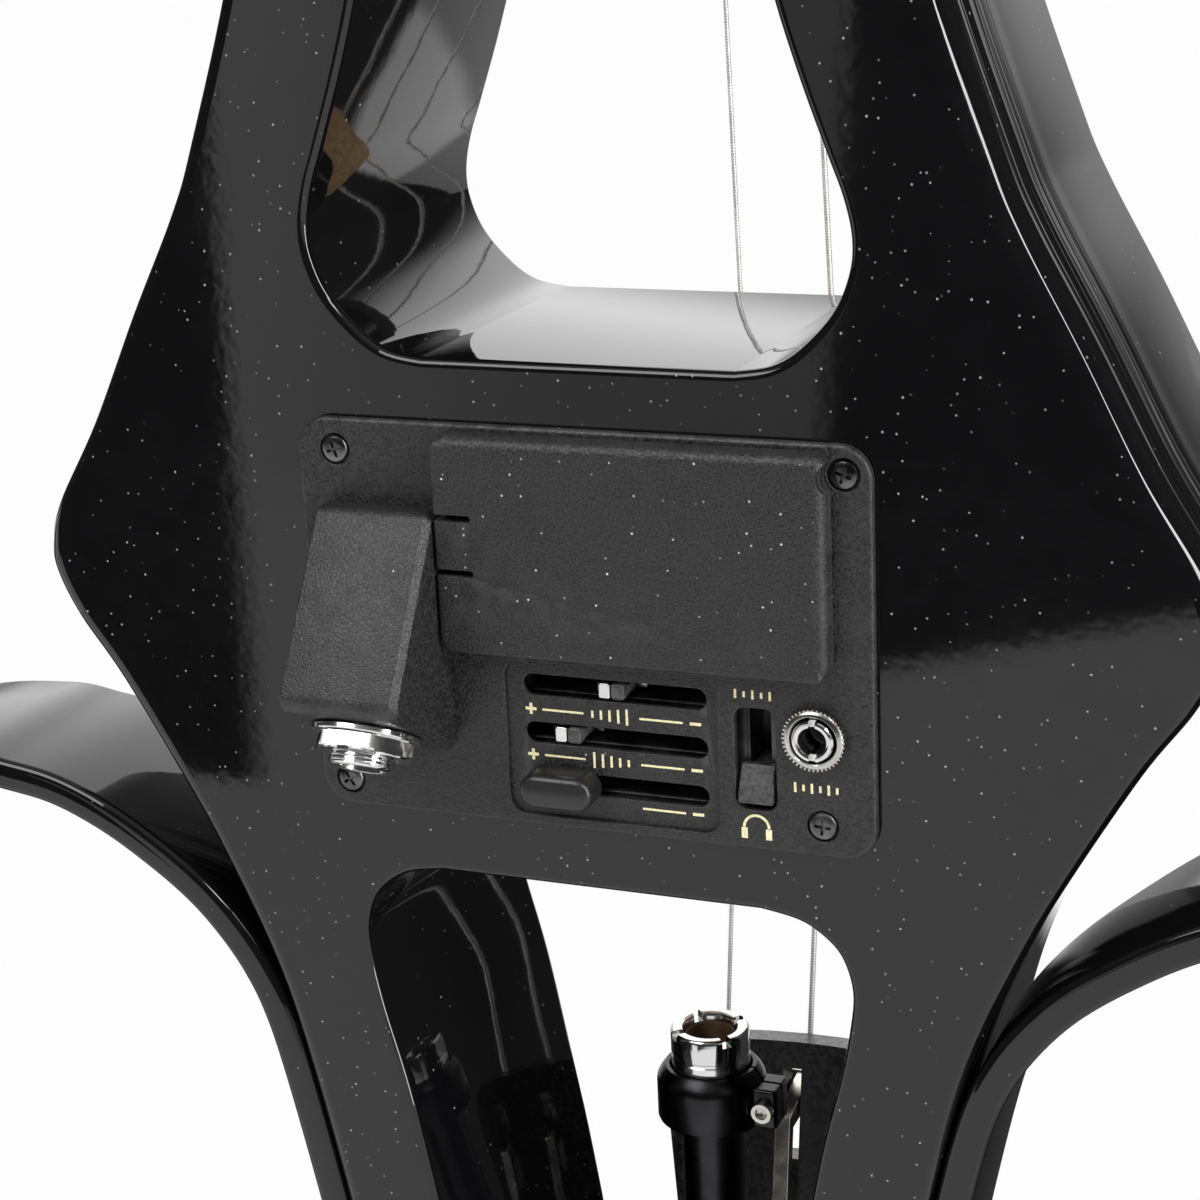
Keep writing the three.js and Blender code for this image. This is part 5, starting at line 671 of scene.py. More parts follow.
def lathe(name, material, profile, sides, matrix):
    """A turned piece about its own z axis, closed on the axis or on itself, in millimetres."""
    shell = Shell()
    made = []
    for radius, level in profile:
        points = wheel(lambda turn: radius, level, matrix, sides) if radius else [matrix @ Vector((0, 0, level))]
        made.append(shell.ring(points))
    for first, second in zip(made, made[1:]):
        if len(first) == len(second):
            if len(first) > 1:
                shell.bridge(first, second)
            continue
        (tip,), ring = sorted((first, second), key=len)
        for i in range(sides):
            shell.face((tip, ring[i], ring[(i + 1) % sides]), True)
    return shell.finish(name, material, merge=1e-7)


def tube(name, material, points, radii, sides):
    """A round tube along points in metres, closed at its ends, with its run as an attribute."""
    shell = Shell()
    layer = shell.bm.verts.layers.float.new("run")
    across = None
    rings = []
    travelled = 0.0
    for i, point in enumerate(points):
        along = way_at(points, i)
        if across is None:
            across = along.orthogonal().normalized()
        across = (across - along * across.dot(along)).normalized()
        up = along.cross(across)
        if i:
            travelled += (point - points[i - 1]).length
        turns = (2 * math.pi * side / sides for side in range(sides))
        ring = shell.ring(point + (across * math.cos(turn) + up * math.sin(turn)) * radii[i] for turn in turns)
        for vert in ring:
            vert[layer] = travelled
        rings.append(ring)
    for first, second in zip(rings, rings[1:]):
        shell.bridge(first, second)
    shell.cap(rings[0])
    shell.cap(rings[-1])
    return shell.finish(name, material, 50.0)


def block(name, material, left, right, bottom, top, near, far, corner=0.1, edge=0.1, steps=3):
    """A small rounded block in layout millimetres."""
    def loop(inset):
        return rounded(left + inset, right - inset, bottom + inset, top - inset, corner + edge - inset, 4)

    return lofted(name, material, loop, two_rims(edge, steps, near, far))


# Geometry Nodes for what repeats

def geometry_tree(name, **inputs):
    """A group that grows geometry, which becomes one real mesh with one material."""
    geometry = "NodeSocketGeometry"
    group, tree, entry, leave = new_group(
        name, "GeometryNodeTree", {"Geometry": geometry, **inputs, "Material": "NodeSocketMaterial"},
        {"Geometry": geometry})
    solid = tree.node("GeometryNodeRealizeInstances")
    painted = tree.node("GeometryNodeSetMaterial", Geometry=solid.outputs[0], Material=entry["Material"])
    tree.link(painted.outputs[0], leave["Geometry"])
    return group, tree, entry, solid.inputs[0]


def lifted(tree, source, level):
    """What a node puts out, raised along z."""
    lift = tree.node("ShaderNodeCombineXYZ", Z=level).outputs[0]
    return tree.node("GeometryNodeTransform", Geometry=source.outputs[0], Translation=lift).outputs[0]


def build_ribs_round():
    """Small ribs standing round a circle, such as knurling or milling on a rim."""
    group, tree, inputs, target = geometry_tree("ribs_round", Count=40, Radius=4.0, Depth=0.4, Width=0.3,
                                                Height=1.0, Level=0.0)
    ring = tree.node("GeometryNodeMeshCircle", Vertices=inputs["Count"], Radius=inputs["Radius"])
    size = tree.node("ShaderNodeCombineXYZ", X=inputs["Depth"], Y=inputs["Width"], Z=inputs["Height"])
    rib = tree.node("GeometryNodeMeshCube", Size=size.outputs[0])
    spot = tree.node("GeometryNodeInputPosition")
    facing = tree.node("FunctionNodeAlignRotationToVector", axis="X", Vector=spot.outputs[0])
    placed = tree.node("GeometryNodeInstanceOnPoints", Points=ring.outputs[0], Instance=rib.outputs[0],
                       Rotation=facing.outputs[0])
    tree.link(lifted(tree, placed, inputs["Level"]), target)
    return group


def build_screw_thread():
    """The crest of a screw thread, as a ridge that climbs round a cylinder."""
    group, tree, inputs, target = geometry_tree("screw_thread", Turns=4.0, Radius=4.6, Rise=2.0, Crest=0.2,
                                                Level=0.0)
    helix = tree.node("GeometryNodeCurveSpiral", Resolution=40, Rotations=inputs["Turns"],
                      Start_Radius=inputs["Radius"], End_Radius=inputs["Radius"], Height=inputs["Rise"])
    section = tree.node("GeometryNodeCurvePrimitiveCircle", Resolution=5, Radius=inputs["Crest"])
    ridge = tree.node("GeometryNodeCurveToMesh", Fill_Caps=True, Curve=helix.outputs[0],
                      Profile_Curve=section.outputs[0])
    tree.link(lifted(tree, ridge, inputs["Level"]), target)
    return group


def build_fasteners():
    """One fastener set on each point, turned by the point's own turn attribute."""
    group, tree, inputs, target = geometry_tree("fasteners", Fastener="NodeSocketObject")
    shape = tree.node("GeometryNodeObjectInfo", Object=inputs["Fastener"])
    turn = tree.node("GeometryNodeInputNamedAttribute", data_type="FLOAT_VECTOR", Name="turn")
    placed = tree.node("GeometryNodeInstanceOnPoints", Points=inputs["Geometry"],
                       Instance=shape.outputs["Geometry"], Rotation=turn.outputs["Attribute"])
    tree.link(placed.outputs[0], target)
    return group


def grown(name, tree, material, points=(), turns=(), **values):
    """A plain mesh piece grown by a tree from its named inputs."""
    mesh = bpy.data.meshes.new(name)
    mesh.from_pydata([tuple(point) for point in points], [], [])
    if turns:
        layer = mesh.attributes.new("turn", "FLOAT_VECTOR", "POINT")
        for i, turn in enumerate(turns):
            layer.data[i].vector = turn
    piece = add_object(name, mesh)
    modifier = piece.modifiers.new("grown", "NODES")
    modifier.node_group = tree
    values["Material"] = MATERIALS[material]
    for item in tree.interface.items_tree:
        if item.item_type == "SOCKET" and item.in_out == "INPUT" and item.name in values:
            modifier[item.identifier] = values[item.name]
    return settle(piece)


RIBS_ROUND = build_ribs_round()
SCREW_THREAD = build_screw_thread()
FASTENERS = build_fasteners()


def stand(origin, axis, across=None):
    """From a piece's own millimetres, its z along the axis, to the row frame."""
    z = axis.normalized()
    x = across if across is not None else z.orthogonal()
    x = (x - z * x.dot(z)).normalized()
    turned = Matrix((x, z.cross(x), z)).transposed().to_4x4()
    return Matrix.Translation(origin) @ turned @ Matrix.Scale(MM, 4)


OUTWARD = stand(Vector((0, BACK_FACE, BRIDGE_LINE)) * MM, Vector((0, 1, 0)), Vector((-1, 0, 0)))


def moved(piece, matrix):
    piece.data.transform(matrix)
    if matrix.determinant() < 0:
        piece.data.flip_normals()
    return piece


# Body

BODY_HALF_WIDTH, BODY_RISE, BODY_DROP, BODY_THICKNESS = 84.0, 400.0, 355.0, 52.0
BODY_EDGE = 2.5
OPENING_EDGE = 1.2
RISE_SHARES = (
    (0.998, 0.0055), (1.0, 0.017), (0.977, 0.032), (0.891, 0.062), (0.795, 0.1015), (0.705, 0.1365),
    (0.6575, 0.16), (0.559, 0.22), (0.47, 0.295), (0.398, 0.38), (0.339, 0.5), (0.315, 0.675),
    (0.309, 0.85), (0.309, 1.0),
)
DROP_SHARES = (
    (0.96, 0.013), (0.883, 0.039), (0.766, 0.0865), (0.703, 0.116), (0.634, 0.154), (0.584, 0.194),
    (0.517, 0.268), (0.458, 0.352), (0.428, 0.465), (0.44, 0.592), (0.499, 0.732), (0.559, 0.859),
    (0.565, 0.944), (0.535, 0.981), (0.45, 1.0),
)
UPPER_OPENING = (39.3, 36.4, 127.0, (
    (0.56, 0.0), (0.685, 0.007), (0.785, 0.026), (0.893, 0.062), (0.948, 0.1), (0.96, 0.135), (0.934, 0.175),
    (0.88, 0.22), (0.787, 0.3), (0.7, 0.39), (0.565, 0.565), (0.45, 0.735), (0.36, 0.88), (0.24, 0.97), (0.1, 1.0),
))
LOWER_OPENING = (37.0, -37.6, -257.0, (
    (0.64, 0.0), (0.785, 0.004), (0.88, 0.012), (0.945, 0.023), (0.98, 0.041), (0.97, 0.061), (0.93, 0.091),
    (0.845, 0.14), (0.757, 0.208), (0.675, 0.275), (0.6, 0.36), (0.55, 0.5), (0.555, 0.67),
    (0.58, 0.83), (0.54, 0.94), (0.38, 0.99), (0.16, 1.0),
))
POCKETS = ((-21.0, 33.9, -2.6, 26.9), (-33.5, 38.4, -21.4, 2.0), (-36.6, -16.0, -21.4, 17.5),
           (-15.0, 30.4, -26.6, -17.0))
POCKET_DEPTH = 29.0
PLATE_HALF_WIDTH, PLATE_HALF_HEIGHT = 40.6, 28.05
PANEL_SCREWS = {
    name: (across * PLATE_HALF_WIDTH, rise * PLATE_HALF_HEIGHT) for name, across, rise in (
        ("upper_left", -0.862, 0.845), ("upper_right", 0.909, 0.863),
        ("lower_left", -0.894, -0.863), ("lower_right", 0.82, -0.845),
    )
}
ENDPIN_LEVEL = -42.0
HOLDER_RADIUS, HOLDER_TOP = 7.5, -291.6
LEAD_RIGHT, LEAD_RADIUS, LEAD_BORE = -8.0, 1.5, 2.1
SCREW_BORE = 1.2
FLANK = spline([(wide * BODY_HALF_WIDTH, -down * BODY_DROP) for wide, down in reversed(DROP_SHARES)]
               + [(wide * BODY_HALF_WIDTH, up * BODY_RISE) for wide, up in RISE_SHARES], 8)


def flank_at(height):
    return read_off(FLANK, height, 1)


def flank_lean(height):
    return math.atan((flank_at(height + BODY_EDGE) - flank_at(height - BODY_EDGE)) / (2 * BODY_EDGE))


def opening_loop(half_width, start, length, shares):
    half = spline([(wide * half_width, start + along * length) for wide, along in shares], 5)
    loop = half + [Vector((-p.x, p.y)) for p in reversed(half)]
    return loop if length > 0 else loop[::-1]


def round_cutter(radius, low, high, matrix, sides=24):
    return lathe("cutter", "pot_metal", ((0, low), (radius, low), (radius, high), (0, high)), sides, matrix)


def make_body():
    outline = FLANK + [Vector((-p.x, p.y)) for p in reversed(FLANK)]
    shell = Shell()
    loops = []
    for loop, side in ((outline, -1), (opening_loop(*UPPER_OPENING), 1), (opening_loop(*LOWER_OPENING), 1)):
        levels = two_rims(BODY_EDGE if side < 0 else OPENING_EDGE, 6, -BODY_THICKNESS, 0.0)
        loops.append(shell.rings([[place(p.x, p.y, out) for p in pushed(loop, side * inset)]
                                  for inset, out in levels]))
    shell.fill(*(rows[0] for rows in loops))
    shell.fill(*(rows[-1] for rows in loops))
    body = shell.finish("body_slab", "body_lacquer")
    cutters = [block("cutter", "pot_metal", *pocket, -POCKET_DEPTH, 3.0, 2.4, 0.05, 1) for pocket in POCKETS]
    cutters.append(round_cutter(LEAD_BORE, -BODY_THICKNESS - 3, 3 - POCKET_DEPTH,
                                OUTWARD @ Matrix.Translation((LEAD_RIGHT, 0, 0))))
    for right, up in PANEL_SCREWS.values():
        cutters.append(round_cutter(SCREW_BORE, -9.3, 3, OUTWARD @ Matrix.Translation((right, up, 0))))
    pin = stand(place(0, 0, ENDPIN_LEVEL), Vector((0, 0, 1)))
    cutters.append(round_cutter(HOLDER_RADIUS + GAP, -BODY_DROP - 3, HOLDER_TOP, pin, 48))
    outfit(carve(body, *cutters), "body_lacquer", "body")


# Wings: bent strips, narrower at their roots

WING_REACH, WING_THICKNESS, WING_WIDTH, WING_ROOT_WIDTH = 205.0, 5.0, 34.0, 22.5
WING_START = 0.62 * BODY_HALF_WIDTH
SIDES = {1: "right", -1: "left"}
WING_LIMIT = 207.49
WING_EDGE = 1.3
WING_SHARES = (
    (0.008, 0.1816), (0.028, 0.1623), (0.055, 0.1454), (0.088, 0.1304), (0.132, 0.1161), (0.183, 0.1028),
    (0.238, 0.093), (0.293, 0.0887), (0.356, 0.0862), (0.477, 0.0944), (0.64, 0.1296), (0.784, 0.1915),
    (0.902, 0.2761), (0.974, 0.3803), (1.0, 0.493), (0.987, 0.6056), (0.928, 0.7183), (0.823, 0.8169),
    (0.673, 0.8958), (0.477, 0.9521), (0.281, 0.9803), (0.117, 0.9915), (0.035, 0.9887), (0.0, 0.971),
)


def beside_flank(height):
    lean = flank_lean(height)
    offset = GAP + WING_THICKNESS / 2
    return (flank_at(height) + offset * math.cos(lean), height - offset * math.sin(lean))


def make_wing(side):
    root = [beside_flank(-74 - 56 * (1 - i / 3)) for i in range(4)]
    foot = [beside_flank(-292 - 40 * (1 - i / 3)) for i in range(4)]
    free = [(WING_START + out * (WING_REACH - WING_START), -down * BODY_DROP) for out, down in WING_SHARES]
    path = spline(root + free + foot, 7)
    section = []
    edge = WING_EDGE
    for x, y, start in ((1, 0, -90), (1, 1, 0), (0, 1, 90), (0, 0, 180)):
        for i in range(6):
            turn = math.radians(start + 90 * i / 5)
            section.append(((WING_THICKNESS / 2 - edge) * (2 * x - 1) + edge * math.cos(turn), y,
                            edge * math.sin(turn)))
    rows = []
    for i, point in enumerate(path):
        along = way_at(path, i)
        normal = Vector((-along.y, along.x))
        rise = min(max((point.x - 60.0) / 30.0, 0.0), 1.0)
        width = WING_ROOT_WIDTH + (WING_WIDTH - WING_ROOT_WIDTH) * rise * rise * (3 - 2 * rise)
        row = []
        for across, far, lift in section:
            level = -1.0 - edge + lift if far else -1.0 - width + edge + lift
            spot = point + normal * across
            row.append(place(side * min(spot.x, WING_LIMIT), spot.y, level))
        rows.append(row)
    wing = Shell().solid(rows, capped=True).finish(f"wing_hoop_{SIDES[side]}", "wing_lacquer")
    outfit(wing, "wing_lacquer", f"wing_{SIDES[side]}")


def make_wing_screws():
    """Button-head socket screws through the roots and feet of the wings."""
    head = lathe("screw_shape", "black_screw", (
        (0, -12), (1.9, -12), (1.9, 5.6), (4.0, 5.6), (4.0, 6.3), (3.75, 7.1), (3.2, 7.75), (2.4, 8.15),
        (1.75, 8.2), (1.6, 8.1), (1.55, 6.8), (0, 6.5),
    ), 40, Matrix.Scale(MM, 4))
    spots, turns, nodes = [], [], []
    for side in (-1, 1):
        for label, drop in (("upper", 108.0), ("lower", 312.0)):
            lean = flank_lean(-drop)
            spots.append(place(side * flank_at(-drop), -drop, -12.0))
            outward = turn_of(side * math.cos(lean), -math.sin(lean), 0.0)
            turns.append(outward.to_track_quat("Z", "Y").to_euler())
            nodes.append(f"wing_screw_{SIDES[side]}_{label}")
    screws = grown("wing_screws", FASTENERS, "black_screw", spots, turns, Fastener=head)
    discard(head)
    outfit(screws, "black_screw", *nodes)


# Strings, tailgut and pickup lead, on the same ways as their solids

NUT_LINE, BOARD_LENGTH = 690.0, 580.0
HEAD_TILT = 0.21
TAIL_LENGTH, TAIL_SLOPE = 225.0, 40.0
HEAD = Matrix.Translation((0, NUT_LINE, -50.0)) @ Matrix.Rotation(HEAD_TILT, 4, "X")
TAIL = Matrix.Translation((0, -113.0, -110.0)) @ Matrix.Rotation(-math.asin(TAIL_SLOPE / TAIL_LENGTH), 4, "X")
TAIL_SPACING, BRIDGE_SPACING, NUT_SPACING = 14.6, 15.8, 7.4
# Radius, place across, place of the peg along and into the pegbox, side of its grip, place of the winding
STRINGS = {
    "a": (0.4, -1.5, 50.0, 16.0, -1, 0.28), "d": (0.5, -0.5, 105.0, 13.0, -1, 0.12),
    "g": (0.65, 0.5, 82.0, 13.0, 1, 0.12), "c": (0.85, 1.5, 27.0, 16.0, 1, 0.28),
}
BALL_RADIUS = 2.0
WINDINGS, WINDING_STEPS = 3, 32
BOX_LENGTH, BOX_HALF_WIDTH, BOX_TAPER, BOX_WALL = 158.0, 21.0, 6.5, 6.0
BOX_DEPTH, BOX_DEPTH_TAPER, BOX_FLOOR = 34.0, 6.0, 7.0
PEG_RADIUS = 4.6


def box_share(along):
    return min(max(along / BOX_LENGTH, 0.0), 1.0)


def wall_at(along):
    return BOX_HALF_WIDTH - box_share(along) * BOX_TAPER


def peg_radius(along, side, across):
    half = wall_at(along)
    return PEG_RADIUS + (side * across + half) / (2 * half)


def string_points(name):
    radius, lane, along, depth, side, shift = STRINGS[name]
    tail_right = lane * TAIL_SPACING
    level = tail_right ** 2 / 100.0 - 4.2
    ball_from = 12.6 + 0.9
    points, radii = [], []
    for i in range(9):
        share = i / 8
        points.append(TAIL @ Vector((tail_right, -(ball_from + 2 * BALL_RADIUS * (1 - share)), level)))
        radii.append(max(BALL_RADIUS * math.sqrt(max(1 - (2 * share - 1) ** 4, 0.0)), radius))
    points.append(TAIL @ Vector((tail_right, -4.4, level)))
    bridge_right, nut_right = lane * BRIDGE_SPACING, lane * NUT_SPACING
    points.append(Vector((bridge_right, 0, -138.5 + bridge_right ** 2 / 120.0)))
    nut = Vector((nut_right, 692.5, -(52.4 + 0.9 - nut_right ** 2 / 120.0)))
    points.append(nut)
    start_lane = side * shift * BOX_HALF_WIDTH
    pitch = 2 * radius + 0.55
    wound = peg_radius(along, side, start_lane + side * WINDINGS * pitch) + 0.3 + radius
    seen = HEAD.inverted() @ nut
    reach = math.hypot(seen.y - along, seen.z - depth)
    start = -math.atan2(along - seen.y, depth - seen.z) + math.acos(wound / reach)
    for step in range(WINDINGS * WINDING_STEPS + 1):
        turns = step / WINDING_STEPS
        turn = start + 2 * math.pi * turns
        points.append(HEAD @ Vector((start_lane + side * pitch * turns, along + wound * math.sin(turn),
                                     depth - wound * math.cos(turn))))
    radii += [radius] * (len(points) - len(radii))
    return [place(*point) for point in points], [value * MM for value in radii]


def make_strings():
    for name in STRINGS:
        points, radii = string_points(name)
        piece = tube(f"wound_string_{name}", "string_steel", points, radii, 14)
        outfit(piece, "string_steel", f"string_{name}")


def centripetal(points, steps):
    """Points on a centripetal Catmull-Rom curve, straight on at its ends."""
    rows = [Vector(point) for point in points]
    rows = [2 * rows[0] - rows[1], *rows, 2 * rows[-1] - rows[-2]]
    made = []
    for p0, p1, p2, p3 in zip(rows, rows[1:], rows[2:], rows[3:]):
        d0, d1, d2 = (max((b - a).length ** 0.5, 1e-4) for a, b in ((p0, p1), (p1, p2), (p2, p3)))
        v1 = ((p1 - p0) / d0 - (p2 - p0) / (d0 + d1) + (p2 - p1) / d1) * d1
        v2 = ((p2 - p1) / d1 - (p3 - p1) / (d1 + d2) + (p3 - p2) / d2) * d1
        made += hermite(p1, p2, v1, v2, steps)
    return made + [rows[-2]]


GUT_RADIUS, SADDLE_RISE = 1.3, 6.0


def make_tailgut():
    lift = -BODY_THICKNESS - GAP - SADDLE_RISE - GAP - GUT_RADIUS
    loop = -BODY_DROP - GAP - 2.3
    neck = HOLDER_RADIUS + GUT_RADIUS + GAP
    half = [TAIL @ Vector((6.0, -213.0, level)) for level in (-GUT_RADIUS, 3.0, 8.6)]
    half += [Vector(point) for point in (
        (6.0, -BODY_DROP + 18, lift), (6.0, -BODY_DROP + 4.5, lift), (6.3, -BODY_DROP - GAP, lift + 0.3),
        (7.3, loop, lift + 2.6), (neck - 1.3, loop, ENDPIN_LEVEL - neck + 1.3), (neck, loop, ENDPIN_LEVEL),
        (neck * math.sqrt(0.5), loop, ENDPIN_LEVEL + neck * math.sqrt(0.5)),
    )]
    other = [Vector((-p.x, p.y, p.z)) for p in reversed(half)]
    route = centripetal([*half, Vector((0, loop, ENDPIN_LEVEL + neck)), *other], 8)
    points = [place(*point) for point in route]
    piece = tube("tailgut_loop", "gut_nylon", points, [GUT_RADIUS * MM] * len(points), 14)
    outfit(piece, "gut_nylon", "tailgut")


def make_lead():
    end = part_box("circuit_board")[0].y / MM - BACK_FACE - GAP
    depth = POCKET_DEPTH + end
    route = [(LEAD_RIGHT, 0.0, -BODY_THICKNESS), (LEAD_RIGHT, 0.0, (-BODY_THICKNESS - POCKET_DEPTH) / 2)]
    for climb, back in ((0, 0.95), (0.2, 0.72), (0.6, 0.48), (0.9, 0.28), (1, 0.12), (1, 0)):
        route.append((LEAD_RIGHT, -10.0 * climb, end - back * depth))
    points = [place(*point) for point in centripetal(route, 6)]
    piece = tube("pickup_cable", "lead_rubber", points, [LEAD_RADIUS * MM] * len(points), 12)
    outfit(piece, "lead_rubber", "pickup_lead")


# Preamp housing: plate, tray, battery bay and the hood of the output jack, as one moulding

PLATE_OUT, PLATE_BACK, PLATE_CORNER, PLATE_EDGE = 1.5, 0.3, 4.5, 0.5
PANEL = (-11.6, 18.9, -26.5, -4.4)
PANEL_SINK, PANEL_CORNER = 0.6, 2.4
SLOT_CENTRE, SLOT_HALF_LENGTH, SLOT_HALF_HEIGHT = 4.1, 13.2, 1.5
SLIDERS = {"treble": (-7.8, 4.3), "bass": (-14.7, -2.3), "volume": (-21.6, -3.3)}
SWITCH = (21.3, 27.0, -22.4, -8.1)
AUX = (32.7, -11.2)
BAY = (-18.6, 32.5, -1.1, 25.7)
BAY_FLOOR, BAY_WALL = -15.9, 1.3
TRAY_DEPTH, TRAY_WALL, TRAY_CLEARANCE = 28.0, 1.6, 0.4
WEDGE_LEFT, WEDGE_RIGHT = -36.7, -19.5
WEDGE_LINE = ((16.3, -0.6), (16.3, 5.0), (-7.5, 20.0), (-18.4, 1.5), (-19.6, -0.6))
WEDGE_ROUNDS = (0.0, 1.6, 2.3, 0.0, 0.0)
WEDGE_WALL = 1.8
SCREW_SINK, SCREW_RECESS = 0.7, 2.2
AUX_BORE, JACK_BORE = 3.2, 5.0


def well(loop, floor, top, edge):
    """A cutter with a plan loop(inset), flared by a small round where it comes out at the top."""
    profile = [(0.0, floor)]
    for i in range(5):
        turn = math.radians(90 * i / 4)
        profile.append((-edge * (1 - math.cos(turn)), top - edge * (1 - math.sin(turn))))
    profile.append((-edge - 0.02, top + 3.0))
    return lofted("cutter", "preamp_plastic", loop, profile)


def prism(loop, low, high):
    """A cutter with straight walls."""
    return lofted("cutter", "preamp_plastic", loop, ((0.0, low), (0.0, high)))


def plan(left, right, bottom, top, corner, steps=8):
    return lambda inset: rounded(left + inset, right - inset, bottom + inset, top - inset,
                                 max(corner - inset, 0.02), steps)


def disc(right, up, radius, steps=40):
    return lambda inset: circle(right, up, radius - inset, steps)


def corners_rounded(points, radii, steps=6):
    """A polygon with each corner rounded by its own radius."""
    made = []
    count = len(points)
    for i, (corner, radius) in enumerate(zip(points, radii)):
        here = Vector(corner)
        if radius <= 0:
            made.append(here)
            continue
        before = (Vector(points[i - 1]) - here).normalized()
        after = (Vector(points[(i + 1) % count]) - here).normalized()
        half = before.angle(after) / 2
        centre = here + (before + after).normalized() * (radius / math.sin(half))
        start = here + before * (radius / math.tan(half)) - centre
        end = here + after * (radius / math.tan(half)) - centre
        sweep = start.angle_signed(end)
        for step in range(steps + 1):
            turn = -sweep * step / steps
            made.append(centre + Vector((start.x * math.cos(turn) - start.y * math.sin(turn),
                                         start.x * math.sin(turn) + start.y * math.cos(turn))))
    return made


def extruded(name, material, loop, stations, sharp=SHARP):
    """A piece drawn in heights and levels, closed across from station to station, each with its inset."""
    area = sum(a.x * b.y - b.x * a.y for a, b in zip(loop, loop[1:] + loop[:1]))
    inward = 1.0 if area < 0 else -1.0
    rows = [[place(across, p.x, p.y) for p in pushed(loop, inward * inset)] for across, inset in stations]
    return Shell().solid(rows, capped=True).finish(name, material, sharp)


def make_wedge():
    bevel, soft = 1.0, 0.1
    stations = [(WEDGE_LEFT + depth, inset) for inset, depth in quarter(0.45, 4)]
    stations += [(WEDGE_RIGHT - bevel - soft, 0.0), (WEDGE_RIGHT - bevel, soft / 3),
                 (WEDGE_RIGHT - bevel + soft, soft), (WEDGE_RIGHT - soft, bevel - soft),
                 (WEDGE_RIGHT - soft / 3, bevel), (WEDGE_RIGHT, bevel + soft)]
    return extruded("wedge", "preamp_plastic", corners_rounded(WEDGE_LINE, WEDGE_ROUNDS), stations, 60.0)


def make_wedge_hollow():
    (top, _), (_, level), (nose, out), (foot, low), _ = WEDGE_LINE
    wall = WEDGE_WALL
    loop = [Vector(point) for point in (
        (top - wall, -1.0), (top - wall, level - 0.35 * wall), (nose + 0.15 * wall, out - 1.55 * wall),
        (foot + 2.0 * wall, low), (foot + 2.0 * wall, -1.0))]
    return extruded("cutter", "preamp_plastic", loop, [(WEDGE_LEFT + wall, 0.0), (WEDGE_RIGHT - wall, 0.0)])


def jack_matrix():
    (nose, out), (foot, low) = WEDGE_LINE[2], WEDGE_LINE[3]
    axis = turn_of(0.0, low - out, nose - foot)
    middle = place((WEDGE_LEFT + WEDGE_RIGHT) / 2, (nose + foot) / 2, (out + low) / 2)
    return stand(middle, axis, Vector((-1, 0, 0)))


JACK = jack_matrix()


def make_tray():
    def blocks(inset, deep, top):
        return [prism(plan(left + inset, right - inset, bottom + inset, upper - inset, 2.0, 4), deep, top)
                for left, right, bottom, upper in POCKETS]
    outer, *others = blocks(TRAY_CLEARANCE, -TRAY_DEPTH, 0.9)
    carve(outer, *others, operation="UNION")
    inner, *rest = blocks(TRAY_CLEARANCE + TRAY_WALL, -TRAY_DEPTH - 3, PLATE_BACK)
    carve(inner, *rest, operation="UNION")
    left, right, bottom, top = BAY
    wall = BAY_WALL
    carve(inner, prism(plan(left - wall, right + wall, bottom - wall, top + wall, 0.4, 2),
                       BAY_FLOOR - wall, PLATE_OUT))
    return carve(outer, inner)


def make_housing():
    rim = quarter(PLATE_EDGE, 5)
    profile = [(0.0, PLATE_BACK)] + [(inset, PLATE_OUT - depth) for inset, depth in reversed(rim)]
    plate = lofted("preamp_moulding", "preamp_plastic",
                   plan(-PLATE_HALF_WIDTH, PLATE_HALF_WIDTH, -PLATE_HALF_HEIGHT, PLATE_HALF_HEIGHT,
                        PLATE_CORNER, 10), profile)
    carve(plate, make_tray(), make_wedge(), operation="UNION")
    sunk = PLATE_OUT - PANEL_SINK
    cutters = [make_wedge_hollow(), well(plan(*BAY, 0.6, 3), BAY_FLOOR, PLATE_OUT, 0.15),
               well(plan(*PANEL, PANEL_CORNER), sunk, PLATE_OUT, 0.14)]
    for height, _ in SLIDERS.values():
        slot = plan(SLOT_CENTRE - SLOT_HALF_LENGTH, SLOT_CENTRE + SLOT_HALF_LENGTH,
                    height - SLOT_HALF_HEIGHT, height + SLOT_HALF_HEIGHT, SLOT_HALF_HEIGHT - 0.02, 9)
        cutters.append(well(slot, -PLATE_BACK, sunk, 0.16))
    cutters.append(well(plan(*SWITCH, 1.6), -PLATE_BACK, PLATE_OUT, 0.2))
    cutters.append(well(disc(*AUX, AUX_BORE), -PLATE_BACK, PLATE_OUT, 0.1))
    for right, up in PANEL_SCREWS.values():
        cutters.append(well(disc(right, up, SCREW_BORE, 20), -PLATE_BACK, PLATE_OUT, 0.05))
        cutters.append(well(disc(right, up, SCREW_RECESS), PLATE_OUT - SCREW_SINK, PLATE_OUT, 0.16))
    cutters.append(round_cutter(JACK_BORE, -2 * WEDGE_WALL, 3.0, JACK, 40))
    carve(plate, *cutters)
    outfit(plate, "preamp_plastic", "preamp_housing")


# Lid of the battery bay: soft on its right and top, crisp on its left and bottom

LID = (-19.1, 35.3, -2.8, 27.2)
LID_OUT, LID_SEAT, LID_SHELL, LID_CORNER = 5.0, 1.8, 1.4, 2.0


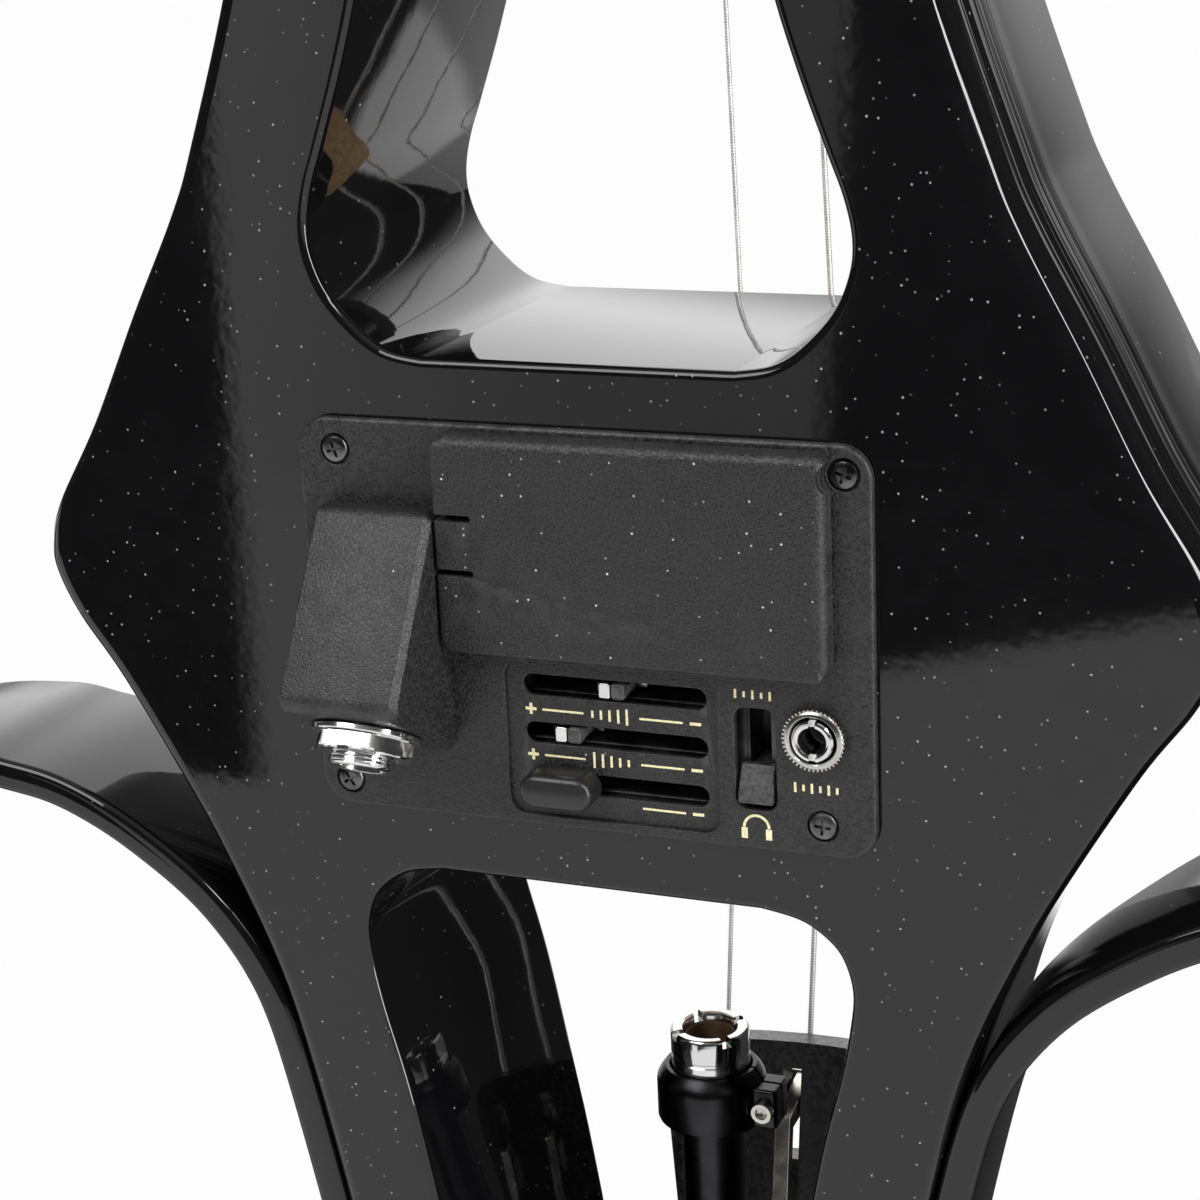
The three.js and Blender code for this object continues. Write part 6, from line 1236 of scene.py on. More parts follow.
def make_lid():
    left, right, bottom, top = LID
    loop = rounded(left, right, bottom, top, LID_CORNER, 8)
    inner = pushed(loop, -1.0)
    soft, hard, steps = 1.7, 0.45, 7
    rows = [[place(p.x, p.y, LID_SEAT) for p in loop]]
    for i in range(steps + 1):
        turn = math.radians(90 * i / steps)
        row = []
        for point, within in zip(loop, inner):
            away = (point - within).normalized()
            share = min(max((away.x + away.y + 0.35) / 0.7, 0.0), 1.0)
            radius = hard + (soft - hard) * share * share * (3 - 2 * share)
            spot = point + (within - point) * radius * (1 - math.cos(turn))
            row.append(place(spot.x, spot.y, LID_OUT - radius * (1 - math.sin(turn))))
        rows.append(row)
    lid = Shell().solid(rows).finish("battery_cover", "preamp_plastic")
    wall = LID_SHELL
    hollow = plan(left + wall, right - wall, bottom + wall, top - wall, 1.0, 4)
    cutters = [lofted("cutter", "preamp_plastic", hollow,
                      ((0.0, 0.0), (0.0, LID_OUT - wall - 0.4), (0.4, LID_OUT - wall)))]
    # Two slits free the latch
    for height in (16.0, 8.4):
        slit = plan(left - 3.0, left + 5.4, height - 0.45, height + 0.45, 0.4, 4)
        cutters.append(well(slit, -3.0, LID_OUT, 0.12))
    cutters.append(well(disc(*PANEL_SCREWS["upper_right"], 2.5), 0.0, LID_OUT - 1.2, 0.15))
    latch = lofted("latch", "preamp_plastic", plan(left + 1.2, left + 2.3, 9.5, 14.9, 0.3, 3),
                   ((0.25, 0.6), (0.0, 0.9), (0.0, LID_OUT - 0.7)))
    carve(lid, *cutters)
    carve(lid, latch, operation="UNION")
    outfit(lid, "preamp_plastic", "battery_lid", body="lid")


# Sliders, selector and their slots

LEVER_FOOT, LEVER_ROOT = -6.1, -0.5


def make_levers():
    """Metal tongue, black grip and the bright tip of its foot, as each slider shows them in its slot."""
    for name, body in (("treble", "treble_slider"), ("bass", "bass_slider"), ("volume", "volume_slider")):
        height, here = SLIDERS[name]
        top = 2.9 if name == "volume" else 1.1
        grip = block(f"{name}_grip", "lever_plastic", here - 0.55, here + 1.4, height - 1.12, height + 1.12,
                     -0.6, top, 0.25, 0.22)
        stem = block("stem", "lever_plastic", here - 3.1, here + 1.5, height - 0.66, height + 0.66,
                     LEVER_FOOT, LEVER_ROOT)
        carve(grip, stem, operation="UNION")
        outfit(grip, "lever_plastic", f"{name}_lever", body=body)
        tongue = block(f"{name}_tongue", "chrome", here - 2.35, here - 0.7, height - 1.1, height + 1.1,
                       -0.65, top - 0.1, 0.18, 0.16)
        tip = block("tip", "chrome", here + 1.7, here + 3.15, height - 0.65, height + 0.65, -6.0, -3.2, 0.12, 0.14)
        outfit(joined(f"{name}_tongue", tongue, tip), "nickel", body=body)


def make_knob():
    """Rounded cap with a slightly domed top, hollow round the lever."""
    height, here = SLIDERS["volume"]
    half_wide, half_high, near, far, edge = 5.3, 2.45, 1.3, 5.8, 1.15
    profile = [(0.15, near), (0.0, near + 0.15)]
    for i in range(9):
        turn = math.radians(90 * i / 8)
        profile.append((edge * (1 - math.cos(turn)), far - edge * (1 - math.sin(turn))))
    profile += [(edge + 0.45, far + 0.12), (edge + 0.9, far + 0.18), (edge + 1.25, far + 0.2)]
    cap = lofted("volume_cap", "knob_plastic",
                 plan(here - half_wide, here + half_wide, height - half_high, height + half_high, 2.41, 10), profile)
    middle = here - 0.85
    carve(cap, lofted("cutter", "knob_plastic",
                      plan(middle - 2.6, middle + 2.6, height - 1.45, height + 1.45, 0.1, 2),
                      ((0.0, 0.0), (0.0, 3.3))))
    outfit(cap, "lever_plastic", "volume_knob", body="volume_slider")


def make_selector():
    """Paddle with a flat head at the bottom and a ramp up to its far end, grained like worn plastic."""
    left, right, bottom, _ = SWITCH
    low, high = bottom + 0.9, bottom + 6.1
    loop = corners_rounded(((low, -0.7), (high, -0.7), (high, 0.3), (low + 1.5, 1.95), (low, 1.95)),
                           (0.1, 0.15, 0.3, 0.5, 0.35), 5)
    stations = [(across, inset) for inset, across in two_rims(0.25, 4, left + 0.45, right - 0.45)]
    paddle = extruded("selector_paddle", "lever_plastic", loop, stations)
    middle = (left + right) / 2
    stem = block("stem", "lever_plastic", middle - 1.2, middle + 1.2, low + 0.3, high - 0.3,
                 LEVER_FOOT, LEVER_ROOT)
    carve(paddle, stem, operation="UNION")
    outfit(paddle, "lever_plastic", "selector_lever", body="selector")


def make_slot_works():
    """What shows down in the slots: the tracks of the sliders and the contacts of the selector."""
    parts = []
    for height, _ in SLIDERS.values():
        for middle in (height - 1.32, height + 1.32):
            parts.append(block("rail", "pot_metal", SLOT_CENTRE - 13.4, SLOT_CENTRE + 13.4, middle - 0.14,
                               middle + 0.14, -1.4, -0.72, 0.05, 0.06))
    left, right, bottom, top = SWITCH
    for near, far in ((left + 0.3, left + 1.0), (right - 1.0, right - 0.3)):
        parts.append(block("rail", "pot_metal", near, far, bottom + 0.4, top - 0.4, -1.6, -0.8, 0.1, 0.1))
    outfit(joined("slot_rails", *parts), "pot_metal")


# Jacks

def make_aux_jack():
    out = OUTWARD @ Matrix.Translation((*AUX, 0))
    seat = PLATE_OUT + 0.3
    ring = lathe("aux_ring", "nickel", (
        (3.2, seat), (4.0, seat), (4.05, seat + 0.1), (4.05, seat + 1.25), (3.85, seat + 1.45), (3.5, seat + 1.6),
        (3.35, seat + 1.6), (3.2, seat + 1.45), (3.2, seat),
    ), 64, out)
    teeth = moved(grown("aux_teeth", RIBS_ROUND, "nickel", Count=44, Radius=4.02, Depth=0.5, Width=0.26,
                        Height=1.2, Level=seat + 0.75), out)
    outfit(joined("aux_knurled_ring", ring, teeth), "nickel", "aux_jack_ring")
    bush = lathe("aux_bush", "chrome", (
        (0.0, -13.0), (3.1, -13.0), (3.1, -1.0), (2.85, -0.9), (2.85, 3.45), (2.7, 3.65), (2.5, 3.7),
        (2.15, 3.7), (1.98, 3.6), (1.9, 3.4), (1.9, -12.0), (0.0, -12.0),
    ), 56, out)
    notches = [block("cutter", "chrome", AUX[0] - 0.45, AUX[0] + 0.45, AUX[1] + side * 2.5 - 0.75,
                     AUX[1] + side * 2.5 + 0.75, 2.9, 4.5, 0.05, 0.05) for side in (-1, 1)]
    carve(bush, *notches)
    outfit(bush, "chrome", "aux_jack")
    spring = lathe("aux_contact", "pot_metal", (
        (1.2, -3.0), (1.85, -3.0), (1.85, -2.2), (1.35, -2.2), (1.2, -3.0),
    ), 32, out)
    outfit(spring, "pot_metal")


NUT_STEPS = 48


def hexagon(radius, level, matrix, cut):
    """Points round a hexagon whose corners are turned off, eight to a side."""
    flat = radius * math.cos(math.pi / 6)
    return wheel(lambda turn: min(flat / math.cos(turn % (math.pi / 3) - math.pi / 6), radius - cut),
                 level, matrix, NUT_STEPS)


def make_output_jack():
    washer_top = 1.1
    washer = lathe("jack_washer", "chrome", (
        (5.0, 0.3), (7.5, 0.3), (7.6, 0.4), (7.6, washer_top - 0.15), (7.45, washer_top), (5.2, washer_top),
        (5.0, washer_top - 0.15), (5.0, 0.3),
    ), 72, JACK)
    shell = Shell()
    seat, top = washer_top, washer_top + 2.45
    made = shell.rings([hexagon(7.4, level, JACK, cut) for level, cut in (
        (seat, 0.55), (seat + 0.25, 0.2), (top - 0.45, 0.12), (top - 0.2, 0.45), (top, 1.0))])
    holes = shell.rings([wheel(lambda turn: reach, level, JACK, NUT_STEPS) for reach, level in (
        (5.1, top), (4.75, top - 0.35), (4.75, seat + 0.1), (5.1, seat))])
    shell.bridge(made[-1], holes[0], smooth=False)
    shell.bridge(holes[-1], made[0], smooth=False)
    nut = shell.finish("jack_nut", "chrome", 25.0)
    outfit(joined("output_nut", washer, nut), "chrome", "output_jack_nut")
    bush = lathe("jack_bush", "chrome", (
        (0.0, -24.0), (5.7, -24.0), (5.7, -2.2), (4.5, -2.1), (4.5, 5.05), (4.25, 5.3), (3.9, 5.4), (3.6, 5.4),
        (3.3, 5.25), (3.2, 4.9), (3.2, -22.3), (0.0, -22.3),
    ), 64, JACK)
    thread = moved(grown("jack_thread", SCREW_THREAD, "chrome", Turns=11.0, Radius=4.52, Rise=6.6, Crest=0.17,
                         Level=-1.7), JACK)
    outfit(joined("output_bush", bush, thread), "chrome", "output_jack")


# Screws of the plate, with cross recesses

def make_panel_screws():
    seat = PLATE_OUT - SCREW_SINK + 0.15
    head = lathe("panel_screw_shape", "black_screw", (
        (0, -9.0), (0.9, -8.1), (0.9, seat), (1.86, seat), (1.9, seat + 0.1), (1.9, seat + 0.35),
        (1.75, seat + 0.58), (1.4, seat + 0.74), (0.8, seat + 0.8), (0, seat + 0.8),
    ), 40, Matrix.Scale(MM, 4))
    for wide, high in ((1.15, 0.21), (0.21, 1.15)):
        cutter = lofted_flat("cutter", plan(-wide, wide, -high, high, 0.1, 2), seat + 0.2, seat + 1.5)
        carve(head, cutter)
    spots, turns, nodes = [], [], []
    for i, (name, (right, up)) in enumerate(PANEL_SCREWS.items()):
        spots.append(place(right, up, 0.0))
        turned = Matrix((turn_of(1, 0, 0), turn_of(0, 1, 0), turn_of(0, 0, 1))).transposed()
        turns.append((turned @ Matrix.Rotation(0.35 + 0.9 * i, 3, "Z")).to_euler())
        nodes.append(f"panel_screw_{name}")
    screws = grown("panel_screws", FASTENERS, "black_screw", spots, turns, Fastener=head)
    discard(head)
    outfit(screws, "black_screw", *nodes)


def lofted_flat(name, loop, near, far):
    """A plan piece in its own millimetres, brought to metres."""
    rows = [[Vector((p.x, p.y, level)) * MM for p in loop(0.0)] for level in (near, far)]
    return Shell().solid(rows, capped=True).finish(name, "pot_metal")


# Cream marks on the plate, as a thin print that stands on it

PRINT_RISE, PRINT_WIDTH, PRINT_TICK, PRINT_FINE = 0.03, 0.42, 0.34, 0.3


def stroke(points, level, width):
    """A printed line of one width along flat points."""
    line = [Vector(point) for point in points]
    rows = []
    for i, point in enumerate(line):
        along = way_at(line, i)
        across = Vector((-along.y, along.x)) * width / 2
        p, q = point + across, point - across
        rows.append([place(p.x, p.y, level), place(q.x, q.y, level),
                     place(q.x, q.y, level + PRINT_RISE), place(p.x, p.y, level + PRINT_RISE)])
    return Shell().solid(rows, capped=True, smooth=False).finish("stroke", "cream_print")


def make_print():
    marks = []

    def line(level, *points, width=PRINT_WIDTH):
        marks.append(stroke(points, level, width))

    sunk = PLATE_OUT - PANEL_SINK
    for height, ticks in ((-11.3, 5), (-17.9, 5), (-24.2, 0)):
        # A plus at one end and a minus at the other
        line(sunk, (-8.9, height), (-7.3, height))
        line(sunk, (-8.1, height - 0.8), (-8.1, height - PRINT_WIDTH / 2))
        line(sunk, (-8.1, height + PRINT_WIDTH / 2), (-8.1, height + 0.8))
        if ticks:
            line(sunk, (-6.4, height), (-0.4, height), width=PRINT_FINE)
        line(sunk, (7.7, height), (13.9, height), width=PRINT_FINE)
        line(sunk, (14.9, height), (16.5, height))
        for i in range(ticks):
            across = 0.9 + 1.25 * i
            size = 0.5 + 0.16 * (i if height > -14 else ticks - 1 - i)
            line(sunk, (across, height - size), (across, height + size), width=PRINT_TICK)
    # Headphones under the selector: a band and two cups
    band = [(24.1 + 1.75 * math.cos(math.radians(turn)), -24.9 + 1.75 * math.sin(math.radians(turn)))
            for turn in range(180, -1, -15)]
    line(PLATE_OUT, *band, width=0.36)
    for side in (-1, 1):
        line(PLATE_OUT, (24.1 + side * 1.7, -25.0), (24.1 + side * 1.7, -26.5), width=0.85)
    # Plain ticks over the selector and under the small jack
    for start, spacing, count, middle, half in ((21.6, 1.2, 5, -6.2, 0.62), (29.6, 1.15, 6, -18.5, 0.7)):
        for i in range(count):
            across = start + spacing * i
            size = half * (1.0 - 0.35 * (i % 2))
            line(PLATE_OUT, (across, middle - size), (across, middle + size), width=PRINT_TICK)
    outfit(joined("control_print", *marks), "lever_plastic")


# Stage: pale floor and backdrop as the camera sees them, darker surroundings as the lacquer mirrors them

WHITE_SHARE = 0.965
STUDIO_REACH = 12.0
ENDPIN_TRAVEL = 190.0


def sheet(name, level, material):
    """A flat sheet of the studio, at a level in metres."""
    mesh = bpy.data.meshes.new(name)
    half = STUDIO_REACH
    corners = [(-half, -half, level), (half, -half, level), (half, half, level), (-half, half, level)]
    mesh.from_pydata(corners, [], [(0, 1, 2, 3)])
    mesh.materials.append(material)
    add_object(name, mesh)


def studio_material(name):
    material = bpy.data.materials.new(name)
    material.use_nodes = True
    return material, Tree(material.node_tree)


def show(tree, share, first, second):
    """Shows the second shader instead of the first, by a share."""
    shown = tree.node("ShaderNodeMixShader", Fac=share)
    tree.link(first.outputs[0], shown.inputs[1])
    tree.link(second.outputs[0], shown.inputs[2])
    tree.link(shown.outputs[0], tree.tree.nodes["Material Output"].inputs["Surface"])


def make_ground():
    """The pale floor, as low as the foot of the endpin reaches when it is drawn right out."""
    material, tree = studio_material("studio_ground")
    plain = tree.tree.nodes["Principled BSDF"]
    plain.inputs["Base Color"].default_value = (*grey(0.8), 1.0)
    where = tree.node("ShaderNodeNewGeometry").outputs["Position"]
    tree.link(tree.ramp(tree.noise(where, 30.0, 4.0), 0.3, 0.7, 0.6, 0.7), plain.inputs["Roughness"])
    rays = tree.node("ShaderNodeLightPath").outputs
    seen = tree.math("MAXIMUM", rays["Is Camera Ray"], rays["Is Transmission Ray"])
    # The camera sees white, dimmed only where the object's shadow falls
    show(tree, tree.math("MULTIPLY", seen, WHITE_SHARE), plain, tree.node("ShaderNodeEmission", Strength=1.0))
    sheet("ground", -(ENDPIN_TRAVEL + 1.0) * MM, material)


def make_floor():
    """Pale table at the foot that only glossy surfaces mirror, with dark parts of the studio round it."""
    material, tree = studio_material("studio_floor")
    tree.tree.nodes.remove(tree.tree.nodes["Principled BSDF"])
    at = tree.split(tree.node("ShaderNodeNewGeometry").outputs["Position"])

    def beyond(across, along, limit, soft):
        """1 on the far side of the line across * x + along * y = limit, fading over soft."""
        level = tree.math("ADD", tree.math("MULTIPLY", at["X"], across), tree.math("MULTIPLY", at["Y"], along))
        return tree.ramp(level, limit - soft, limit + soft)

    def corner(first, second, share=1.0):
        """The share of dark in the corner that lies beyond two lines."""
        return tree.math("MULTIPLY", beyond(*first), beyond(*second), share)

    dark_zone = tree.math(
        "MAXIMUM",
        # Dark parts of the studio that the glossy back mirrors: at the left, and far off at the right
        corner((1.0, -0.594, 0.076, 0.024), (0.0, 1.0, 1.085, 0.01)),
        corner((1.0, -0.594, 0.03, 0.014), (0.0, 1.0, 0.89, 0.012)),
        corner((0.98, 1.0, 1.44, 0.03), (-1.0, 0.3, 0.0, 0.03)),
        corner((-1.0, 0.52, 0.0, 0.3), (0.0, 1.0, 1.45, 0.15), 0.45),
        # In front the pale table ends, and the studio is dark towards the right and close to the foot
        tree.math("MULTIPLY", beyond(0.0, -1.0, 1.32, 0.06), 0.55),
        corner((0.0, -1.0, 0.25, 0.05), (-1.0, 0.385, 0.0, 0.02)),
        corner((0.0, -1.0, 0.1, 0.05), (0.0, 1.0, -0.72, 0.04)),
    )
    lit = tree.ramp(dark_zone, 0.0, 1.0, 1.05, 0.04, smooth=False)
    glossy = tree.node("ShaderNodeLightPath").outputs["Is Glossy Ray"]
    show(tree, glossy, tree.node("ShaderNodeBsdfTransparent"), tree.node("ShaderNodeEmission", Strength=lit))
    sheet("table", -0.001, material)


def make_world():
    """White to the camera; to a mirror, bands of soft light in a dim room."""
    world = bpy.data.worlds.new("studio")
    world.use_nodes = True
    bpy.context.scene.world = world
    tree = Tree(world.node_tree)
    rays = tree.node("ShaderNodeLightPath").outputs
    way = tree.split(tree.node("ShaderNodeTexCoord").outputs["Generated"])
    # Bright backdrop in front of the instrument, dark towards the right, in a dim room
    front = tree.ramp(way["Y"], -0.62, -0.3, 1.0, 0.0)
    climb = tree.ramp(way["Z"], 0.0, 0.2, 0.5, 1.9)
    backdrop = tree.math("MULTIPLY", front, tree.ramp(way["X"], -0.4, -0.1), climb)
    room = tree.ramp(way["Z"], 0.35, 1.0, 0.05, 0.5)
    mirrored = tree.math("MULTIPLY", rays["Is Glossy Ray"], tree.math("MAXIMUM", backdrop, room))
    plain = tree.math("MULTIPLY", tree.math("SUBTRACT", 1.0, rays["Is Glossy Ray"]), 0.55)
    strength = tree.math("MAXIMUM", rays["Is Camera Ray"], rays["Is Transmission Ray"],
                         tree.math("ADD", plain, mirrored))
    shader = tree.tree.nodes["Background"]
    tree.link(strength, shader.inputs["Strength"])
    shader.inputs["Color"].default_value = (*grey(1.0), 1.0)


def make_lights():
    """Soft lamps that all look at the panel: name, place, width, height, power, and if mirrors show it."""
    panel = Vector((0.0, 0.05, 0.4))
    for name, spot, wide, high, power, glossy in (
            ("top_soft", (0.55, 1.05, 1.55), 1.0, 0.8, 14.0, True),
            ("left_soft", (1.5, 0.9, 0.6), 0.8, 1.2, 4.0, False),
            ("right_strip", (-1.25, 0.45, 0.75), 0.22, 1.5, 18.0, True),
            ("corner_soft", (-0.9, 0.75, 1.45), 0.35, 0.25, 4.0, True)):
        data = bpy.data.lights.new(name, "AREA")
        data.shape = "RECTANGLE"
        data.size = wide
        data.size_y = high
        data.energy = power
        light = add_object(name, data)
        light.location = spot
        light.rotation_euler = (panel - Vector(spot)).to_track_quat("-Z", "Y").to_euler()
        light.visible_glossy = glossy


# Everything in its place

def own_reach(node, matrix):
    """Lowest and highest point of a node along a piece's own z."""
    back = matrix.inverted()
    heights = [(back @ vert.co).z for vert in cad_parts[node].data.vertices]
    return min(heights), max(heights)


FLUTE_STEPS = 8


def fluted_grip(name, material, radius, count, depth, low, high, matrix):
    """A head with rounded flutes, broken edges and a dished end."""
    edge = 0.12 * (high - low)
    profile = ((edge, low, 0.3), (0.3 * edge, low + 0.3 * edge, 0.8), (0, low + edge, 1), (0, high - edge, 1),
               (0.3 * edge, high - 0.3 * edge, 0.8), (edge, high, 0.3), (0.4 * radius, high, 0),
               (0.5 * radius, high - 0.7 * edge, 0))
    rows = []
    for inset, level, share in profile:
        def reach(turn):
            return radius - inset - depth * share * (0.5 - 0.5 * math.cos(count * turn)) ** 0.8
        rows.append(wheel(reach, level, matrix, count * FLUTE_STEPS))
    return Shell().solid(rows, capped=True).finish(name, material, 40.0)


ENDPIN = Matrix.Scale(MM, 4)


def span(node):
    """Lowest and highest level of a node, in millimetres."""
    return [corner.z * 1000 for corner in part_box(node)]


def make_endpin_tube():
    low, high = span("endpin_tube")
    pipe = lathe("endpin_pipe", "black_metal", (
        (4.0, low), (4.7, low), (5.0, low + 0.3), (5.0, high - 0.3), (4.7, high), (4.0, high), (4.0, low),
    ), 64, ENDPIN)
    outfit(pipe, "black_metal", "endpin_tube", body="endpin")


def make_ferrule():
    """Bright mouth of the pin with four notches, lined with cork."""
    low, high = span("endpin_ferrule")
    ring = lathe("ferrule_ring", "chrome", (
        (5.3, low), (5.95, low), (6.2, low + 0.25), (6.2, low + 4.2), (6.05, low + 4.4), (6.05, low + 4.8),
        (6.2, low + 5.0), (6.2, high - 0.7), (6.08, high - 0.3), (5.8, high - 0.05), (5.5, high),
        (4.75, high), (4.4, high - 0.2), (4.2, high - 0.6), (4.15, low + 4.9), (5.3, low + 4.9), (5.3, low),
    ), 96, ENDPIN)
    notches = []
    for i in range(4):
        notch = lofted_block("cutter", "chrome", (3.0, 7.5), (-0.75, 0.75), (high - 1.3, high + 1.0), 0.05)
        notches.append(moved(notch, Matrix.Rotation(math.pi / 4 + i * math.pi / 2, 4, "Z")))
    carve(ring, *notches)
    outfit(ring, "chrome", "endpin_ferrule", body="endpin")
    lining = lathe("ferrule_lining", "cork", (
        (3.55, low + 0.4), (4.1, low + 0.4), (4.1, high - 1.5), (3.9, high - 1.3), (3.7, high - 1.5),
        (3.55, low + 0.4),
    ), 64, ENDPIN)
    outfit(lining, "bridge_maple", body="endpin")


def make_stop_collar():
    """Split ring with a lug that a small screw draws together."""
    low, high = span("endpin_stop_collar")
    collar = lathe("collar_ring", "black_metal", (
        (5.3, low), (8.1, low), (8.45, low + 0.15), (8.6, low + 0.5), (8.6, high - 2.6), (8.5, high - 2.0),
        (8.1, high - 1.2), (7.6, high - 0.5), (7.2, high), (6.6, high), (6.5, high - 0.15), (6.5, low + 6.0),
        (5.3, low + 6.0), (5.3, low),
    ), 96, ENDPIN)
    lug = lofted_block("collar_lug", "black_metal", (-11.6, -6.9), (-3.0, 3.0), (low + 0.3, high - 2.2), 0.45)
    carve(collar, lug, operation="UNION")
    slit = lofted_block("cutter", "black_metal", (-12.5, -5.0), (-0.3, 0.3), (low - 1, high + 1), 0.01)
    carve(collar, slit)
    middle = (low + high) / 2 - 1.0
    across = stand(Vector((-9.6, 0, middle)) * MM, Vector((0, 1, 0)))
    screw = lathe("collar_screw", "nickel", (
        (0, 2.2), (1.7, 2.2), (1.75, 2.4), (1.75, 4.3), (1.6, 4.5), (1.0, 4.5), (0.95, 4.4), (0.95, 3.5), (0, 3.2),
    ), 40, across)
    outfit(joined("stop_collar", collar, screw), "black_metal", "endpin_stop_collar", body="endpin")


def make_foot():
    high = span("endpin_rubber_tip")[1]
    tip = lathe("floor_tip", "tip_rubber", (
        (0, 0.6), (4.6, 0.6), (5.0, 0.0), (7.1, 0.0), (7.4, 0.3), (8.6, 2.4), (9.0, 3.4), (9.0, 9.0), (8.8, 9.6),
        (8.3, 10.1), (8.3, 10.9), (8.6, 11.3), (8.4, 12.2), (8.1, 12.6), (8.1, 13.4), (8.2, 13.9), (7.8, 16.0),
        (7.4, high - 0.3), (7.1, high), (5.6, high), (5.3, high - 0.3), (5.3, 6.0), (0, 6.0),
    ), 96, ENDPIN)
    outfit(tip, "tip_rubber", "endpin_rubber_tip", body="endpin")


def make_holder():
    """Plug in the body's foot, and the screw that clamps the pin in it."""
    low, high = span("endpin_holder")
    holder = lathe("pin_holder", "black_metal", (
        (5.3, low), (8.3, low), (8.7, low + 0.4), (8.7, low + 14.0), (8.45, low + 14.5), (8.45, low + 15.1),
        (8.7, low + 16.0), (9.2, low + 16.0), (9.5, low + 16.3), (9.5, low + 20.6), (9.2, low + 21.0),
        (7.5, low + 21.0), (7.5, high - 0.4), (7.1, high), (5.3, high), (5.3, low),
    ), 96, ENDPIN)
    level = sum(span("endpin_thumbscrew")) / 2
    forward = stand(Vector((0, 0, level)) * MM, Vector((0, -1, 0)))
    carve(holder, lathe("cutter", "pot_metal", ((0, 2), (2.8, 2), (2.8, 14), (0, 14)), 40, forward))
    outfit(holder, "black_metal", "endpin_holder")
    low, high = own_reach("endpin_thumbscrew", forward)
    shank = lathe("shank", "black_metal", ((0, low), (2.2, low), (2.5, low + 0.3), (2.5, high - 4), (0, high - 4)),
                  40, forward)
    thread = grown("thread", SCREW_THREAD, "black_metal", Turns=3.0, Radius=2.35, Rise=2.4, Crest=0.15, Level=9.0)
    grip = fluted_grip("grip", "black_metal", 7.0, 10, 0.9, high - 8.0, high, forward)
    outfit(joined("thumb_screw", shank, moved(thread, forward), grip), "black_metal", "endpin_thumbscrew",
           body="thumbscrew")


def lofted_block(name, material, across, deep, rise, edge):
    """A block with rounded upright edges in row millimetres."""
    rows = []
    for inset, level in two_rims(edge, 3, *rise):
        loop = rounded(across[0] + inset, across[1] - inset, deep[0] + inset, deep[1] - inset, edge * 1.6 - inset, 4)
        rows.append([Vector((p.x, p.y, level)) * MM for p in loop])
    return Shell().solid(rows).finish(name, material)


# Neck, pegbox and scroll

NECK_STATIONS = ((0.0, 1.0), (0.018, 0.93), (0.042, 0.76), (0.07, 0.6), (0.105, 0.47), (0.16, 0.39),
                 (0.25, 0.353), (0.5, 0.335), (0.8, 0.323), (1.03, 0.31))
SCROLL_RISE, SCROLL_DEPTH, SCROLL_RADIUS, EYE_RADIUS, EYE_HALF_WIDTH = 182.0, -5.0, 32.3, 8.0, 31.0
VOLUTE_TURNS = 2.25
SCROLL_WIDTHS = spline([(i / 10, wide * EYE_HALF_WIDTH) for i, wide in enumerate(
    (0.47, 0.45, 0.41, 0.42, 0.52, 0.62, 0.71, 0.79, 0.87, 0.94, 1.0))], 4)


def under_board(height):
    """Level of the fingerboard's underside."""
    return -(44.4 + (NUT_LINE - height) / BOARD_LENGTH * 61.2)


def strip_loop(half, flat, crest, flute, corner):
    """A section from its flat side to its crest, which two flutes hollow, with rounded corners."""
    near, far = quarter(corner, 3), quarter(corner, 4)
    loop = [(half - inset, flat + depth) for inset, depth in near]
    loop += [(half - inset, crest - depth) for inset, depth in reversed(far)]
    for i in range(1, 24):
        across = (half - corner) * (1 - i / 12)
        loop.append((across, crest - flute * math.sin(math.pi * across / half) ** 2))
    loop += [(-half + inset, crest - depth) for inset, depth in far]
    return loop + [(-half + inset, flat + depth) for inset, depth in reversed(near)]


def swept(name, material, rows, sharp=SHARP):
    """A closed piece through rows of points given in layout millimetres."""
    return Shell().solid([[place(*point) for point in row] for row in rows]).finish(name, material, sharp)


def make_neck_shaft():
    rows = []
    for along, share in spline(NECK_STATIONS, 5):
        height = 400.3 + along * 290.0
        face, depth = under_board(height) + 0.3, share * 65.0
        half = 15.5 * (1 + (NUT_LINE - min(height, NUT_LINE)) / BOARD_LENGTH)
        row = [(-half, height, face), (0, height, face), (half, height, face)]
        for i in range(41):
            turn = math.pi * i / 40
            bulge = math.sin(turn) ** 0.7 if 0 < i < 40 else 0.0
            row.append((half * math.cos(turn), height, face + depth * (0.22 + 0.78 * bulge)))
        rows.append(row)
    return swept("shaft", "neck_lacquer", rows)


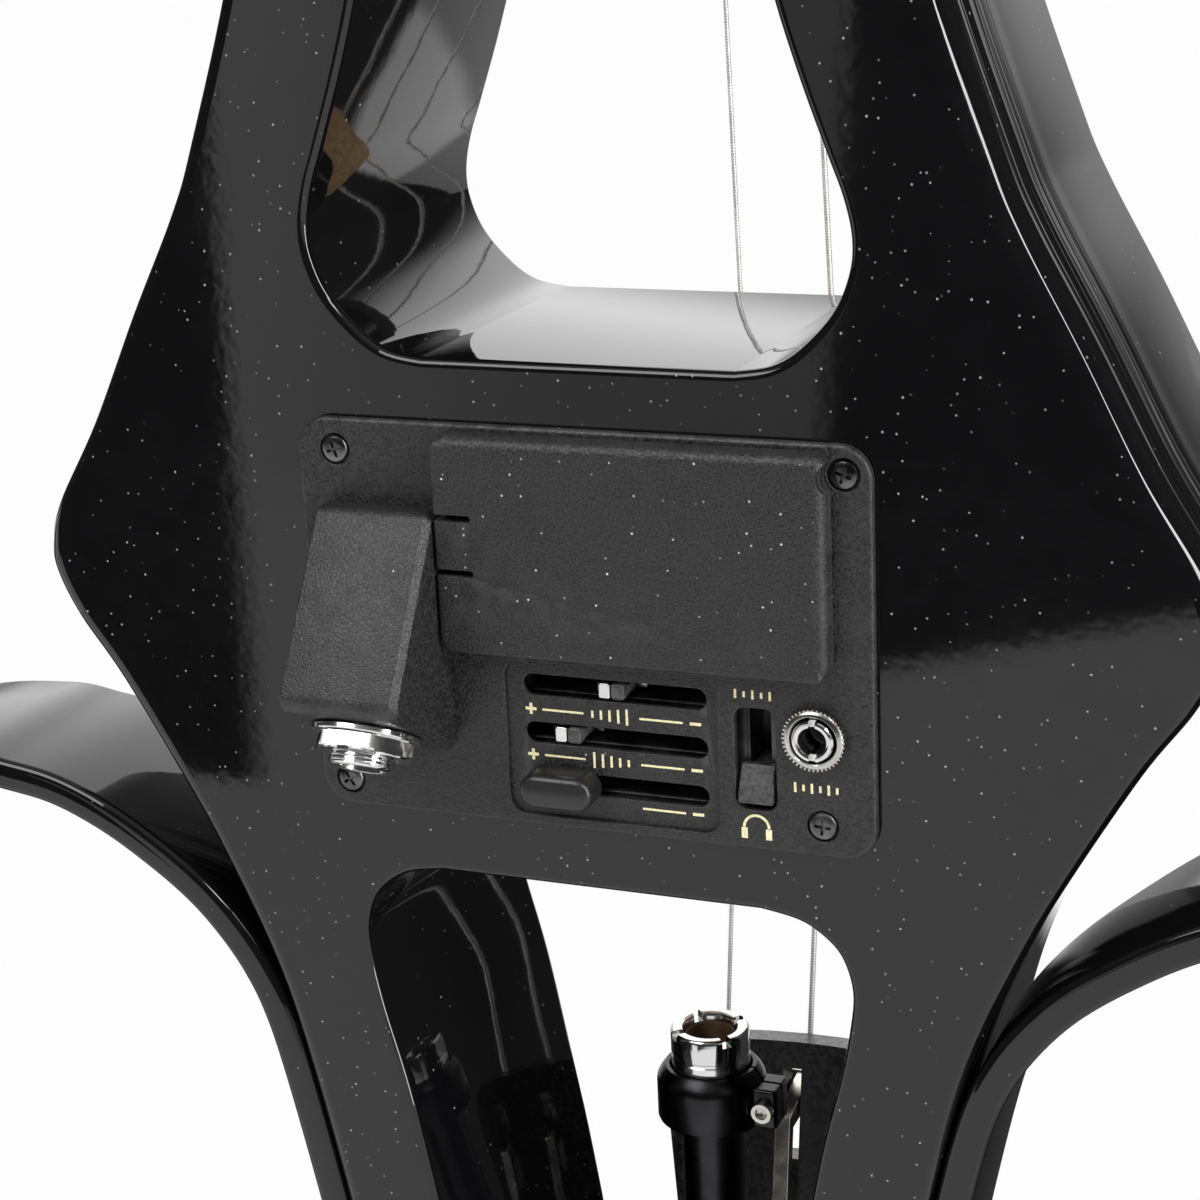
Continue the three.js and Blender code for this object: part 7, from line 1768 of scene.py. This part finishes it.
def make_pegbox():
    rows = []
    for along in (-7.9, 0, 15, 30, 45, 60, 75, 90, 105, 120, 135, 150, 158, 164, 170, 176, 182):
        depth = BOX_DEPTH - BOX_DEPTH_TAPER * box_share(along)
        front = 6.55 * max(along - BOX_LENGTH, 0.0) / 24.0
        loop = strip_loop(wall_at(along), front, depth, 1.8, 1.2)
        rows.append([HEAD @ Vector((across, along, level)) for across, level in loop])
    pegbox = swept("pegbox", "neck_lacquer", rows)
    cavity = []
    for along, slant in ((4.0, 9.0), (134.0, -9.0)):
        depth = BOX_DEPTH - BOX_DEPTH_TAPER * box_share(along) - BOX_FLOOR
        loop = strip_loop(wall_at(along) - BOX_WALL, -3.0, depth, 0.0, 1.5)
        cavity.append([HEAD @ Vector((across, along + slant * level / depth, level)) for across, level in loop])
    cutters = [swept("cutter", "neck_lacquer", cavity),
               block("cutter", "neck_lacquer", -42, 42, 681.0, 695.6, -100, -44.1, 0.02, 0.02, 1),
               block("cutter", "neck_lacquer", -42, 42, 657.0, 689.4, -100, 50, 0.02, 0.02, 1)]
    for name, (_, _, along, _, side, _) in STRINGS.items():
        low, high = (peg_radius(along, side, side * reach) + 0.3 for reach in (-25.0, 25.0))
        cutters.append(lathe("cutter", "neck_lacquer", ((0, -25.0), (low, -25.0), (high, 25.0), (0, 25.0)), 48,
                             peg_axis(name)))
    return carve(pegbox, *cutters)


def make_volute(start, end):
    """A stretch of the volute: a fluted strip wound round the eye while its radius shrinks."""
    steps = round(VOLUTE_TURNS * 56 * (end - start))
    rows = []
    for i in range(steps + 1):
        share = start + (end - start) * i / steps
        turn = (share * VOLUTE_TURNS - 0.19) * 2 * math.pi
        outer = SCROLL_RADIUS * (EYE_RADIUS / SCROLL_RADIUS) ** share
        size = outer / SCROLL_RADIUS
        loop = strip_loop(read_off(SCROLL_WIDTHS, share), 0.35 * outer, outer, 1.8 * size, 0.5 + 1.1 * size)
        rows.append([HEAD @ Vector((across, SCROLL_RISE + radius * math.sin(turn),
                                    SCROLL_DEPTH + radius * math.cos(turn))) for across, radius in loop])
    return swept("volute", "neck_lacquer", rows, 40.0)


def make_neck():
    tongue = swept("tongue", "neck_lacquer", [
        [(across, height, level) for across, level in strip_loop(17.0, under_board(height) + 0.3, -52.3, 0.0, 1.0)]
        for height in (330.0, 421.0)])
    middle = place(*(HEAD @ Vector((0, SCROLL_RISE, SCROLL_DEPTH))))
    eye = lathe("eye", "neck_lacquer", [
        (0, -31.0), (2.0, -31.0), (5.6, -30.7), (7.2, -30.1), (8.0, -28.8), (8.0, 28.8), (7.2, 30.1), (5.6, 30.7),
        (2.0, 31.0), (0, 31.0),
    ], 64, stand(middle, Vector((1, 0, 0))))
    neck = joined("carved_neck", make_neck_shaft(), tongue, make_pegbox(), make_volute(0.0, 0.42),
                  make_volute(0.4, 0.78), make_volute(0.74, 1.0), eye)
    outfit(neck, "neck_lacquer", "neck")


def peg_axis(name):
    _, _, along, depth, side, _ = STRINGS[name]
    blade_way = turn_of(*(HEAD.to_3x3() @ Vector((0, 1, 0))))
    return stand(place(*(HEAD @ Vector((0, along, depth)))), turn_of(side, 0, 0), blade_way)


def make_peg(name):
    along = STRINGS[name][2]
    half, axis = wall_at(along), peg_axis(name)
    collar = half + 1.0
    neck, tip = collar + 5.0, -half - 1.2
    thumb = neck + 9.0
    root = PEG_RADIUS + (collar + half) / (2 * half)
    end = PEG_RADIUS - 1.2 / (2 * half)
    stem = lathe("stem", "ebony", (
        (0, tip), (end - 0.9, tip), (end - 0.3, tip + 0.2), (end, tip + 0.8), (root, collar), (8.1, collar),
        (8.4, collar + 0.3), (8.4, collar + 3.3), (8.25, collar + 3.9), (7.7, collar + 4.4), (6.72, neck),
        (5.6, neck + 0.5), (5.0, neck + 1.4), (4.7, neck + 2.7), (4.6, neck + 4.5), (4.6, thumb + 6), (0, thumb + 6),
    ), 72, axis)
    ball = [(math.sin(math.pi * i / 24), -math.cos(math.pi * i / 24)) for i in range(25)]
    ball = [(0.0 if i in (0, 24) else reach, level) for i, (reach, level) in enumerate(ball)]
    seat = axis @ Matrix.Translation((0, 0, thumb + 12.0))
    blade = lathe("blade", "ebony", ball, 64, seat @ Matrix.Diagonal((12.8, 5.2, 15.0, 1)))
    # Shallow hollows for thumb and finger
    hollows = []
    for way in (-1, 1):
        spot = seat @ Matrix.Translation((0, way * 26.2, 1.5)) @ Matrix.Diagonal((26.0, 22.5, 30.0, 1))
        hollows.append(lathe("cutter", "ebony", ball, 64, spot))
    carve(blade, *hollows)
    pip_seat = axis @ Matrix.Translation((0, 0, thumb + 27.6)) @ Matrix.Diagonal((2.8, 2.8, 2.9, 1))
    pip = lathe("pip", "ebony", ball, 40, pip_seat)
    carve(stem, blade, pip, operation="UNION")
    stem.name = f"turned_peg_{name}"
    outfit(stem, "ebony", f"peg_{name}", body=f"peg_{name}_body")


def make_tuner_screw(name):
    right = STRINGS[name][1] * TAIL_SPACING
    forward = turn_of(*(TAIL.to_3x3() @ Vector((0, 0, -1))))
    axis = stand(place(*(TAIL @ Vector((right, -34.0, 0)))), forward)
    low, high = own_reach(f"tuner_screw_{name}", axis)
    shank = lathe("shank", "nickel", (
        (0, low), (1.4, low), (1.6, low + 0.3), (1.6, high - 2.5), (0, high - 2.5),
    ), 32, axis)
    rise = high - 5.4 - low
    thread = moved(grown("thread", SCREW_THREAD, "nickel", Turns=float(int(rise / 0.7)), Radius=1.6,
                         Rise=rise, Crest=0.18, Level=low + 0.3), axis)
    neck = lathe("neck", "nickel", ((0, high - 6.0), (2.4, high - 6.0), (2.6, high - 5.8), (2.6, high - 4.6),
                                    (0, high - 4.6)), 32, axis)
    grip = fluted_grip("grip", "nickel", 4.6, 9, 0.55, high - 5.0, high, axis)
    outfit(joined(f"fine_screw_{name}", shank, thread, neck, grip), "nickel", f"tuner_screw_{name}",
           body=f"tuner_screw_{name}_body")


SOFT_LIMIT = 34.0


def softened(node, piece_name, edge, body="instrument"):
    """A copy of a node with fine broken edges, its round walls shaded smooth."""
    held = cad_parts[node]
    key = held.material_slots[0].material.name.split(".")[0]
    bm = bmesh.new()
    bm.from_mesh(held.data)
    bmesh.ops.remove_doubles(bm, verts=bm.verts, dist=1e-6)
    bmesh.ops.dissolve_limit(bm, angle_limit=math.radians(0.4), verts=bm.verts, edges=bm.edges)
    for face in bm.faces:
        face.smooth = True
    mark_sharp(bm, SOFT_LIMIT)
    piece = as_piece(to_mesh(bm, piece_name), piece_name, key)
    if edge:
        bevel = piece.modifiers.new("broken_edge", "BEVEL")
        bevel.width = edge * MM
        bevel.segments = 2
        bevel.limit_method = "ANGLE"
        bevel.angle_limit = math.radians(SOFT_LIMIT)
        bevel.use_clamp_overlap = True
    even = piece.modifiers.new("even_shading", "WEIGHTED_NORMAL")
    even.keep_sharp = True
    even.weight = 90
    settle(piece)
    outfit(piece, key, node, body=body)


def soften_nodes():
    for node, edge in (("fingerboard", 0.4), ("nut", 0.3), ("saddle", 0.3), ("bridge", 0.35),
                       ("bridge_pickup", 0.4), ("tailpiece", 0.4)):
        softened(node, f"finished_{node}", edge)
    for name in STRINGS:
        softened(f"tuner_lever_{name}", f"fine_lever_{name}", 0.2, body=f"tuner_lever_{name}_body")


def dress_nodes():
    """Puts the procedural finishes on the CAD nodes that stay."""
    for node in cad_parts.values():
        for held in node.material_slots:
            key = held.material.name.split(".")[0] if held.material else ""
            if key in MATERIALS:
                held.material = MATERIALS[key]


set_camera()
make_body()
make_wing(1)
make_wing(-1)
make_wing_screws()
make_strings()
make_tailgut()
make_lead()
make_housing()
make_lid()
make_levers()
make_knob()
make_selector()
make_slot_works()
make_aux_jack()
make_output_jack()
make_panel_screws()
make_print()
make_endpin_tube()
make_ferrule()
make_stop_collar()
make_foot()
make_holder()
make_neck()
for string_name in STRINGS:
    make_peg(string_name)
    make_tuner_screw(string_name)
soften_nodes()
dress_nodes()
make_ground()
make_floor()
make_world()
make_lights()
bpy.context.scene.view_settings.view_transform = "Standard"
